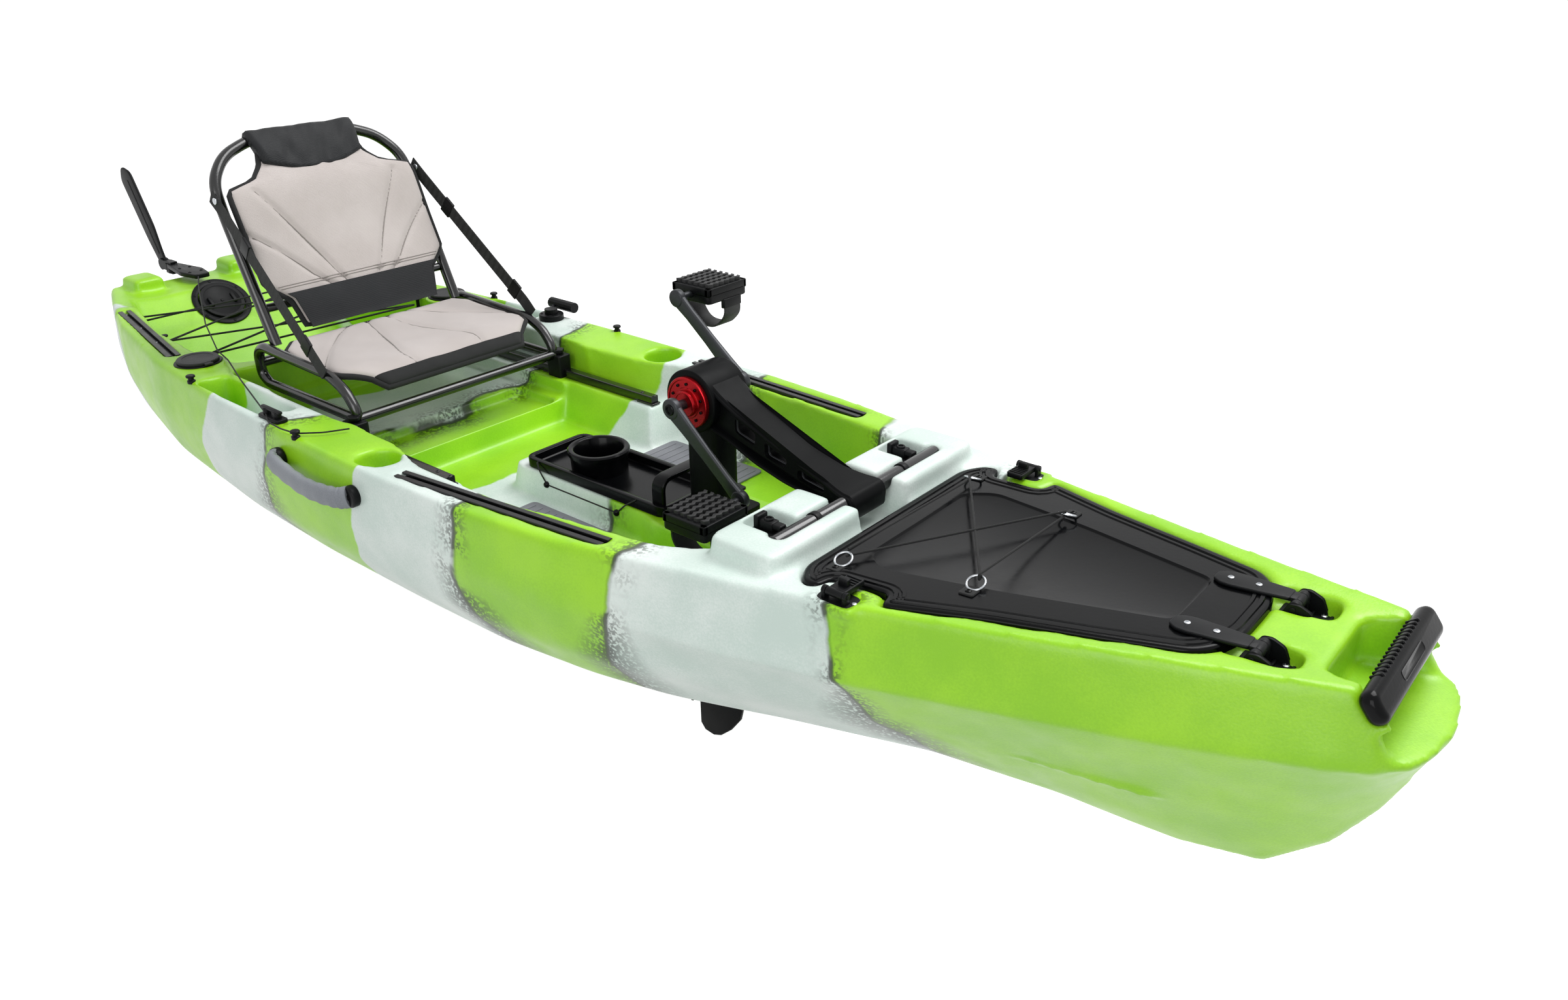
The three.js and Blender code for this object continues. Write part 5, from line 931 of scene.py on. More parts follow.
def slab(
    bm: BMesh,
    outline: Pairs,
    low: float,
    high: float,
    edge: float,
    place: Matrix = Matrix.Identity(4),
    steps: int = 3,
) -> None:
    """Raises an anticlockwise outline into a plate with rounded rims.

    Args:
        bm: The mesh that takes it.
        outline: Points in X and Y.
        low: Height of the bottom.
        high: Height of the top.
        edge: Radius of the rims.
        place: Turns and moves the plate into its place.
        steps: Chords in each rim.
    """
    arc = [math.pi / 2 * i / steps for i in range(steps + 1)]
    levels = [(edge * (1 - math.cos(t)), low + edge * (1 - math.sin(t))) for t in reversed(arc)]
    levels += [(edge * (1 - math.cos(t)), high - edge * (1 - math.sin(t))) for t in arc]
    ring_mesh(bm, level_rings(outline, levels, place))


def level_rings(
    outline: Pairs, levels: Pairs, place: Matrix = Matrix.Identity(4)
) -> list[list[Vector]]:
    """Lays an outline at several levels.

    Args:
        outline: Points in X and Y, anticlockwise.
        levels: [inset, height] pairs.
        place: Turns and moves the rings into their place.

    Returns:
        One ring of places for each level.
    """
    rings = []
    for inset, height in levels:
        shape = inset_outline(outline, inset) if abs(inset) > 1e-7 else outline
        rings.append([place @ Vector((x, y, height)) for x, y in shape])
    return rings


def rectangle(x0: float, x1: float, y0: float, y1: float) -> Outline:
    """The corners of a rectangle, anticlockwise."""
    return [(x0, y0), (x1, y0), (x1, y1), (x0, y1)]


def mirrored(half: Pairs, middle: float = 0.0) -> Outline:
    """The outline that [x, half width] pairs make on both sides of a middle line, anticlockwise."""
    return [(x, middle - h) for x, h in half] + [(x, middle + h) for x, h in reversed(half)]


def block(bm: BMesh, low: Point, high: Point, edge: float = 0.001, corner: float = 0.002) -> None:
    """Adds an upright box with rounded corners and rims."""
    outline = rounded_outline(rectangle(low[0], high[0], low[1], high[1]), corner, 3)
    slab(bm, outline, low[2], high[2], edge)


def side_plate(
    bm: BMesh, outline: Pairs, y0: float, y1: float, edge: float
) -> None:
    """Adds a plate whose outline is drawn in X and Z, from y0 to y1 across the kayak."""
    upright = Matrix(((1, 0, 0, 0), (0, 0, -1, 0), (0, 1, 0, 0), (0, 0, 0, 1)))
    slab(bm, outline, -y1, -y0, edge, upright)


def piece(
    name: str,
    bm: BMesh,
    look: Union[str, Sequence[str]],
    body: Optional[str],
    slot: Slot,
    *replaced: str,
    angle: float = 38.0,
) -> bpy.types.Object:
    """Turns a mesh into a finished piece that rides on a body.

    Args:
        name: The piece's name.
        bm: Its mesh, which is used up.
        look: Its finish, or several where faces choose among them.
        body: The CAD body that it moves with, or None, which leaves it on no body.
        slot: The record's material slot; not used.
        replaced: CAD nodes that it stands for.
        angle: Faces that meet at less than this many degrees shade as one.

    Returns:
        The new object.
    """
    bmesh.ops.recalc_face_normals(bm, faces=bm.faces)
    mesh = bpy.data.meshes.new(name)
    bm.to_mesh(mesh)
    bm.free()
    return mesh_piece(name, mesh, look, body, slot, *replaced, angle=angle)


def mesh_piece(
    name: str,
    mesh: bpy.types.Mesh,
    look: Union[str, Sequence[str]],
    body: Optional[str],
    slot: Slot,
    *replaced: str,
    angle: float = 38.0,
) -> bpy.types.Object:
    """Does for a plain mesh what piece() does for a bmesh.

    Args:
        name: The piece's name.
        mesh: Its mesh.
        look: Its finish, or several where faces choose among them.
        body: The CAD body that it moves with, or None, which leaves it on no body.
        slot: The record's material slot; not used.
        replaced: CAD nodes that it stands for.
        angle: Faces that meet at less than this many degrees shade as one.

    Returns:
        The new object.
    """
    mesh.materials.clear()
    for item in [look] if isinstance(look, str) else look:
        mesh.materials.append(finish(item))
    mesh.shade_smooth()
    mesh.set_sharp_from_angle(angle=math.radians(angle))
    item = bpy.data.objects.new(name, mesh)
    bpy.context.scene.collection.objects.link(item)
    if replaced:
        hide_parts(*replaced)
    if body:
        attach(item, body)
    LOG.info("%s: %d faces", name, len(mesh.polygons))
    return item


def applied(item: bpy.types.Object) -> bpy.types.Mesh:
    """Gives the mesh that an object's modifiers make, and removes the object.

    Args:
        item: The object, which is used up.

    Returns:
        The plain mesh.
    """
    graph = bpy.context.evaluated_depsgraph_get()
    mesh = bpy.data.meshes.new_from_object(item.evaluated_get(graph))
    bpy.data.objects.remove(item)
    return mesh


def working_object(bm: BMesh) -> bpy.types.Object:
    """Makes a scratch object from a mesh, for modifiers to work on.

    Args:
        bm: The mesh, which is used up.

    Returns:
        The object, linked to the scene.
    """
    mesh = bpy.data.meshes.new("working")
    bm.to_mesh(mesh)
    bm.free()
    item = bpy.data.objects.new("working", mesh)
    bpy.context.scene.collection.objects.link(item)
    return item


# Copies of one small part


def copies_tree() -> bpy.types.NodeTree:
    """The tree that sets one part on every point, turned and sized alike.

    Returns:
        The tree, made on its first use.
    """
    name = "copies_on_points"
    if name in bpy.data.node_groups:
        return bpy.data.node_groups[name]
    tree = bpy.data.node_groups.new(name, "GeometryNodeTree")
    kinds = {"Points": "Geometry", "Part": "Object", "Turn": "Rotation", "Size": "Float"}
    for label, kind in {**kinds, "Finish": "Material"}.items():
        tree.interface.new_socket(label, in_out="INPUT", socket_type=f"NodeSocket{kind}")
    tree.interface.new_socket("Copies", in_out="OUTPUT", socket_type="NodeSocketGeometry")
    graph = Graph(tree)
    given = graph.add("NodeGroupInput").outputs
    part = graph.add("GeometryNodeObjectInfo")
    copies = graph.add("GeometryNodeInstanceOnPoints")
    whole = graph.add("GeometryNodeRealizeInstances")
    dressed = graph.add("GeometryNodeSetMaterial")
    graph.join(given["Part"], part.inputs["Object"])
    graph.join(given["Points"], copies.inputs["Points"])
    graph.join(part.outputs["Geometry"], copies.inputs["Instance"])
    graph.join(given["Turn"], copies.inputs["Rotation"])
    graph.join(given["Size"], copies.inputs["Scale"])
    graph.join(copies.outputs["Instances"], whole.inputs["Geometry"])
    graph.join(whole.outputs["Geometry"], dressed.inputs["Geometry"])
    graph.join(given["Finish"], dressed.inputs["Material"])
    graph.join(dressed.outputs["Geometry"], graph.add("NodeGroupOutput").inputs["Copies"])
    return tree


def set_out(
    bm: BMesh,
    part: BMesh,
    look: str,
    spots: Sequence[Point],
    turn: Quaternion = Quaternion(),
    size: float = 1.0,
) -> None:
    """Sets copies of a part on spots with the node tree, and adds them to a mesh.

    Args:
        bm: The mesh that takes the copies.
        part: The part round its own origin, which is used up.
        look: The finish of the piece that the mesh becomes.
        spots: Where the copies' origins go.
        turn: How each copy is turned.
        size: What each copy is scaled by.
    """
    points = bmesh.new()
    for spot in spots:
        points.verts.new(spot)
    one, holder = working_object(part), working_object(points)
    modifier = holder.modifiers.new("copies", "NODES")
    modifier.node_group = tree = copies_tree()
    values = {"Part": one, "Turn": turn.to_euler()[:], "Size": size, "Finish": finish(look)}
    for socket in tree.interface.items_tree:
        if socket.name in values:
            modifier[socket.identifier] = values[socket.name]
    mesh = applied(holder)
    bpy.data.objects.remove(one)
    bm.from_mesh(mesh)
    bpy.data.meshes.remove(mesh)


def set_screws(
    bm: BMesh,
    look: str,
    radius: float,
    spots: Sequence[Point],
    facing: Point = (0, 0, 1),
    stand: float = 0.0,
) -> None:
    """Sets pan-head screws on spots.

    Args:
        bm: The mesh that takes them.
        look: The finish of the piece that the mesh becomes.
        radius: Radius of the heads.
        spots: Where the screws go.
        facing: Which way the heads look.
        stand: How far over the spots the heads begin.
    """
    sink = 0.001
    seat = stand / radius
    rows = ((0.21, 1), (0.42, 0.7), (0.42, 0.42), (0.189, 0.38))
    head = bmesh.new()
    turned(head, (0, 0, 0), (0, 0, 1), [(seat - sink / radius, 1), *((seat + z, r) for z, r in rows)], 16)
    set_out(bm, head, look, spots, Vector(facing).to_track_quat("Z", "Y"), radius)


def screw_piece(
    name: str, look: str, body: str, radius: float, spots: Sequence[Point], facing: Point = (0, 0, 1)
) -> None:
    """Makes a piece of screws alone.

    Args:
        name: The piece's name.
        look: Its finish.
        body: The CAD body that it moves with.
        radius: Radius of the heads.
        spots: Where the screws go.
        facing: Which way the heads look.
    """
    bm = bmesh.new()
    set_screws(bm, look, radius, spots, facing)
    piece(name, bm, look, body, Slot.STEEL)


# Studio


@dataclass
class Studio:
    """Camera, soft lamps and a plain pale floor."""

    eye: tuple[float, float, float] = (1.732, -1.457, 1.2727)
    gaze: tuple[float, float, float] = (-0.561, 0.703, -0.437)
    lens: float = 27.396
    shift: tuple[float, float] = (-0.01454, -0.0008)
    floor_height: float = -0.262
    floor_half: float = 45.0
    floor_glow: float = 0.84
    shed: float = 0.46

    def camera(self) -> None:
        """Sets the camera at the photograph's viewing angle."""
        data = bpy.data.cameras.new("view")
        data.lens = self.lens
        data.shift_x, data.shift_y = self.shift
        data.clip_end = 200.0
        item = bpy.data.objects.new("view", data)
        item.location = self.eye
        item.rotation_euler = Vector(self.gaze).to_track_quat("-Z", "Y").to_euler()
        bpy.context.scene.collection.objects.link(item)
        bpy.context.scene.camera = item

    def looked_at(self, graph: Graph) -> Socket:
        """Tells the rays that see the backdrop, straight or in metal and glass, from other light.

        Args:
            graph: The shader's graph.

        Returns:
            1 for such rays and 0 for others.
        """
        path = graph.add("ShaderNodeLightPath")
        seen = graph.math("MAXIMUM", path.outputs["Is Camera Ray"], path.outputs["Is Transmission Ray"])
        return graph.math("MAXIMUM", seen, path.outputs["Is Glossy Ray"])

    def world(self) -> None:
        """Makes a white surround that lights the object softly."""
        world = bpy.data.worlds.new("studio")
        world.use_nodes = True
        graph = Graph(world.node_tree)
        shade = next(n for n in world.node_tree.nodes if n.type == "BACKGROUND")
        shade.inputs["Color"].default_value = (1, 1, 1, 1)
        extra = graph.math("MULTIPLY", self.looked_at(graph), 1 - self.shed)
        graph.join(graph.math("ADD", extra, self.shed), shade.inputs["Strength"])
        bpy.context.scene.world = world

    def floor(self) -> None:
        """Lays a pale floor that shows as white away from the object's shadow."""
        bm = bmesh.new()
        half = self.floor_half
        corners = [(-half, -half), (half, -half), (half, half), (-half, half)]
        bm.faces.new([bm.verts.new((x, y, self.floor_height)) for x, y in corners])
        mesh = bpy.data.meshes.new("floor")
        bm.to_mesh(mesh)
        bm.free()
        material = bpy.data.materials.new("pale_floor")
        material.use_nodes = True
        graph = Graph(material.node_tree)
        shader = next(n for n in material.node_tree.nodes if n.type == "BSDF_PRINCIPLED")
        shader.inputs["Base Color"].default_value = (0.5, 0.5, 0.5, 1)
        shader.inputs["Roughness"].default_value = 0.9
        shader.inputs["Specular IOR Level"].default_value = 0.0
        shader.inputs["Emission Color"].default_value = (1, 1, 1, 1)
        glow = graph.math("MULTIPLY", self.looked_at(graph), self.floor_glow)
        graph.join(glow, shader.inputs["Emission Strength"])
        mesh.materials.append(material)
        item = bpy.data.objects.new("floor", mesh)
        bpy.context.scene.collection.objects.link(item)

    def lamp(self, name: str, place: Point, power: float, size: float) -> None:
        """Hangs a square area lamp that faces the kayak's middle.

        Args:
            name: Its name.
            place: Where it hangs.
            power: Its power in watts.
            size: Its side.
        """
        data = bpy.data.lights.new(name, "AREA")
        data.energy = power
        data.size = size
        item = bpy.data.objects.new(name, data)
        item.location = place
        item.rotation_euler = (Vector((0.2, 0, 0.3)) - Vector(place)).to_track_quat("-Z", "Y").to_euler()
        bpy.context.scene.collection.objects.link(item)

    def build(self) -> None:
        """Makes the whole studio."""
        bpy.context.scene.view_settings.view_transform = "Standard"
        self.camera()
        self.world()
        self.floor()
        self.lamp("key", (1.4, 2.4, 5.0), 270.0, 3.4)
        self.lamp("fill", (2.2, -4.2, 2.4), 90.0, 3.0)


# Hull


@dataclass
class Hull:
    """The rotomoulded hull, from its CAD skin with soft edges and smooth sides."""

    voxel: float = 0.006
    plain_turn: float = 0.2
    faces: int = 92000
    bed: float = 0.15
    wall: float = 0.008
    track_seat: float = 0.0306
    disc_seat: float = 0.0305
    neck: float = 0.0563

    def plugs(self, bm: BMesh) -> None:
        """Closes the ways into the hull's inside, and hangs a stowage tub under the hatch.

        Args:
            bm: The hull's mesh.
        """
        slope = math.tan(HATCH_TILT)

        def ledge(x: float) -> float:
            """The height of the hatch's ledge under the lid."""
            return HATCH_HINGE[1] + (x - HATCH_HINGE[0]) * slope

        hold = rounded_outline([(0.79, -0.185), (1.29, -0.0925), (1.29, 0.0925), (0.79, 0.185)], 0.04, 6)
        rings = level_rings(hold, ((-0.018, self.bed), (-0.018, 0), (0, 0), (0.012, self.bed + 0.01)))
        for p in rings[1] + rings[2]:
            p.z = ledge(p.x) - 0.002
        ring_mesh(bm, rings)
        for _, side in SIDES:
            for ends in TRACK_ENDS.values():
                start, end = (Vector((x, side * y, z)) for x, y, z in ends)
                along = (end - start).normalized()
                turn = along.to_track_quat("X", "Z").to_matrix().to_4x4()
                place = Matrix.Translation((start + end) / 2) @ turn
                half = (end - start).length / 2
                seat = rectangle(-half, half, -self.track_seat / 2, self.track_seat / 2)
                self.trough(bm, seat, -0.0125, -0.003, place)
            x, y = LATCH[0], side * LATCH[1]
            self.trough(bm, rectangle(x - 0.033, x + 0.033, y - 0.02, y + 0.02), 0.391, 0.399)
            flange = [(0.377, 0.0265), (0.377, 0.058), (0.3885, 0.058), (0.3885, 0.0503), (0.3857, 0.0503)]
            x, y = ROD_HOLDER
            turned(bm, (x, side * y, 0), (0, 0, 1), [*flange, (0.3857, 0.0265)], 32, True)
            seat = ((-0.016, 0.098), (0.038, 0.1105), (0.038, 0.1255), (-0.016, 0.122))
            slab(bm, [(x, side * y) for x, y in seat], -0.024, -0.0136, 0.0005, BOW_GRIP)
            lip = ((0.0245, 0.1075), (0.036, 0.1105), (0.036, 0.1255), (0.0245, 0.124))
            slab(bm, [(x, side * y) for x, y in lip], -0.02, 0.004, 0.0005, BOW_GRIP)
        disc = [(STEERING[0] + x, STEERING[1] + y) for x, y in circle(self.disc_seat, 24)]
        self.trough(bm, disc, 0.376, 0.382)
        place = Matrix.Translation(PLATE_PLACE) @ PLATE_FACING.to_track_quat("Z", "Y").to_matrix().to_4x4()
        self.trough(bm, circle(self.neck, 32), -0.03, -0.003, place)
        turned(bm, (-1.642, -0.07, 0.33), (1, 0, 0), soft_rod(-0.0005, 0.02, 0.012, 0.001))

    def trough(
        self,
        bm: BMesh,
        outline: Pairs,
        floor: float,
        top: float,
        place: Matrix = Matrix.Identity(4),
    ) -> None:
        """Hangs a closed trough under a seat that was cut through the deck's skin.

        Args:
            bm: The mesh that takes it.
            outline: The seat's outline, anticlockwise.
            floor: Height of the trough's floor.
            top: Height of its rim.
            place: Turns and moves the trough into its place.
        """
        levels = ((-self.wall, floor - self.wall), (-self.wall, top), (0, top), (0, floor))
        ring_mesh(bm, level_rings(outline, levels, place))

    def outside(self, mesh: bpy.types.Mesh) -> bpy.types.Object:
        """Keeps the largest closed skin of a mesh and drops the skins inside it.

        Args:
            mesh: The remeshed hull.

        Returns:
            A scratch object with the outer skin.
        """
        edges = np.empty(len(mesh.edges) * 2, dtype=np.int64)
        mesh.edges.foreach_get("vertices", edges)
        a, b = edges.reshape(-1, 2).T
        skin = np.arange(len(mesh.vertices))
        while True:
            before = skin.copy()
            np.minimum.at(skin, a, skin[b])
            np.minimum.at(skin, b, skin[a])
            np.minimum.at(skin, before, skin)
            skin = skin[skin]
            if np.array_equal(before, skin):
                break
        names, sizes = np.unique(skin, return_counts=True)
        LOG.info("hull: skins of %s points", sorted(sizes.tolist())[-6:])
        outer = names[sizes.argmax()]
        bm = bmesh.new()
        bm.from_mesh(mesh)
        bm.verts.ensure_lookup_table()
        inner = [bm.verts[i] for i in np.nonzero(skin != outer)[0].tolist()]
        bmesh.ops.delete(bm, geom=inner, context="VERTS")
        return working_object(bm)

    def soften(self, item: bpy.types.Object) -> None:
        """Marks the plain sides between the folds, which are smoothed a lot.

        Args:
            item: The hull's object.
        """
        mesh = item.data
        count = len(mesh.vertices)
        normals = np.empty(count * 3)
        mesh.vertices.foreach_get("normal", normals)
        normals = normals.reshape(-1, 3)
        edges = np.empty(len(mesh.edges) * 2, dtype=np.int64)
        mesh.edges.foreach_get("vertices", edges)
        edges = edges.reshape(-1, 2)
        turn = np.arccos(np.clip((normals[edges[:, 0]] * normals[edges[:, 1]]).sum(axis=1), -1, 1))
        fold = np.zeros(count)
        np.maximum.at(fold, edges[:, 0], turn)
        np.maximum.at(fold, edges[:, 1], turn)
        for _ in range(3):
            wide = fold.copy()
            np.maximum.at(wide, edges[:, 0], fold[edges[:, 1]])
            np.maximum.at(wide, edges[:, 1], fold[edges[:, 0]])
            fold = wide
        plain = item.vertex_groups.new(name="plain")
        for number in np.nonzero(fold < self.plain_turn)[0].tolist():
            plain.add([number], 1.0, "REPLACE")
        LOG.info("hull: %d of %d points lie on plain sides", int((fold < self.plain_turn).sum()), count)

    def build(self) -> None:
        """Makes the hull's piece."""
        bm = bmesh.new()
        bm.from_mesh(bpy.data.objects["hull"].data)
        bmesh.ops.remove_doubles(bm, verts=bm.verts, dist=1e-5)
        self.plugs(bm)
        bmesh.ops.recalc_face_normals(bm, faces=bm.faces)
        item = working_object(bm)
        remesh = item.modifiers.new("skin", "REMESH")
        remesh.mode = "VOXEL"
        remesh.voxel_size = self.voxel
        first = item.modifiers.new("edges", "SMOOTH")
        first.iterations = 5
        item = self.outside(applied(item))
        self.soften(item)
        plain = item.modifiers.new("plain", "SMOOTH")
        plain.iterations = 90
        plain.vertex_group = "plain"
        last = item.modifiers.new("last", "SMOOTH")
        last.iterations = 2
        thin = item.modifiers.new("thin", "DECIMATE")
        thin.ratio = min(1.0, self.faces / len(item.data.polygons))
        mesh = applied(item)
        mesh_piece("hull_shell", mesh, "hull", "kayak", Slot.LIME, "hull", angle=80.0)


# Seat


@dataclass(frozen=True)
class Cloth:
    """A soft panel: a curved profile in X and Z, and how wide it is at each share of its length."""

    profile: tuple[tuple[float, float], ...]
    half_shares: tuple[tuple[float, float], ...]
    half: float
    thickness: float
    bulge: float
    columns: int = 72
    rows: int = 64
    rim: float = 0.0045
    rim_reach: float = 0.024
    dip: float = 0.0055

    @cached_property
    def curve(self) -> tuple[np.ndarray, np.ndarray]:
        """The profile's places in X and Z, and the unit normals that point to the sitter."""
        return even_profile(self.profile, 24, self.rows)

    def half_at(self, v: float) -> float:
        """Half of the panel's width at a share of its length."""
        shares = np.array(self.half_shares)
        return float(np.interp(v, shares[:, 0], shares[:, 1])) * self.half

    def place(self, u: float, v: float, lift: float) -> Vector:
        """A place on the panel.

        Args:
            u: Share of the half width, from -1 to 1.
            v: Share of the length, from 0 to 1.
            lift: Height over the panel's middle layer.

        Returns:
            The place.
        """
        line, normals = self.curve
        spot = between(line, v * self.rows) + between(normals, v * self.rows) * lift
        return Vector((spot[0], u * self.half_at(v), spot[1]))

    def surface(self, bm: BMesh, seams: Callable[[float, float], float]) -> None:
        """Adds the panel as a closed cushion that dips along its seams.

        Args:
            bm: The mesh that takes it.
            seams: Gives the dip's share, 0 to 1, at u and v.
        """

        def at(u: float, v: float, side: float) -> Vector:
            """A place on the side's skin."""
            return self.place(u, v, self.skin(u, v, side) - self.dip * seams(u, v) * side)

        cushion(bm, self.rows, self.columns, (1, -1), at, flip=True)

    def skin(self, u: float, v: float, side: float) -> float:
        """How far the cushion's skin stands off its middle sheet, without its seams.

        Args:
            u: Share of the half width, from -1 to 1.
            v: Share of the length, from 0 to 1.
            side: 1 for the sitter's side, -1 for the back.

        Returns:
            The height with its creases, along the normal.
        """
        inset = min((1 - abs(u)) * self.half_at(v), min(v, 1 - v) * 0.36)
        swell = swollen(inset, self.rim_reach)
        depth = self.rim + (self.thickness / 2 - self.rim) * swell
        crease = noise.noise(Vector((u * 2.2, v * 2.6, side * 3.0))) * 0.0028
        crease += noise.noise(Vector((u * 6.0, v * 1.6, side * 7.0))) * 0.0012
        return side * (depth + self.bulge * swell) + crease * swell

    def band(self, bm: BMesh, start: float, end: float, columns: int = 60) -> None:
        """Adds a strip that lies on the cushion's top.

        Args:
            bm: The mesh that takes it.
            start: Share of the length where it starts.
            end: Share of the length where it ends.
            columns: Faces across it.
        """

        def at(u: float, v: float, stand: float) -> Vector:
            """A place on the strip, so far over the cushion."""
            u, v = u * 0.995, start + (end - start) * v
            return self.place(u, v, self.skin(u, v, 1) + stand)

        cushion(bm, 10, columns, (0.0014, -0.0012), at)

    def border(self, lift: float, out: float) -> list[Vector]:
        """The route of the piping round the panel.

        Args:
            lift: Height over the panel's middle layer.
            out: How far the route lies outside the panel's sides.

        Returns:
            The route, closed.
        """
        steps = 40
        loop = [(2 * i / steps - 1, 0.0) for i in range(steps)]
        loop += [(1.0, i / steps) for i in range(steps)]
        loop += [(1 - 2 * i / steps, 1.0) for i in range(steps)]
        loop += [(-1.0, 1 - i / steps) for i in range(steps)]
        route = [self.place(u, v, lift) + Vector((0, out * u * abs(u), 0)) for u, v in loop]
        route.append(route[0].copy())
        return route


def seam_dip(distance: float, width: float) -> float:
    """The dip's share at a distance from a seam."""
    return math.exp(-((distance / width) ** 2))


@dataclass(frozen=True)
class SeamLine:
    """A seam that fans out from one share of the width to another along a stretch of the length."""

    start: float
    end: float
    foot: float
    head: float
    power: float

    def at(self, v: float) -> Optional[float]:
        """Finds the seam at a share of the length.

        Args:
            v: The share.

        Returns:
            Its share of the half width, or None where it doesn't reach.
        """
        share = (v - self.foot) / (self.head - self.foot)
        if not -0.001 <= share <= 1.001:
            return None
        return self.start + (self.end - self.start) * max(share, 0.0) ** self.power


def fan_seams(curves: Sequence[SeamLine], half: float) -> Callable[[float, float], float]:
    """Makes the dips of mirrored seams.

    Args:
        curves: The seams of one side.
        half: Half width of the panel.

    Returns:
        A function of u and v.
    """

    def dips(u: float, v: float) -> float:
        """Gives the dip's share at u and v."""
        places = [seam.at(v) for seam in curves]
        gaps = [abs(abs(u) - place) for place in places if place is not None]
        return seam_dip(min(gaps) * half, 0.007) if gaps else 0.0

    return dips


PAN = Cloth(
    profile=((-0.704, 0.436), (-0.62, 0.424), (-0.52, 0.424), (-0.45, 0.422), (-0.404, 0.396)),
    half_shares=((0, 0.84), (0.1, 0.97), (0.3, 1), (0.7, 1), (0.78, 0.96), (0.9, 0.78), (1, 0.7)),
    half=0.2467,
    thickness=0.022,
    bulge=0.002,
)
BACK = Cloth(
    profile=(
        (-0.885, 0.848),
        (-0.856, 0.786),
        (-0.816, 0.738),
        (-0.776, 0.64),
        (-0.73, 0.534),
        (-0.706, 0.47),
    ),
    half_shares=(
        (0, 0.46),
        (0.06, 0.5),
        (0.16, 0.56),
        (0.24, 0.7),
        (0.28, 0.99),
        (0.34, 1),
        (0.76, 1),
        (0.8, 0.93),
        (0.86, 0.8),
        (1, 0.74),
    ),
    half=0.2224,
    thickness=0.018,
    bulge=0.002,
)
PAN_SEAMS = (SeamLine(0.12, 0.5, 0.0, 1.0, 1.5), SeamLine(0.3, 1.0, 0.0, 0.62, 0.75))
BACK_SEAMS = (SeamLine(0.12, 0.78, 0.98, 0.29, 1.3), SeamLine(0.3, 1.0, 0.98, 0.5, 1.6))


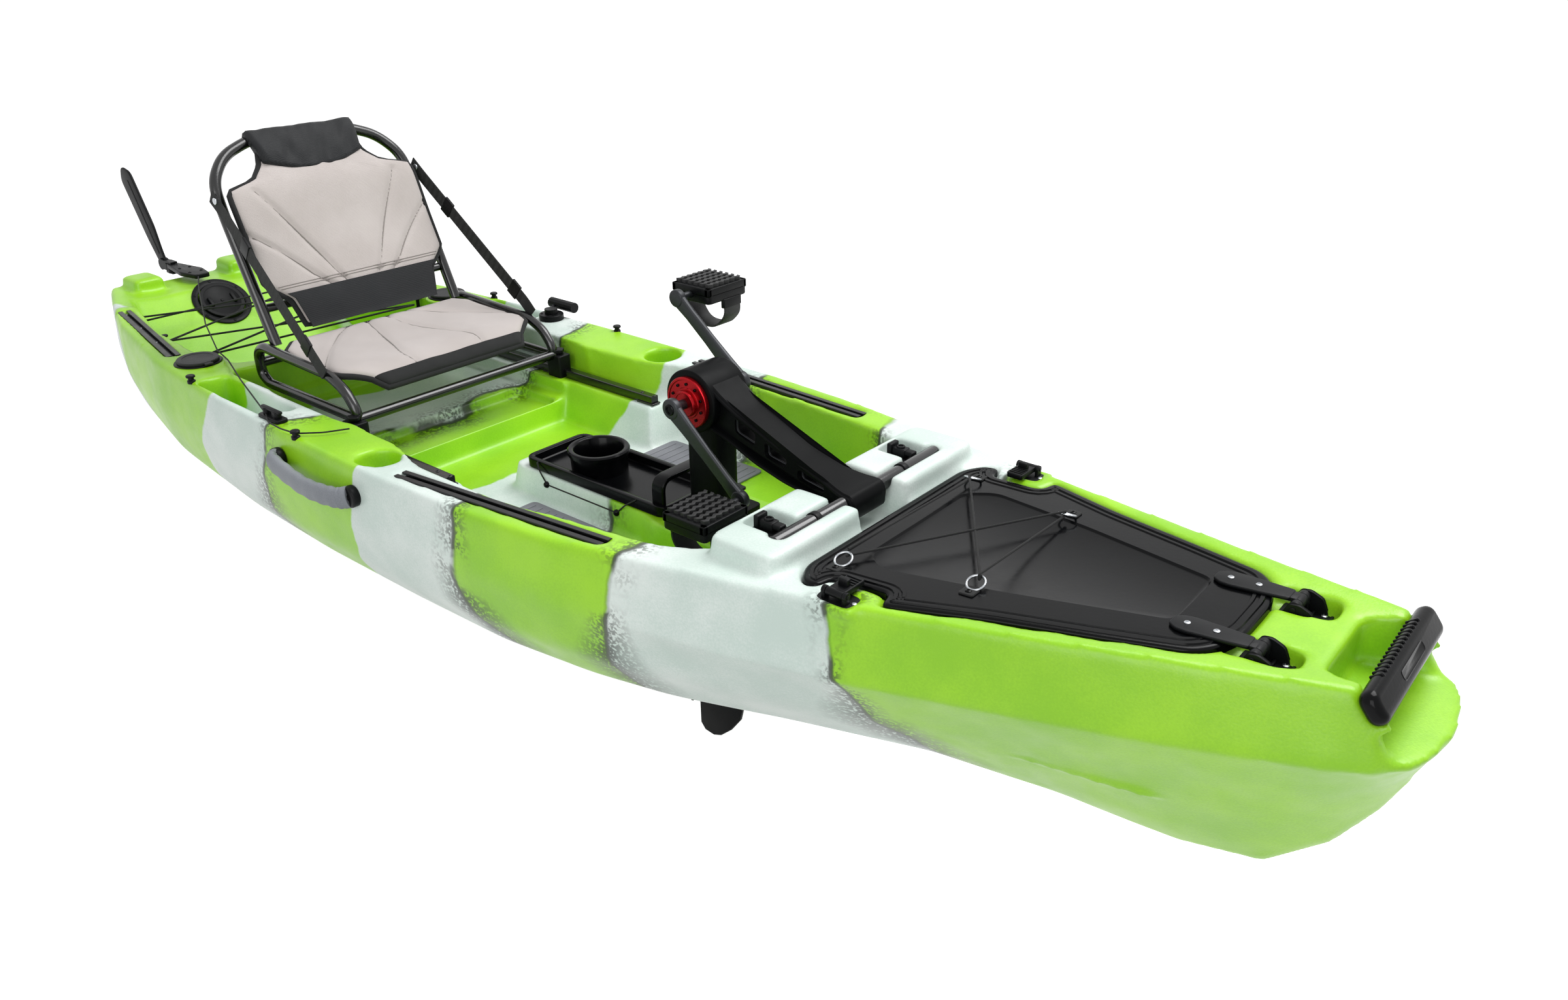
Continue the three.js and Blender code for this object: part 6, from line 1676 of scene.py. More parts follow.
@dataclass
class Seat:
    """The fabric chair on its bent tube frames."""

    tube: float = 0.011
    back_tube: float = 0.012
    loop_half: float = 0.258
    back_half: float = 0.2347

    def padded(self, name: str, cloth: Cloth, seams: Sequence[SeamLine], look: str) -> None:
        """Makes a panel's cushion and its piping.

        Args:
            name: The CAD node that it stands for.
            cloth: The panel.
            seams: Its seams.
            look: Its finish.
        """
        body = "seat" if name == "seat_pan" else "seat_back"
        bm = bmesh.new()
        cloth.surface(bm, fan_seams(seams, cloth.half))
        item = piece(f"{name}_cloth", bm, look, body, Slot.FABRIC, name, angle=70.0)
        edging = bmesh.new()
        tube(edging, cloth.border(0.0, 0.002), 0.0066, 12)
        piece(f"{name}_piping", edging, "piping", body, Slot.WEBBING)

    def seam_threads(self) -> None:
        """Lays the double stitching along the seams of both panels."""
        for name, cloth, seams, body in (
            ("seat_pan", PAN, PAN_SEAMS, "seat"),
            ("back_pad", BACK, BACK_SEAMS, "seat_back"),
        ):
            bm = bmesh.new()
            lift = cloth.thickness / 2 + cloth.bulge - 0.0046
            for seam in seams:
                for side in (-1, 1):
                    route = []
                    for step in range(49):
                        v = 0.02 + 0.96 * step / 48
                        u = seam.at(v)
                        if u is not None and u < 0.97:
                            route.append(cloth.place(side * u, v, lift))
                    if len(route) > 3:
                        tube(bm, route, 0.0012, 6)
            if cloth is BACK:
                shares = [0.96 * (step / 24 - 1) for step in range(49)]
                for v in (0.79, 0.803):
                    tube(bm, [cloth.place(u, v, cloth.skin(u, v, 1)) for u in shares], 0.0011, 6)
            piece(f"{name}_stitching", bm, "thread", body, Slot.FABRIC)

    def front_border(self) -> None:
        """Sews the wide black border over the seat cloth's front edge."""
        bm = bmesh.new()
        PAN.band(bm, 0.905, 1.0)
        piece("seat_pan_border", bm, "piping", "seat", Slot.WEBBING, angle=70.0)

    def headrest(self) -> None:
        """Wraps the black sleeve round the back frame's top."""
        rows = 44
        profile = ((-0.846, 0.77), (-0.862, 0.806), (-0.882, 0.838), (-0.898, 0.849))
        line, normals = even_profile(profile, 12, rows)

        def at(u: float, v: float, side: float) -> Vector:
            """Finds a place on the sleeve's skin, with its swell and folds.

            Args:
                u: Share across, from -1 to 1.
                v: Share along the sleeve's profile.
                side: 1 or -1, which gives each skin its own folds.

            Returns:
                The place.
            """
            dip = (0.3 * u * u - 0.06) * (1 - v)
            down = min(max(v + dip, 0.0), 1.0) * rows
            half = 0.116 + 0.014 * down / rows
            swell = swollen(min((1 - abs(u)) * half, v * 0.1, (1 - v) * 0.1), 0.012)
            fold = noise.noise(Vector((u * 3.2 + v, v * 1.1, 2.0 + side))) * 0.005
            fold += noise.noise(Vector((u * 6.5 - v * 1.5, v * 2.0, 9.0))) * 0.002
            lift = side * (0.0068 + 0.0095 * swell) + fold * swell * side
            spot = between(line, down) + between(normals, down) * lift
            return Vector((spot[0], u * half, spot[1]))

        bm = bmesh.new()
        cushion(bm, rows, 60, (1, -1), at)
        item = piece("headrest_sleeve", bm, "sleeve", "seat_back", Slot.WEBBING, angle=70.0)

    def lumbar(self) -> None:
        """Lays the black flap over the back panel's foot."""

        def at(u: float, v: float, lift: float) -> Vector:
            """Finds a place on the flap, which hangs free past the panel's end.

            Args:
                u: Share across, from -1 to 1.
                v: Share along the flap.
                lift: How far the place stands off the panel.

            Returns:
                The place.
            """
            v = 0.83 + 0.19 * v
            wave = noise.noise(Vector((u * 4.0, v * 5.0, 4.0))) * 0.0016
            past = max(v - 1.0, 0.0)
            return BACK.place(u * 0.985, min(v, 1.0), lift + wave) + Vector((past * 0.2, 0, past * -0.42))

        bm = bmesh.new()
        cushion(bm, 20, 60, (0.0125, 0.0155), at)
        piece("lumbar_flap", bm, "sleeve", "seat_back", Slot.WEBBING, angle=70.0)

    def frames(self) -> None:
        """Bends both tube frames."""
        bm = bmesh.new()
        loop = [
            (-0.618, 0.352),
            (-0.398, 0.352),
            (-0.402, 0.374),
            (-0.428, 0.406),
            (-0.48, 0.428),
            (-0.738, 0.436),
            (-0.764, 0.416),
            (-0.764, 0.368),
            (-0.738, 0.352),
            (-0.618, 0.352),
        ]
        for _, side in SIDES:
            route = rounded_route([(x, side * self.loop_half, z) for x, z in loop], 0.02)
            tube(bm, route, self.tube, 20)
        for x, z in ((-0.398, 0.352), (-0.764, 0.394)):
            tube(bm, [(x, -self.loop_half, z), (x, self.loop_half, z)], self.tube, 20)
        piece("seat_tube_frame", bm, "tube", "seat", Slot.TUBE, "seat_frame")
        bm = bmesh.new()
        shares = (
            (0, 0, 1),
            (0.15, 0.152, 1),
            (0.64, 0.65, 1),
            (0.79, 0.81, 0.985),
            (0.93, 0.925, 0.8),
            (0.985, 0.985, 0.5),
            (1, 1, 0.2),
        )
        foot, top = Vector((-0.722, 0, 0.436)), Vector((-0.9, 0, 0.844))
        rise = top - foot
        half_route = [
            foot + Vector((aft * rise.x, across * self.back_half, height * rise.z))
            for aft, height, across in shares
        ]
        route = half_route + [Vector((p.x, -p.y, p.z)) for p in reversed(half_route)]
        tube(bm, rounded_route(route, 0.046, 8), self.back_tube, 20)
        brace = (-0.7607, 0.509)
        tube(bm, [(brace[0], -self.back_half, brace[1]), (brace[0], self.back_half, brace[1])], 0.0096, 16)
        piece("back_tube_frame", bm, "tube", "seat_back", Slot.TUBE, "back_frame")

    def clamps(self) -> None:
        """Makes the clamps with their star knobs that hold the seat to the rails."""
        for name, side in SIDES:
            bm = bmesh.new()
            low, high = sorted((side * 0.251, side * 0.287))
            block(bm, (-0.417, low, 0.299), (-0.371, high, 0.353), 0.003, 0.006)
            y = side * 0.269
            turned(bm, (-0.394, y, 0.353), (0, 0, 1), soft_rod(-0.002, 0.004, 0.008, 0.001))
            outline = []
            for number in range(60):
                turn = 2 * math.pi * number / 60
                reach = 0.0148 - 0.0024 * (0.5 - 0.5 * math.cos(5 * turn))
                outline.append((-0.394 + reach * math.cos(turn), y + reach * math.sin(turn)))
            slab(bm, outline, 0.3555, 0.3645, 0.002)
            piece(f"clamp_{name}", bm, "black", "seat", Slot.BLACK, f"seat_clamp_{name}")

    def straps(self) -> None:
        """Runs the recline straps with their sliders and bolts."""
        for name, side in SIDES:
            route = [
                Vector((-0.848, side * 0.2482, 0.744)),
                Vector((-0.812, side * 0.2482, 0.716)),
                Vector((-0.5, side * 0.2705, 0.458)),
                Vector((-0.476, side * 0.2705, 0.434)),
            ]
            places = rounded_route(route, 0.012)
            bm = bmesh.new()
            section = [(-0.0012, -0.0165), (0.0012, -0.0165), (0.0012, 0.0165), (-0.0012, 0.0165)]
            sweep(bm, places, section, (0.6, 0, 0.8))
            item = piece(f"strap_{name}", bm, "webbing", None, Slot.WEBBING, f"back_strap_{name}")
            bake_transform(item)
            bm = bmesh.new()
            along = (route[2] - route[1]).normalized()
            turn = along.to_track_quat("X", "Z").to_matrix().to_4x4()
            outline = rounded_outline(rectangle(-0.015, 0.015, -0.003, 0.003), 0.002)
            for share in (0.25, 0.9):
                spot = Matrix.Translation(route[1].lerp(route[2], share)) @ turn
                slab(bm, outline, -0.02, 0.02, 0.0008, spot)
            piece(f"slider_{name}", bm, "black", "seat", Slot.BLACK)
            bm = bmesh.new()
            bolt = (-0.83, side * 0.2465, 0.736)
            turned(bm, bolt, (0, side, 0), soft_rod(-0.003, 0.0062, 0.0075, 0.0015), 24)
            piece(f"strap_bolt_{name}", bm, "steel", "seat_back", Slot.STEEL)

    def build(self) -> None:
        """Makes the whole seat."""
        self.frames()
        self.padded("seat_pan", PAN, PAN_SEAMS, "pan_cloth")
        self.padded("back_pad", BACK, BACK_SEAMS, "back_cloth")
        self.seam_threads()
        self.front_border()
        self.headrest()
        self.lumbar()
        self.clamps()
        self.straps()


# Drive


@dataclass(frozen=True)
class DriveSizes:
    """Where the pedal drive's main shapes lie."""

    axis: tuple[float, float] = (0.342, 0.506)
    root: tuple[float, float] = (0.342, 0.409)
    reach: tuple[float, float] = (0.341, 0.097)
    barrel: float = 0.058
    half: float = 0.046
    gearcase: float = -0.098

    def at(self, along: float, up: float) -> tuple[float, float]:
        """A place on the arm's side, from its shares."""
        return self.root[0] + along * self.reach[0], self.root[1] + up * self.reach[1]


ARM_SHARES = (
    (-0.02, 1.57),
    (0.09, 1.5),
    (0.18, 1.24),
    (0.28, 1.02),
    (0.46, 0.75),
    (0.66, 0.46),
    (0.83, 0.28),
    (0.95, 0.19),
    (1.04, 0.17),
    (1.066, 0.02),
    (1.06, -0.32),
    (0.98, -0.34),
    (0.87, -0.24),
    (0.6, -0.15),
    (0.39, 0.08),
    (0.21, 0.38),
    (0.11, 0.5),
    (0.05, 0.49),
)
WINDOW_SHARES = (
    ((0.262, 0.86), (0.409, 0.68), (0.393, 0.42), (0.263, 0.58)),
    ((0.463, 0.58), (0.618, 0.38), (0.591, 0.2), (0.465, 0.3)),
    ((0.68, 0.28), (0.85, 0.13), (0.85, -0.02), (0.68, 0.06)),
)
PLAN_SHARES = ((-0.12, 0.98), (0.1, 0.8), (0.32, 0.68), (0.62, 0.58), (0.84, 0.68), (1, 0.98), (1.08, 0.98))
SKEG_OUTLINE = (
    (0.29, -0.098),
    (0.29, -0.232),
    (0.302, -0.247),
    (0.326, -0.25),
    (0.346, -0.242),
    (0.374, -0.216),
    (0.4, -0.18),
    (0.42, -0.098),
)


@dataclass
class Drive:
    """The pedal drive: cover, leg, gearcase, cranks, pedals and propeller."""

    sizes: DriveSizes = DriveSizes()
    arm_out: float = 0.0823
    arm_end: float = 0.097
    starboard_tip: tuple[float, float] = (0.4952, 0.3774)
    port_tip: tuple[float, float] = (0.1888, 0.6346)
    spindle_end: float = 0.2202

    def cover(self) -> None:
        """Makes the ribbon cover over the barrel and down to the cross bar, with its leg."""
        s = self.sizes
        bm = bmesh.new()
        outline = [s.at(*share) for share in ARM_SHARES][::-1]
        outline = rounded_outline(outline, 0.016, 5)
        rings = []
        plan = np.array(PLAN_SHARES)

        def half_at(x: float) -> float:
            """Half of the cover's width at x."""
            return float(np.interp((x - s.root[0]) / s.reach[0], plan[:, 0], plan[:, 1])) * s.half

        for side in (-1, 1):
            rows = []
            for inset, sink in ((0.0125, 0.011), (0.0105, 0.0), (0.0025, 0.0), (0.0, 0.0022)):
                shape = inset_outline(outline, inset)
                rows.append([Vector((x, side * (half_at(x) - sink), z)) for x, z in shape])
            rings.append(rows)
        skin = [*rings[0], *rings[1][::-1]]
        loops = [[bm.verts.new(p) for p in row] for row in skin]
        count = len(loops[0])
        for a, b in zip(loops, loops[1:]):
            for i in range(count):
                j = (i + 1) % count
                bm.faces.new((a[i], a[j], b[j], b[i]))
        bm.faces.new(loops[0])
        bm.faces.new(loops[-1][::-1])
        bm = self.windowed(bm)
        turned(bm, (s.axis[0], 0, s.axis[1]), (0, 1, 0), soft_rod(-s.half, s.half, s.barrel, 0.003), 64)
        self.leg(bm)
        piece("drive_cover", bm, "satin", "drive", Slot.GLOSS, "drive_housing", angle=34.0)
        self.ribs(half_at)
        self.windows(half_at)

    def windowed(self, bm: BMesh) -> BMesh:
        """Cuts the windows right through the ribbon.

        Args:
            bm: The closed ribbon, which is used up.

        Returns:
            The ribbon with its windows.
        """
        bmesh.ops.triangulate(bm, faces=bm.faces)
        bmesh.ops.recalc_face_normals(bm, faces=bm.faces)
        cutters = bmesh.new()
        for shares in WINDOW_SHARES:
            outline = rounded_outline([self.sizes.at(*share) for share in shares], 0.008, 5)
            ring_mesh(cutters, [[Vector((x, y, z)) for x, z in outline] for y in (-0.08, 0.08)])
        bmesh.ops.recalc_face_normals(cutters, faces=cutters.faces)
        ribbon, cutter = working_object(bm), working_object(cutters)
        cut = ribbon.modifiers.new("windows", "BOOLEAN")
        cut.operation, cut.solver, cut.object = "DIFFERENCE", "EXACT", cutter
        mesh = applied(ribbon)
        bpy.data.objects.remove(cutter)
        whole = bmesh.new()
        whole.from_mesh(mesh)
        bpy.data.meshes.remove(mesh)
        return whole

    def ribs(self, half_at: Callable[[float], float]) -> None:
        """Runs the raised rib along the cover's edges on both sides.

        Args:
            half_at: Half of the cover's width at an X.
        """
        edge = rounded_outline([self.sizes.at(*share) for share in ARM_SHARES][::-1], 0.016, 5)
        outline = inset_outline(edge, 0.0062)
        for name, side in SIDES:
            bm = bmesh.new()
            route = [Vector((x, side * (half_at(x) + 0.0004), z)) for x, z in outline]
            tube(bm, [*route, route[0]], 0.0036, 8)
            piece(f"cover_rib_{name}", bm, "satin", "drive", Slot.GLOSS)

    def windows(self, half_at: Callable[[float], float]) -> None:
        """Edges each window with a small bead whose lighter grey paints the highlight along the window edges.

        Args:
            half_at: Half of the cover's width at an X.
        """
        s = self.sizes
        for name, side in SIDES:
            bm = bmesh.new()
            for shares in WINDOW_SHARES:
                outline = rounded_outline([s.at(*share) for share in shares][::-1], 0.008, 5)
                route = [Vector((x, side * (half_at(x) - 0.0105), z)) for x, z in outline]
                tube(bm, [*route, route[0]], 0.0018, 8)
            # The beads' lighter grey metal finish is a painted highlight along the window edges.
            piece(f"cover_windows_{name}", bm, "crank", "drive", Slot.GLOSS)

    def leg(self, bm: BMesh) -> None:
        """Adds the leg, the foot plate, the fin, the gearcase and the skeg.

        Args:
            bm: The cover's mesh.
        """
        s = self.sizes
        shape = rounded_outline(rectangle(0.306, 0.392, -0.028, 0.028), 0.02, 6)
        slab(bm, shape, 0.282, 0.497, 0.001)
        slab(bm, rounded_outline(rectangle(0.298, 0.406, -0.054, 0.07), 0.012, 5), 0.2703, 0.282, 0.002)
        fin = [(0.312, 0.0), (0.322, -0.012), (0.344, -0.018), (0.364, -0.014), (0.386, 0.0)]
        fin += [(x, -y) for x, y in reversed(fin[1:-1])]
        slab(bm, rounded_outline(fin, 0.006, 3), s.gearcase, 0.2815, 0.001)
        rows = [(0.292, 0.02), (0.2935, 0.0225), (0.297, 0.024), (0.4, 0.024)]
        rows += [(0.412, 0.0232), (0.424, 0.019), (0.434, 0.0125), (0.438, 0.0065)]
        turned(bm, (0, 0, s.gearcase), (1, 0, 0), rows, 48)
        side_plate(bm, list(SKEG_OUTLINE), -0.005, 0.005, 0.0035)

    def discs(self) -> None:
        """Makes the red anodised discs with their hubs and the rings of small screws."""
        s = self.sizes
        for name, side in SIDES:
            bm = bmesh.new()
            low = 0.0463
            profile = [
                (low, 0.046),
                (low + 0.0006, 0.047),
                (low + 0.0078, 0.047),
                (low + 0.009, 0.0458),
                (low + 0.009, 0.0425),
                (low + 0.0072, 0.0412),
                (low + 0.0072, 0.0285),
                (low + 0.009, 0.0272),
                (low + 0.009, 0.0245),
                (low + 0.0158, 0.0236),
                (low + 0.017, 0.0225),
                (low + 0.017, 0.0195),
                (low + 0.0155, 0.0185),
            ]
            turned(bm, (s.axis[0], 0, s.axis[1]), (0, side, 0), profile, 96)
            piece(f"disc_{name}", bm, "red", "drive", Slot.RED, f"bearing_disc_{name}")
            bm, head = bmesh.new(), bmesh.new()
            profile = [(0.0066, 0.0028), (0.0092, 0.0028), (0.0096, 0.0023), (0.0096, 0.0015)]
            turned(head, (0, side * low, 0), (0, side, 0), [*profile, (0.0084, 0.0014)], 14)
            turns = [2 * math.pi * (number + 0.5) / 10 for number in range(10)]
            ring = [(s.axis[0] + 0.0348 * math.cos(t), 0, s.axis[1] + 0.0348 * math.sin(t)) for t in turns]
            set_out(bm, head, "gloss", ring)
            piece(f"disc_screws_{name}", bm, "gloss", "drive", Slot.STEEL)

    def cranks(self) -> None:
        """Makes the axle and both forged crank arms with their spindles."""
        s = self.sizes
        bm = bmesh.new()
        rows = [(-self.arm_end, 0.0092), (self.arm_end, 0.0092)]
        turned(bm, (s.axis[0], 0, s.axis[1]), (0, 1, 0), rows, 32)
        piece("crank_spindle", bm, "crank", "crank", Slot.SATIN, "crank_axle")
        for (name, side), tip in zip(SIDES, (self.starboard_tip, self.port_tip)):
            bm = bmesh.new()
            root = Vector((s.axis[0], 0, s.axis[1]))
            end = Vector((tip[0], 0, tip[1]))
            along = (end - root).normalized()
            across = Vector((-along.z, 0, along.x))
            length = (end - root).length
            rings = []
            for share, half, low, high in (
                (0.05, 0.0165, self.arm_out + 0.001, self.arm_end - 0.001),
                (0.2, 0.0148, self.arm_out + 0.0022, self.arm_end - 0.0012),
                (0.5, 0.0128, self.arm_out + 0.0028, self.arm_end - 0.0016),
                (0.8, 0.0124, self.arm_out + 0.0022, self.arm_end - 0.0012),
                (0.96, 0.0142, self.arm_out + 0.001, self.arm_end - 0.001),
            ):
                centre = root + along * (share * length)
                section = rounded_outline(rectangle(-half, half, low, high), 0.0045, 4)
                rings.append([centre + across * a + Vector((0, side * b, 0)) for a, b in section])
            ring_mesh(bm, rings)
            boss = soft_rod(self.arm_out, self.arm_end, 0.019, 0.003)
            turned(bm, root, (0, side, 0), boss, 40)
            tip_boss = soft_rod(self.arm_out, self.arm_end, 0.0168, 0.003)
            turned(bm, end, (0, side, 0), tip_boss, 36)
            turned(bm, end, (0, side, 0), [(self.arm_end - 0.001, 0.007), (self.spindle_end, 0.007)], 24)
            piece(f"crank_{name}", bm, "crank", "crank", Slot.SATIN, f"crank_arm_{name}")
            bm = bmesh.new()
            cap = ((-0.001, 0.0105), (0.0012, 0.0102), (0.0022, 0.009), (0.0022, 0.0062), (0.0006, 0.0055))
            turned(bm, root, (0, side, 0), [(self.arm_end + out, radius) for out, radius in cap], 32)
            piece(f"crank_bolt_{name}", bm, "gloss", "crank", Slot.SATIN)

    def pedals(self) -> None:
        """Makes both pedals with their zigzag treads and strap loops."""
        for name, body, side, tip in (
            ("starboard", "pedal_right_out", -1, self.starboard_tip),
            ("port", "pedal_left_out", 1, self.port_tip),
        ):
            cx, cz = tip
            low, high = sorted((side * 0.123, side * 0.231))
            bm = bmesh.new()
            outline = rounded_outline(rectangle(cx - 0.048, cx + 0.048, low, high), 0.01, 4)
            slab(bm, outline, cz - 0.014, cz + 0.006, 0.003)
            for x in (-0.041, 0.041):
                block(bm, (cx + x - 0.007, low, cz), (cx + x + 0.007, high, cz + 0.016), 0.002, 0.004)
            for y in (low + 0.006, high - 0.006):
                block(bm, (cx - 0.048, y - 0.006, cz), (cx + 0.048, y + 0.006, cz + 0.016), 0.002, 0.004)
            stud = bmesh.new()
            turned(stud, (0, 0, 0), (0, 0, -1), soft_rod(-0.001, 0.0015, 0.004, 0.0005), 12)
            ends = (low + 0.01, high - 0.01)
            set_out(bm, stud, "black", [(cx + x, y, cz - 0.014) for y in ends for x in (-0.036, 0.036)])
            piece(f"pedal_body_{name}", bm, "black", body, Slot.BLACK, f"pedal_{name}")
            bm = bmesh.new()
            tread, teeth, half = bmesh.new(), 12, 0.045
            front, back = [], []
            for number in range(teeth + 1):
                y = half * (2 * number / teeth - 1)
                sway = 0.0022 if number % 2 else -0.0022
                front.append((sway + 0.0038, y))
                back.append((sway - 0.0038, y))
            slab(tread, front + back[::-1], 0.01, 0.0225, 0.0008)
            set_out(bm, tread, "rubber", [(cx + 0.015 * (n - 2.5), (low + high) / 2, cz) for n in range(6)])
            piece(f"pedal_tread_{name}", bm, "rubber", body, Slot.BLACK)
            self.toe_strap(name, body, side, cx, cz)

    def toe_strap(self, name: str, body: str, side: int, cx: float, cz: float) -> None:
        """Loops the wide strap under a pedal, with its two buckles.

        Args:
            name: The pedal's side of the kayak.
            body: The pedal's body.
            side: 1 to port, -1 to starboard.
            cx: The pedal's place in X.
            cz: The pedal's height.
        """
        width, thick = 0.044, 0.004
        points = ((-0.46, -0.1), (-0.54, -0.42), (-0.3, -0.75), (0.23, -0.75), (0.52, -0.44), (0.46, -0.1))
        y = side * 0.1878
        route = rounded_route([(cx + 0.096 * a, y, cz + 0.096 * b) for a, b in points], 0.024)
        bm = bmesh.new()
        section = rounded_outline(rectangle(-width / 2, width / 2, -thick / 2, thick / 2), 0.0012, 2)
        sweep(bm, route, section, (1, 0, 0))
        piece(f"toe_strap_{name}", bm, "rubber", body, Slot.BLACK)
        bm = bmesh.new()
        for x in (cx - 0.0455, cx + 0.0455):
            block(bm, (x - 0.0045, y - 0.025, cz - 0.029), (x + 0.0045, y + 0.025, cz - 0.011), 0.0015, 0.003)
        piece(f"strap_buckles_{name}", bm, "black", body, Slot.BLACK)

    def screw(self) -> None:
        """Makes the propeller with its twisted blades and its short shaft."""
        z = self.sizes.gearcase
        bm = bmesh.new()
        hub = [(0.244, 0.0068), (0.2465, 0.0105), (0.252, 0.0145), (0.26, 0.017)]
        hub += [(0.286, 0.017), (0.288, 0.0155), (0.288, 0.006), (0.333, 0.006)]
        turned(bm, (0, 0, z), (1, 0, 0), hub, 40)
        for end in (0, math.pi):
            rings = []
            for reach, chord, turn, thick in (
                (0.012, 0.026, 38, 0.0068),
                (0.03, 0.038, 46, 0.0058),
                (0.05, 0.048, 56, 0.0048),
                (0.068, 0.046, 62, 0.004),
                (0.08, 0.034, 66, 0.003),
                (0.0875, 0.014, 68, 0.0018),
            ):
                lean = Matrix.Rotation(math.radians(turn), 2)
                section = [lean @ Vector((a * chord, b * thick)) for a, b in circle(0.5, 20)]
                around = Matrix.Rotation(end, 3, "X")
                middle = Vector((0.271, 0, z))
                rings.append([around @ Vector((a * 0.9, b, reach)) + middle for a, b in section])
            ring_mesh(bm, rings)
        piece("screw_propeller", bm, "black", "screw", Slot.BLACK, "propeller")

    def bar(self) -> None:
        """Lays the cross bar that the drive hangs on."""
        bm = bmesh.new()
        turned(bm, (0.683, 0, 0.409), (0, 1, 0), soft_rod(-0.226, 0.226, 0.013, 0.002), 40)
        piece("hanging_bar", bm, "tube", "drive", Slot.TUBE, "cross_bar")
        bm = bmesh.new()
        for y in (-0.122, 0.122):
            turned(bm, (0.683, 0, 0.409), (0, 1, 0), soft_rod(y - 0.006, y + 0.006, 0.0152, 0.001), 40)
        piece("bar_collars", bm, "black", "drive", Slot.TUBE)

    def build(self) -> None:
        """Makes the whole drive."""
        self.cover()
        self.discs()
        self.cranks()
        self.pedals()
        self.screw()
        self.bar()


# Hatch, console and deck fittings


def open_rings(bm: BMesh, rings: Sequence[Sequence[Vector]]) -> list[list[BMVert]]:
    """Skins rings of equal count without caps.

    Args:
        bm: The mesh that takes them.
        rings: The rings.

    Returns:
        The rings' corners.
    """
    rows = [[bm.verts.new(p) for p in ring] for ring in rings]
    count = len(rows[0])
    for low, high in zip(rows, rows[1:]):
        for i in range(count):
            j = (i + 1) % count
            bm.faces.new((low[i], low[j], high[j], high[i]))
    return rows


def fill_between(bm: BMesh, *loops: Sequence[BMVert]) -> None:
    """Fills the flat face between closed loops of corners.

    Args:
        bm: The mesh that holds them.
        loops: The loops.
    """
    edges = []
    for loop in loops:
        for a, b in zip(loop, list(loop[1:]) + [loop[0]]):
            edges.append(bm.edges.get((a, b)) or bm.edges.new((a, b)))
    bmesh.ops.triangle_fill(bm, use_beauty=True, edges=edges)


def cad_points(name: str) -> list[Vector]:
    """Every corner of a CAD node's mesh, in its place."""
    source = bpy.data.objects[name]
    return [source.matrix_world @ v.co for v in source.data.vertices]


def share_outline(
    aft: float, fore: float, half: float, shares: Pairs, corner: float
) -> Outline:
    """Makes a mirrored outline.

    Args:
        aft: Where it starts in X.
        fore: Where it ends.
        half: Its half width.
        shares: [share of the length, share of the half width] pairs.
        corner: How far its corners are rounded.

    Returns:
        The outline, anticlockwise.
    """
    port = [(aft + a * (fore - aft), h * half) for a, h in shares]
    return rounded_outline(mirrored(port), corner, 5)


def lid_frame() -> Matrix:
    """Turns the lid's own flat frame into its place.

    Returns:
        The turn about the hinge.
    """
    x, z = HATCH_HINGE
    turn = Matrix.Rotation(-HATCH_TILT, 4, "Y")
    return Matrix.Translation((x, 0, z)) @ turn @ Matrix.Translation((-x, 0, -z))


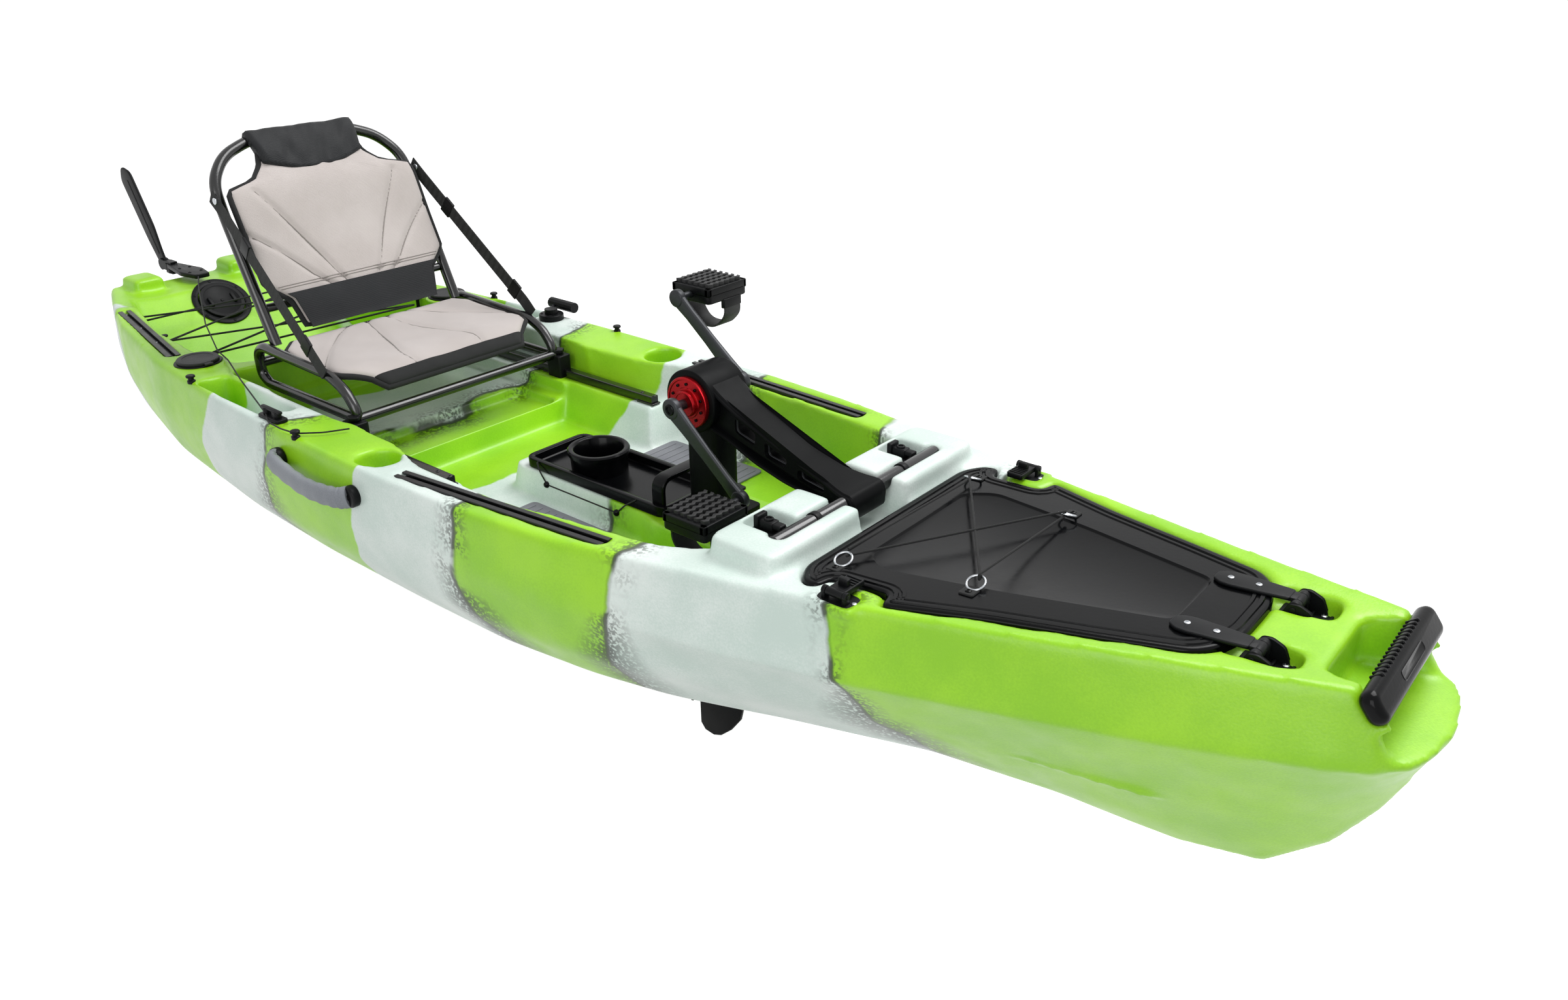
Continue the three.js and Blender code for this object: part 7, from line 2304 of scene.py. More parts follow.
@dataclass
class Hatch:
    """The bow hatch: its lid, rings, hinges and side latches."""

    low: float = 0.4123
    top: float = HATCH_TOP
    wire: float = 0.002
    hinge_half: float = 0.078
    pin: float = 0.424
    knuckle: float = 0.009
    leaf_top: float = 0.434
    lever_pin: tuple[float, float] = (0.28, 0.407)
    lid_shares: tuple[tuple[float, float], ...] = (
        (0, 0.84),
        (0.04, 0.98),
        (0.09, 1),
        (0.1, 0.86),
        (0.26, 0.84),
        (0.27, 0.98),
        (0.5, 0.79),
        (0.76, 0.62),
        (0.93, 0.5),
        (0.97, 0.4),
        (1, 0.2),
    )
    panel_shares: tuple[tuple[float, float], ...] = ((0, 0.82), (0.1, 1), (0.5, 0.78), (1, 0.42))

    def lid(self) -> None:
        """Makes the lid with its double-stepped rim and its recessed panel."""
        bm = bmesh.new()
        place = lid_frame()
        outline = share_outline(0.742, 1.352, 0.265, self.lid_shares, 0.022)
        arc = [math.pi / 2 * i / 4 for i in range(5)]
        levels = [(0.001, self.low), (0.0, self.low + 0.001)]
        levels += [(0.006 * (1 - math.cos(t)), self.top - 0.006 * (1 - math.sin(t))) for t in arc]
        levels += [(0.0095, self.top), (0.0108, self.top + 0.0022), (0.0165, self.top + 0.0022)]
        levels += [(0.0178, self.top), (0.0215, self.top), (0.0228, self.top + 0.0018)]
        levels += [(0.0275, self.top + 0.0018), (0.0288, self.top)]
        rows = open_rings(bm, level_rings(outline, levels, place))
        bm.faces.new(rows[0][::-1])
        panel = share_outline(0.8, 1.262, 0.168, self.panel_shares, 0.02)
        drops = ((0.0, 0.0), (0.0006, 0.0008), (0.003, 0.0036), (0.0042, 0.004))
        dish = open_rings(bm, level_rings(panel, [(inset, self.top - drop) for inset, drop in drops], place))
        bm.faces.new(dish[-1])
        fill_between(bm, rows[-1], dish[0])
        piece("hatch_cover", bm, "gloss", "hatch", Slot.GLOSS, "hatch_lid", angle=30.0)

    def fittings(self) -> None:
        """Makes the steel rings, their black tabs and their screws."""
        place = lid_frame()
        bm, tabs = bmesh.new(), bmesh.new()
        spots = []
        for x, y in HATCH_RINGS:
            for _, side in SIDES:
                route = []
                for along, reach in circle(RING_RADIUS, 32):
                    inward = side * (y - reach * math.cos(RING_LEAN))
                    height = self.top + RING_LIFT + (RING_RADIUS + reach) * math.sin(RING_LEAN)
                    route.append(place @ Vector((x + along, inward, height)))
                tube(bm, [*route, route[0]], self.wire, 10)
                low, high = sorted((side * (y + 0.008), side * (y + 0.03)))
                shape = rounded_outline(rectangle(x - 0.012, x + 0.012, low, high), 0.003, 3)
                slab(tabs, shape, self.top - 0.0003, self.top + 0.003, 0.001, place)
                spots.append(place @ Vector((x, side * (y + 0.0205), self.top + 0.003)))
        piece("hatch_rings", bm, "steel", "hatch", Slot.STEEL)
        piece("hatch_tabs", tabs, "webbing", "hatch", Slot.WEBBING)
        screw_piece("hatch_tab_screws", "gloss", "hatch", 0.005, spots, place.to_3x3() @ Vector((0, 0, 1)))

    def hinges(self) -> None:
        """Makes the tapered hinge leaves, their knuckles and their feet."""
        place = lid_frame()
        up = place.to_3x3() @ Vector((0, 0, 1))
        for name, side in SIDES:
            x, y = HATCH_HINGE[0], side * self.hinge_half
            pin = (x, y, self.pin)
            bm = bmesh.new()
            half = [(1.26, 0.01), (1.272, 0.0195), (1.286, 0.0215), (1.33, 0.0185), (1.369, 0.0145)]
            slab(bm, rounded_outline(mirrored(half, y), 0.004, 4), 0.4286, self.leaf_top, 0.0018, place)
            turned(bm, pin, (0, 1, 0), soft_rod(-0.011, 0.011, self.knuckle, 0.001), 28)
            block(bm, (x - 0.018, y - 0.011, 0.4262), (x, y + 0.011, 0.4326), 0.001, 0.001)
            piece(f"hinge_leaf_{name}", bm, "black", "hatch", Slot.BLACK, f"hatch_hinge_leaf_{name}")
            bm = bmesh.new()
            for dy in (-0.01665, 0.01665):
                turned(bm, pin, (0, 1, 0), soft_rod(dy - 0.00535, dy + 0.00535, self.knuckle, 0.001), 28)
                low = (x - self.knuckle, y + dy - 0.00535, 0.4)
                high = (x + self.knuckle, y + dy + 0.00535, self.pin)
                block(bm, low, high, 0.0008, 0.001)
            for _, outward in SIDES:
                low, high = sorted((y + outward * 0.0225, y + outward * 0.0285))
                cheek = [(1.363, 0.4), (1.366, 0.418), (1.372, 0.43)]
                cheek += [(1.385, 0.432), (1.402, 0.425), (1.414, 0.4)]
                side_plate(bm, rounded_outline(cheek, 0.004, 3), low, high, 0.0012)
            turned(bm, pin, (0, 1, 0), soft_rod(-0.03, 0.03, 0.004, 0.0008), 20)
            shape = rounded_outline(rectangle(1.353, 1.4317, y - 0.0297, y + 0.0297), 0.008, 4)
            slab(bm, shape, 0.3983, 0.4028, 0.0015)
            for rib in (1.395, 1.42):
                block(bm, (rib - 0.002, y - 0.02, 0.402), (rib + 0.002, y + 0.02, 0.4075), 0.001, 0.001)
            piece(f"hinge_base_{name}", bm, "black", "kayak", Slot.BLACK, f"hatch_hinge_base_{name}")
            spots = [place @ Vector((at, y, self.leaf_top)) for at in (1.282, 1.322)]
            screw_piece(f"hinge_screws_{name}", "steel", "hatch", 0.0046, spots, up)
            spots = [(1.409, y + dy, 0.4028) for dy in (-0.021, 0.021)]
            screw_piece(f"hinge_base_screws_{name}", "steel", "kayak", 0.0048, spots)

    def latches(self) -> None:
        """Makes the side latches: plates, ears, pins and levers with ribbed grips."""
        for name, side in SIDES:
            x, y = LATCH[0], side * LATCH[1]
            pin = (x, side * self.lever_pin[0], self.lever_pin[1])
            bm = bmesh.new()
            plate = rounded_outline(rectangle(x - 0.033, x + 0.033, y - 0.02, y + 0.02), 0.006, 4)
            slab(bm, plate, 0.3913, 0.3953, 0.0012)
            for dx in (-0.01865, 0.01865):
                low, high = sorted((side * 0.2735, side * 0.2865))
                block(bm, (x + dx - 0.00335, low, 0.3945), (x + dx + 0.00335, high, 0.4075), 0.001, 0.002)
                turned(bm, pin, (1, 0, 0), soft_rod(dx - 0.00335, dx + 0.00335, 0.007, 0.001), 24)
            turned(bm, pin, (1, 0, 0), soft_rod(-0.0235, 0.0235, 0.003, 0.0006), 16)
            piece(f"latch_base_{name}", bm, "black", "kayak", Slot.BLACK, f"hatch_latch_base_{name}")
            spots = [(x + dx, y, 0.3953) for dx in (-0.027, 0.027)]
            screw_piece(f"latch_screws_{name}", "steel", "kayak", 0.0042, spots)
            bm = bmesh.new()
            body = f"hatch_lever_{name}"
            low, high = sorted((side * 0.228, side * 0.282))
            block(bm, (x - 0.015, low, 0.4022), (x + 0.015, high, 0.4118), 0.002, 0.004)
            turned(bm, pin, (1, 0, 0), soft_rod(-0.0148, 0.0148, 0.0065, 0.001), 24)
            rib = bmesh.new()
            block(rib, (-0.0125, -0.0014, 0.0), (0.0125, 0.0014, 0.0024), 0.0006, 0.0008)
            set_out(bm, rib, "black", [(x, side * (0.235 + 0.0062 * number), 0.411) for number in range(4)])
            low, high = sorted((side * 0.2542, side * 0.2642))
            block(bm, (x - 0.009, low, 0.409), (x + 0.009, high, 0.423), 0.0022, 0.003)
            piece(f"latch_lever_{name}", bm, "black", body, Slot.BLACK, f"hatch_latch_lever_{name}")

    def build(self) -> None:
        """Makes the whole hatch."""
        self.lid()
        self.fittings()
        self.hinges()
        self.latches()


@dataclass
class Console:
    """The black tray with its cup and its carrying arch."""

    low: float = 0.2703
    top: float = 0.292

    def build(self) -> None:
        """Makes the tray's piece."""
        bm = bmesh.new()
        outline = rounded_outline(rectangle(-0.102, 0.296, -0.081, 0.081), 0.026, 6)
        low, top = self.low, self.top
        levels = [(0.002, low), (0.0, low + 0.002), (0.0, top - 0.003), (0.001, top - 0.0008), (0.003, top)]
        levels += [(0.0115, top), (0.0135, top - 0.0015), (0.0145, low + 0.006), (0.017, low + 0.004)]
        ring_mesh(bm, level_rings(outline, levels))
        cup = (0.035, 0.0, 0.0)
        profile = [(0.272, 0.0565), (0.309, 0.058), (0.3105, 0.062), (0.3185, 0.0625), (0.3215, 0.06)]
        profile += [(0.322, 0.055), (0.321, 0.0515), (0.318, 0.049), (0.277, 0.0475), (0.2745, 0.044)]
        turned(bm, cup, (0, 0, 1), profile, 72)
        route = [(0.27, y, z) for y, z in ((-0.066, 0.275), (-0.066, 0.34), (0.066, 0.34), (0.066, 0.275))]
        section = rounded_outline(rectangle(-0.015, 0.015, -0.0045, 0.0045), 0.003, 3)
        sweep(bm, rounded_route(route, 0.024, 8), [(b, a) for a, b in section], (1, 0, 0))
        corners = [(x, y, self.low + 0.004) for x in (-0.086, 0.262) for y in (-0.066, 0.066)]
        set_screws(bm, "gloss", 0.004, corners)
        piece("console_moulding", bm, "gloss", "console", Slot.BLACK, "console_tray")


@dataclass
class Fittings:
    """Tracks, rails, holders, handles, rudder, steering and latches on the deck."""

    track_gaps: dict[str, int] = field(default_factory=lambda: {"front": 4, "rear": 3})

    def tracks(self) -> None:
        """Makes the slotted gear tracks and the small screws in their slots."""
        for name, side in SIDES:
            for kind, ends in TRACK_ENDS.items():
                bm = bmesh.new()
                start, end = (Vector((x, side * y, z)) for x, y, z in ends)
                half = [(-0.015, -0.012), (-0.015, 0.0008), (-0.0138, 0.002), (-0.0048, 0.002)]
                half += [(-0.0045, 0.0016), (-0.0045, -0.002), (-0.009, -0.002), (-0.009, -0.006)]
                sweep(bm, [start, end], half + [(-y, z) for y, z in reversed(half)], (0, 0, 1))
                piece(f"{kind}_rail_{name}", bm, "track", "kayak", Slot.TRACK, f"{kind}_track_{name}")
                gaps = self.track_gaps[kind]
                shares = [0.03 + 0.94 * number / gaps for number in range(gaps + 1)]
                sunk = Vector((0, 0, -0.0062))
                spots = [start.lerp(end, share) + sunk for share in shares]
                screw_piece(f"{kind}_rail_screws_{name}", "steel", "kayak", 0.0042, spots)
            bm = bmesh.new()
            y = side * 0.272
            section = rounded_outline(rectangle(y - 0.01, y + 0.01, 0.3003, 0.3203), 0.0022, 3)
            rings = [[Vector((x, a, b)) for a, b in section] for x in (-0.765, -0.08)]
            ring_mesh(bm, rings)
            feet = (-0.74, -0.42, -0.1)
            foot = bmesh.new()
            block(foot, (-0.025, -0.013, 0.0), (0.025, 0.013, 0.004))
            set_out(bm, foot, "tube", [(x, y, 0.3003) for x in feet])
            set_screws(bm, "tube", 0.0042, [(x + dx, y, 0.3203) for x in feet for dx in (-0.019, 0.019)])
            piece(f"bay_rail_{name}", bm, "tube", "kayak", Slot.TUBE, f"seat_rail_{name}")

    def holders(self) -> None:
        """Makes the rod holders with their hinged rubber caps."""
        for name, side in SIDES:
            x, y = ROD_HOLDER[0], side * ROD_HOLDER[1]
            axis_top = (x, y, 0.0)
            bm = bmesh.new()
            profile = [(0.386, 0.029), (0.386, 0.0495), (0.3885, 0.05), (0.39, 0.0488), (0.39, 0.029)]
            turned(bm, axis_top, (0, 0, 1), profile, 56, closed=True)
            points = cad_points(f"rod_holder_{name}")
            foot, mouth = min(p.z for p in points), 0.3885
            lean = self.tube_lean(points)
            levels = [(mouth, 0.0262), (foot + 0.004, 0.0252), (foot + 0.001, 0.0235)]
            levels += [(foot + 0.004, 0.0215), (mouth, 0.0232)]
            rings = []
            for height, radius in levels:
                centre = Vector((x, y, height)) + lean * (mouth - height)
                rings.append([centre + Vector((a, b, 0)) for a, b in circle(radius, 40)])
            rows = open_rings(bm, rings)
            fill_between(bm, rows[-1], rows[0])
            bm.faces.new(rows[2])
            piece(f"holder_{name}", bm, "black", "kayak", Slot.BLACK, f"rod_holder_{name}")
            bm = bmesh.new()
            profile = [(0.3903, 0.0435), (0.3915, 0.044), (0.3955, 0.044), (0.397, 0.0425), (0.3973, 0.033)]
            profile += [(0.3962, 0.0318), (0.3962, 0.001)]
            turned(bm, axis_top, (0, 0, 1), profile, 56)
            block(bm, (x + 0.036, y - 0.008, 0.3906), (x + 0.05, y + 0.008, 0.3956), 0.0012, 0.003)
            turned(bm, (x + 0.05, y, 0.3931), (0, 1, 0), [(-0.009, 0.0026), (0.009, 0.0026)], 20)
            block(bm, (x - 0.0512, y - 0.008, 0.3903), (x - 0.036, y + 0.008, 0.3945), 0.0012, 0.003)
            body = f"rod_cover_{name}"
            piece(f"cap_{name}", bm, "rubber", body, Slot.BLACK, f"rod_cap_{name}")

    def tube_lean(self, points: Sequence[Vector]) -> Vector:
        """How far a holder's tube runs aside for each metre it drops.

        Args:
            points: The corners of the CAD holder.

        Returns:
            The run in X and Y.
        """
        foot = min(p.z for p in points)
        bottom = [p for p in points if p.z < foot + 0.03]
        top = [p for p in points if p.z > 0.385]
        a = sum(bottom, Vector()) / len(bottom)
        b = sum(top, Vector()) / len(top)
        return Vector(((a.x - b.x) / (b.z - a.z), (a.y - b.y) / (b.z - a.z), 0))

    def deck_plate(self) -> None:
        """Makes the round deck plate, its six screws and the lid with its finger bars."""
        origin, facing = PLATE_PLACE, PLATE_FACING
        bm = bmesh.new()
        profile = [(0.0003, 0.0582), (0.0003, 0.0732), (0.0013, 0.074), (0.004, 0.0738), (0.0053, 0.072)]
        profile += [(0.0053, 0.0605), (0.004, 0.0582)]
        turned(bm, origin, facing, profile, 72, closed=True)
        turn = facing.to_track_quat("Z", "Y")
        round_ring = Quaternion((0, 0, 1), math.pi / 6)
        spots = [origin + turn @ (round_ring @ Vector((x, y, 0.0))) for x, y in circle(0.0665, 6)]
        set_screws(bm, "black", 0.0042, spots, facing, stand=0.0053)
        piece("plate_ring", bm, "black", "kayak", Slot.BLACK, "deck_plate_ring")
        bm = bmesh.new()
        profile = [(-0.018, 0.054), (0.004, 0.0555), (0.0083, 0.056), (0.0094, 0.055), (0.0094, 0.047)]
        profile += [(0.0082, 0.0455), (0.0076, 0.001)]
        turned(bm, origin, facing, profile, 72)
        place = Matrix.Translation(origin) @ turn.to_matrix().to_4x4()
        for across in (-0.0308, 0.0308):
            shape = rounded_outline(rectangle(across - 0.0045, across + 0.0045, -0.015, 0.015), 0.0044, 5)
            slab(bm, shape, 0.007, 0.0136, 0.0015, place)
        dot = rounded_outline(rectangle(-0.004, 0.004, -0.004, 0.004), 0.0039, 5)
        slab(bm, dot, 0.007, 0.0096, 0.001, place)
        piece("plate_lid", bm, "black", "deck_plate_cap", Slot.BLACK, "deck_plate_lid")

    def handles(self) -> None:
        """Makes the bow handle and both side grips."""
        place = BOW_GRIP
        bm = bmesh.new()
        shape = rounded_outline(rectangle(-0.023, 0.023, -0.138, 0.138), 0.018, 6)
        slab(bm, shape, -0.013, 0.013, 0.0118, place, 7)
        slot = rounded_outline(rectangle(-0.0065, 0.0065, -0.047, 0.047), 0.0064, 6)
        ring_mesh(bm, level_rings(slot, ((-0.002, 0.0125), (0, 0.0138), (0.0014, 0.0131)), place))
        rib = bmesh.new()
        outline = rounded_outline(rectangle(-0.0238, -0.0125, -0.0024, 0.0024), 0.0022, 3)
        slab(rib, outline, -0.009, 0.0098, 0.0015)
        spots = [place @ Vector((0, 0.0115 * (number - 7), 0)) for number in range(15)]
        set_out(bm, rib, "gloss", spots, place.to_quaternion())
        piece("bow_grip", bm, "gloss", "kayak", Slot.GLOSS, "bow_handle")
        for name, side in SIDES:
            points = cad_points(f"side_handle_{name}")
            outer = max(abs(p.y) for p in points)
            inner = min(abs(p.y) for p in points)
            x0, x1 = min(p.x for p in points), max(p.x for p in points)
            bm = bmesh.new()
            route = [
                Vector((x0 + 0.018, side * (inner + 0.012), 0.33)),
                Vector((x0 + 0.036, side * (outer - 0.0205), 0.3285)),
                Vector(((x0 + x1) / 2, side * (outer - 0.0165), 0.3125)),
                Vector((x1 - 0.046, side * (outer - 0.0205), 0.3175)),
                Vector((x1 - 0.018, side * (inner + 0.012), 0.322)),
            ]
            places = smooth_route(route, 12)
            rings = []
            for number, spot in enumerate(places):
                share = number / (len(places) - 1)
                ripple = 0.0008 * math.cos(share * 2 * math.pi * 11)
                radius = 0.0148 + ripple if 0.14 < share < 0.86 else 0.0155
                before, after = places[max(number - 1, 0)], places[min(number + 1, len(places) - 1)]
                along = (after - before).normalized()
                flat = Vector((0, 0, 1)).cross(along).normalized()
                up = along.cross(flat)
                rings.append([spot + flat * a * 0.82 + up * b * 1.4 for a, b in circle(radius, 24)])
            ring_mesh(bm, rings)
            item = piece(f"side_grip_{name}", bm, "grip", "kayak", Slot.GREY_FOAM, f"side_handle_{name}")
            bm = bmesh.new()
            for x, z in ((x0 + 0.0175, 0.33), (x1 - 0.0175, 0.322)):
                turned(bm, (x, side * inner, z), (0, side, 0), soft_rod(0.0, 0.017, 0.021, 0.004), 32)
                set_screws(bm, "black", 0.006, [(x, side * (inner + 0.017), z)], (0, side, 0))
            piece(f"grip_ends_{name}", bm, "black", "kayak", Slot.GREY_FOAM)

    def rudder(self) -> None:
        """Makes the rudder's bracket and its blade."""
        bm = bmesh.new()
        half = ((-1.7, 0.0115), (-1.694, 0.0135), (-1.584, 0.032), (-1.52, 0.0192))
        slab(bm, rounded_outline(mirrored(half), 0.008, 4), 0.3983, 0.4103, 0.0025)
        turned(bm, (-1.694, 0, 0), (0, 0, 1), soft_rod(0.3836, 0.4103, 0.0135, 0.0015), 32)
        spots = [(x, side * y, 0.4103) for x, y in ((-1.56, 0.016), (-1.62, 0.014)) for _, side in SIDES]
        set_screws(bm, "black", 0.0042, spots)
        piece("rudder_mount", bm, "black", "kayak", Slot.BLACK, "rudder_bracket")
        place = Matrix.Rotation(math.radians(-116.0), 4, "Y") @ Matrix.Rotation(math.radians(90.0), 4, "X")
        place = Matrix.Translation((-1.739, 0, 0.402)) @ place
        w, length = 0.07, 0.284
        outline = [
            (-0.2 * w, -0.24 * w),
            (0.12 * length, -0.3 * w),
            (0.35 * length, -0.5 * w),
            (0.9 * length, -0.46 * w),
            (length, 0.06 * w),
            (0.9 * length, 0.5 * w),
            (0.3 * length, 0.42 * w),
            (-0.2 * w, 0.24 * w),
        ]
        bm = bmesh.new()
        slab(bm, rounded_outline(outline, 0.016, 6), -0.0035, 0.0035, 0.0028, place)
        shares = ((0.1, -0.08), (0.85, -0.1), (0.85, 0.1), (0.1, 0.08))
        rib = [(along * length, across * w) for along, across in shares]
        slab(bm, rounded_outline(rib, 0.004, 4), -0.0046, 0.0046, 0.001, place)
        piece("rudder_foil", bm, "black", "rudder", Slot.BLACK, "rudder_blade")

    def foot_mats(self) -> None:
        """Makes the foot mats with their raised ribs."""
        for name, side in SIDES:
            bm = bmesh.new()
            low, high = sorted((side * 0.112, side * 0.288))
            shape = rounded_outline(rectangle(-0.042, 0.222, low, high), 0.014, 5)
            slab(bm, shape, 0.2153, 0.2198, 0.001)
            rib = bmesh.new()
            outline = rounded_outline(rectangle(-0.004, 0.004, -0.076, 0.076), 0.0038, 4)
            slab(rib, outline, 0.0, 0.0023, 0.0009)
            middle = (low + high) / 2
            set_out(bm, rib, "foam", [(-0.026 + 0.0212 * number, middle, 0.219) for number in range(12)])
            item = piece(f"foot_mat_{name}", bm, "foam", "kayak", Slot.FOOT_FOAM, f"foot_pad_{name}")

    def bar_latches(self) -> None:
        """Makes the block latches over the hanging bar and the latch behind the drive."""
        for name, side in SIDES:
            y = side * 0.183
            bm = bmesh.new()
            shape = rounded_outline(rectangle(0.614, 0.664, y - 0.025, y + 0.025), 0.015, 6)
            slab(bm, shape, 0.4003, 0.4053, 0.0016)
            block(bm, (0.624, y - 0.01, 0.4045), (0.654, y + 0.01, 0.4215), 0.003, 0.005)
            block(bm, (0.626, y - 0.008, 0.4105), (0.6687, y + 0.008, 0.4198), 0.0025, 0.003)
            block(bm, (0.6165, y - 0.013, 0.405), (0.6265, y + 0.013, 0.4275), 0.0025, 0.003)
            knob = ((0.0, 0.0078), (0.003, 0.0078), (0.004, 0.007), (0.004, 0.0048), (0.002, 0.0045))
            turned(bm, (0.639, y, 0.4205), (0, 0, 1), knob, 28)
            body = f"bar_latch_{name}_body"
            piece(f"bar_block_{name}", bm, "black", body, Slot.BLACK, f"bar_latch_{name}")
        bm = bmesh.new()
        x, y = 0.322, 0.086
        turned(bm, (x, y, 0), (0, 0, 1), soft_rod(0.2703, 0.2885, 0.014, 0.0015), 36)
        box = cad_points("rear_latch")
        x0, x1 = min(p.x for p in box), max(p.x for p in box)
        y0, y1 = min(p.y for p in box), max(p.y for p in box)
        block(bm, (x0, max(y0, y - 0.011), 0.2823), (x1, min(y1, y + 0.011), 0.2883), 0.0015, 0.005)
        set_screws(bm, "black", 0.006, [(x, y, 0.2885)])
        piece("rear_block", bm, "black", "rear_latch_body", Slot.BLACK, "rear_latch")

    def steering(self) -> None:
        """Makes the steering dial with its four screws."""
        bm = bmesh.new()
        x, y = STEERING
        profile = [(0.3763, 0.0285), (0.384, 0.03), (0.393, 0.03), (0.3945, 0.0288), (0.3945, 0.0165)]
        profile += [(0.3942, 0.006), (0.4025, 0.006)]
        turned(bm, (x, y, 0), (0, 0, 1), profile, 48)
        square = 0.023 * math.sqrt(0.5)
        spots = [(x + a * square, y + b * square, 0.3945) for a in (-1, 1) for b in (-1, 1)]
        set_screws(bm, "black", 0.0034, spots)
        piece("steering_dial", bm, "black", "kayak", Slot.BLACK, "steering_base")

    def hardware(self) -> None:
        """Sets the small knobs, the cleat and the bungee hooks on the deck."""
        bm, knob, hook = bmesh.new(), bmesh.new(), bmesh.new()
        profile = [(-0.004, 0.0085), (0.002, 0.0085), (0.004, 0.006), (0.008, 0.006), (0.0095, 0.0095)]
        turned(knob, (0, 0, 0), (0, 0, 1), [*profile, (0.0125, 0.0095), (0.014, 0.008)], 20)
        knobs = ((-0.792, 0.4, 0.385), (-0.35, 0.419, 0.379))
        set_out(bm, knob, "black", [(x, side * y, z) for x, y, z in knobs for _, side in SIDES])
        profile = [(0.343, 0.007), (0.352, 0.007), (0.3535, 0.0045), (0.372, 0.0045), (0.3735, 0.008)]
        turned(hook, (0, 0, 0), (0, 0, 1), [*profile, (0.3765, 0.008), (0.378, 0.0065)], 18)
        hooks = [(x, side * (y + 0.0072), 0) for x, y in TANK_HOOKS.values() for _, side in SIDES]
        set_out(bm, hook, "black", hooks)
        slab(bm, rounded_outline(rectangle(-0.505, -0.431, -0.411, -0.385), 0.008, 4), 0.379, 0.387, 0.002)
        for x in (-0.488, -0.448):
            turned(bm, (x, -0.398, 0.387), (0, 0, 1), soft_rod(-0.001, 0.012, 0.0075, 0.002), 20)
        block(bm, (-0.503, -0.4025, 0.397), (-0.433, -0.3935, 0.403), 0.002, 0.004)
        piece("deck_hardware", bm, "black", "kayak", Slot.BLACK)

    def build(self) -> None:
        """Makes every fitting."""
        self.hardware()
        self.tracks()
        self.holders()
        self.deck_plate()
        self.handles()
        self.rudder()
        self.foot_mats()
        self.bar_latches()
        self.steering()


# Cords


@dataclass(frozen=True)
class Cord:
    """One length of cord: its route and its thickness, with a length, stiffness, lay and far end that nothing
    reads.
    """

    name: str
    body: str
    radius: float
    length: float
    stiffness: str = "limp"
    lay: str = "taut"
    far_end: str = "object"

    def build(self, places: Sequence[Point], *replaced: str) -> bpy.types.Object:
        """Args:
            places: The route, smooth already.
            replaced: The CAD cord that it stands for, if any.

        Returns:
            The piece.
        """
        bm = bmesh.new()
        tube(bm, places, self.radius, 12)
        item = piece(self.name, bm, "cord", self.body, Slot.CORD, *replaced)
        path = [tuple(p) for p in places]
        measured = sum(math.dist(a, b) for a, b in zip(path, path[1:]))
        LOG.info("%s runs %.4f m", self.name, measured)
        return item


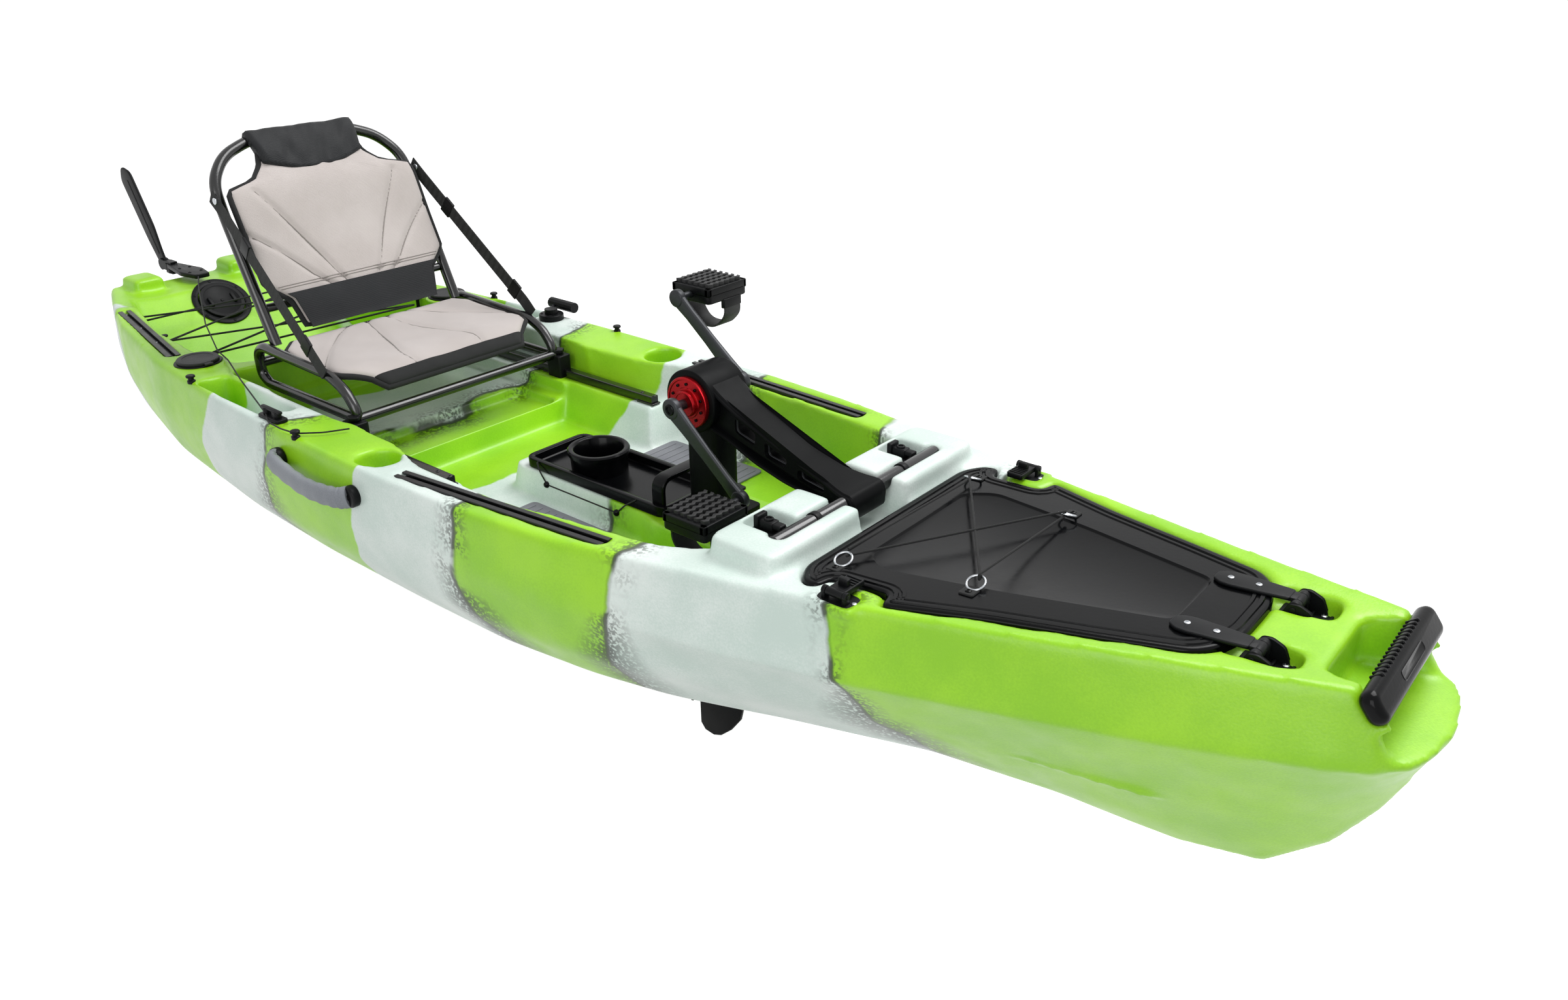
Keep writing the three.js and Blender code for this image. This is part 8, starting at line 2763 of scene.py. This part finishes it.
@dataclass
class Cords:
    """The steering line and the lashings of the tank well, the hatch and the console."""

    bend: float = 0.01
    line: Cord = Cord("steering_line", "kayak", 0.0016, 1.34, stiffness="medium", lay="loose")
    tank: Cord = Cord("tank_lashing", "kayak", 0.0025, 3.24)
    hatch: Cord = Cord("hatch_lashing", "hatch", 0.002, 1.38)
    console: Cord = Cord("console_lashing", "console", 0.0015, 0.314)

    def build(self) -> None:
        """Makes every cord along its route."""
        route = [
            (-1.5188, -0.014, 0.405),
            (-1.42, -0.064, 0.398),
            (-1.15, -0.186, 0.388),
            (-0.93, -0.27, 0.39),
            (-0.84, -0.292, 0.393),
            (-0.7, -0.338, 0.391),
            (-0.56, -0.38, 0.389),
            (-0.486, -0.402, 0.388),
            (-0.452, -0.418, 0.384),
            (-0.4, -0.421, 0.384),
            (-0.352, -0.416, 0.385),
            (-0.318, -0.38, 0.384),
            (-0.3, -0.335, 0.382),
        ]
        self.line.build(rounded_route(route, self.bend), "rudder_line")
        over, under = 0.3713, 0.3607
        turns = [
            ("aft", -1, over),
            ("middle", 1, over),
            ("fore", -1, over),
            ("fore", 1, under),
            ("middle", -1, under),
            ("aft", 1, under),
            ("aft", -1, under),
        ]
        route = [(TANK_HOOKS[hook][0], side * TANK_HOOKS[hook][1], height) for hook, side, height in turns]
        self.tank.build(rounded_route(route, self.bend), "tank_bungee")
        self.hatch.build(rounded_route(self.hatch_route(), self.bend), "hatch_bungee")
        self.console_stay()

    def console_stay(self) -> None:
        """Hangs the thin cord with its two ball stops along the console's starboard side."""
        balls = ((-0.026, -0.0895, 0.252), (0.176, -0.0895, 0.252))
        route = [(-0.058, -0.0805, 0.2895), (-0.058, -0.0835, 0.289), (-0.046, -0.0885, 0.275), *balls]
        route += [(0.2, -0.0885, 0.275), (0.222, -0.0835, 0.289), (0.222, -0.0805, 0.2895)]
        self.console.build(rounded_route(route, self.bend))
        bm = bmesh.new()
        for ball in balls:
            steps = [math.pi * number / 10 for number in range(11)]
            profile = [(-0.007 * math.cos(turn), 0.007 * math.sin(turn)) for turn in steps]
            turned(bm, ball, (1, 0, 0), profile, 20)
        piece("console_stops", bm, "gloss", "console", Slot.BLACK)

    def hatch_route(self) -> list[Vector]:
        """Leads the hatch's lashing round the four rings' wires.

        Returns:
            The route's corners.
        """
        reach = 0.00445
        height = HATCH_TOP + RING_LIFT + 2 * RING_RADIUS * math.sin(RING_LEAN)
        inward = RING_RADIUS * math.cos(RING_LEAN)

        def wire_at(x: float, y: float) -> Vector:
            """Finds the top of the wire of the ring at x and y."""
            return lid_frame() @ Vector((x, math.copysign(abs(y) - inward, y), height))

        (aft, aft_half), (fore, fore_half) = HATCH_RINGS
        corners = ((aft, -aft_half), (fore, fore_half), (fore, -fore_half), (aft, aft_half))
        order = [wire_at(x, y) for x, y in corners]
        up = Vector((0, 0, reach))
        route: list[Vector] = []
        for number, place in enumerate(order):
            out = Vector((0, math.copysign(reach, place.y), 0))
            if number:
                route += [place + up, place + up + out]
            route += [place - up + out, place - up]
        route.append(order[0] + up * 1.5)
        return route


NODE_FINISHES = {
    Slot.LIME: "hull",
    Slot.TRACK: "track",
    Slot.BLACK: "black",
    Slot.GLOSS: "gloss",
    Slot.GREY_FOAM: "grip",
    Slot.FOOT_FOAM: "foam",
    Slot.TUBE: "tube",
    Slot.SATIN: "crank",
    Slot.FABRIC: "pan_cloth",
    Slot.WEBBING: "webbing",
    Slot.RED: "red",
    Slot.STEEL: "steel",
    Slot.GREY_PLASTIC: "screw",
    Slot.CORD: "cord",
}


def dress_nodes(frame: dict) -> None:
    """Gives every CAD node the finish of its record's slot.
    """
    for name, item in frame["nodes"].items():
        for holder in item.material_slots:
            slot = Slot(holder.material.name.split(".")[0])
            holder.material = finish(NODE_FINISHES[slot])
        LOG.info("%s keeps its CAD shape unless a piece replaces it", name)


def main() -> None:
    """Builds the kayak's looks piece by piece."""
    logging.basicConfig(level=logging.INFO, format="%(message)s")
    for item in list(bpy.data.objects):
        bpy.data.objects.remove(item)
    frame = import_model()
    Studio().build()
    dress_nodes(frame)
    Hull().build()
    Seat().build()
    Drive().build()
    Hatch().build()
    Console().build()
    Fittings().build()
    Cords().build()


if __name__ == "__main__":
    main()
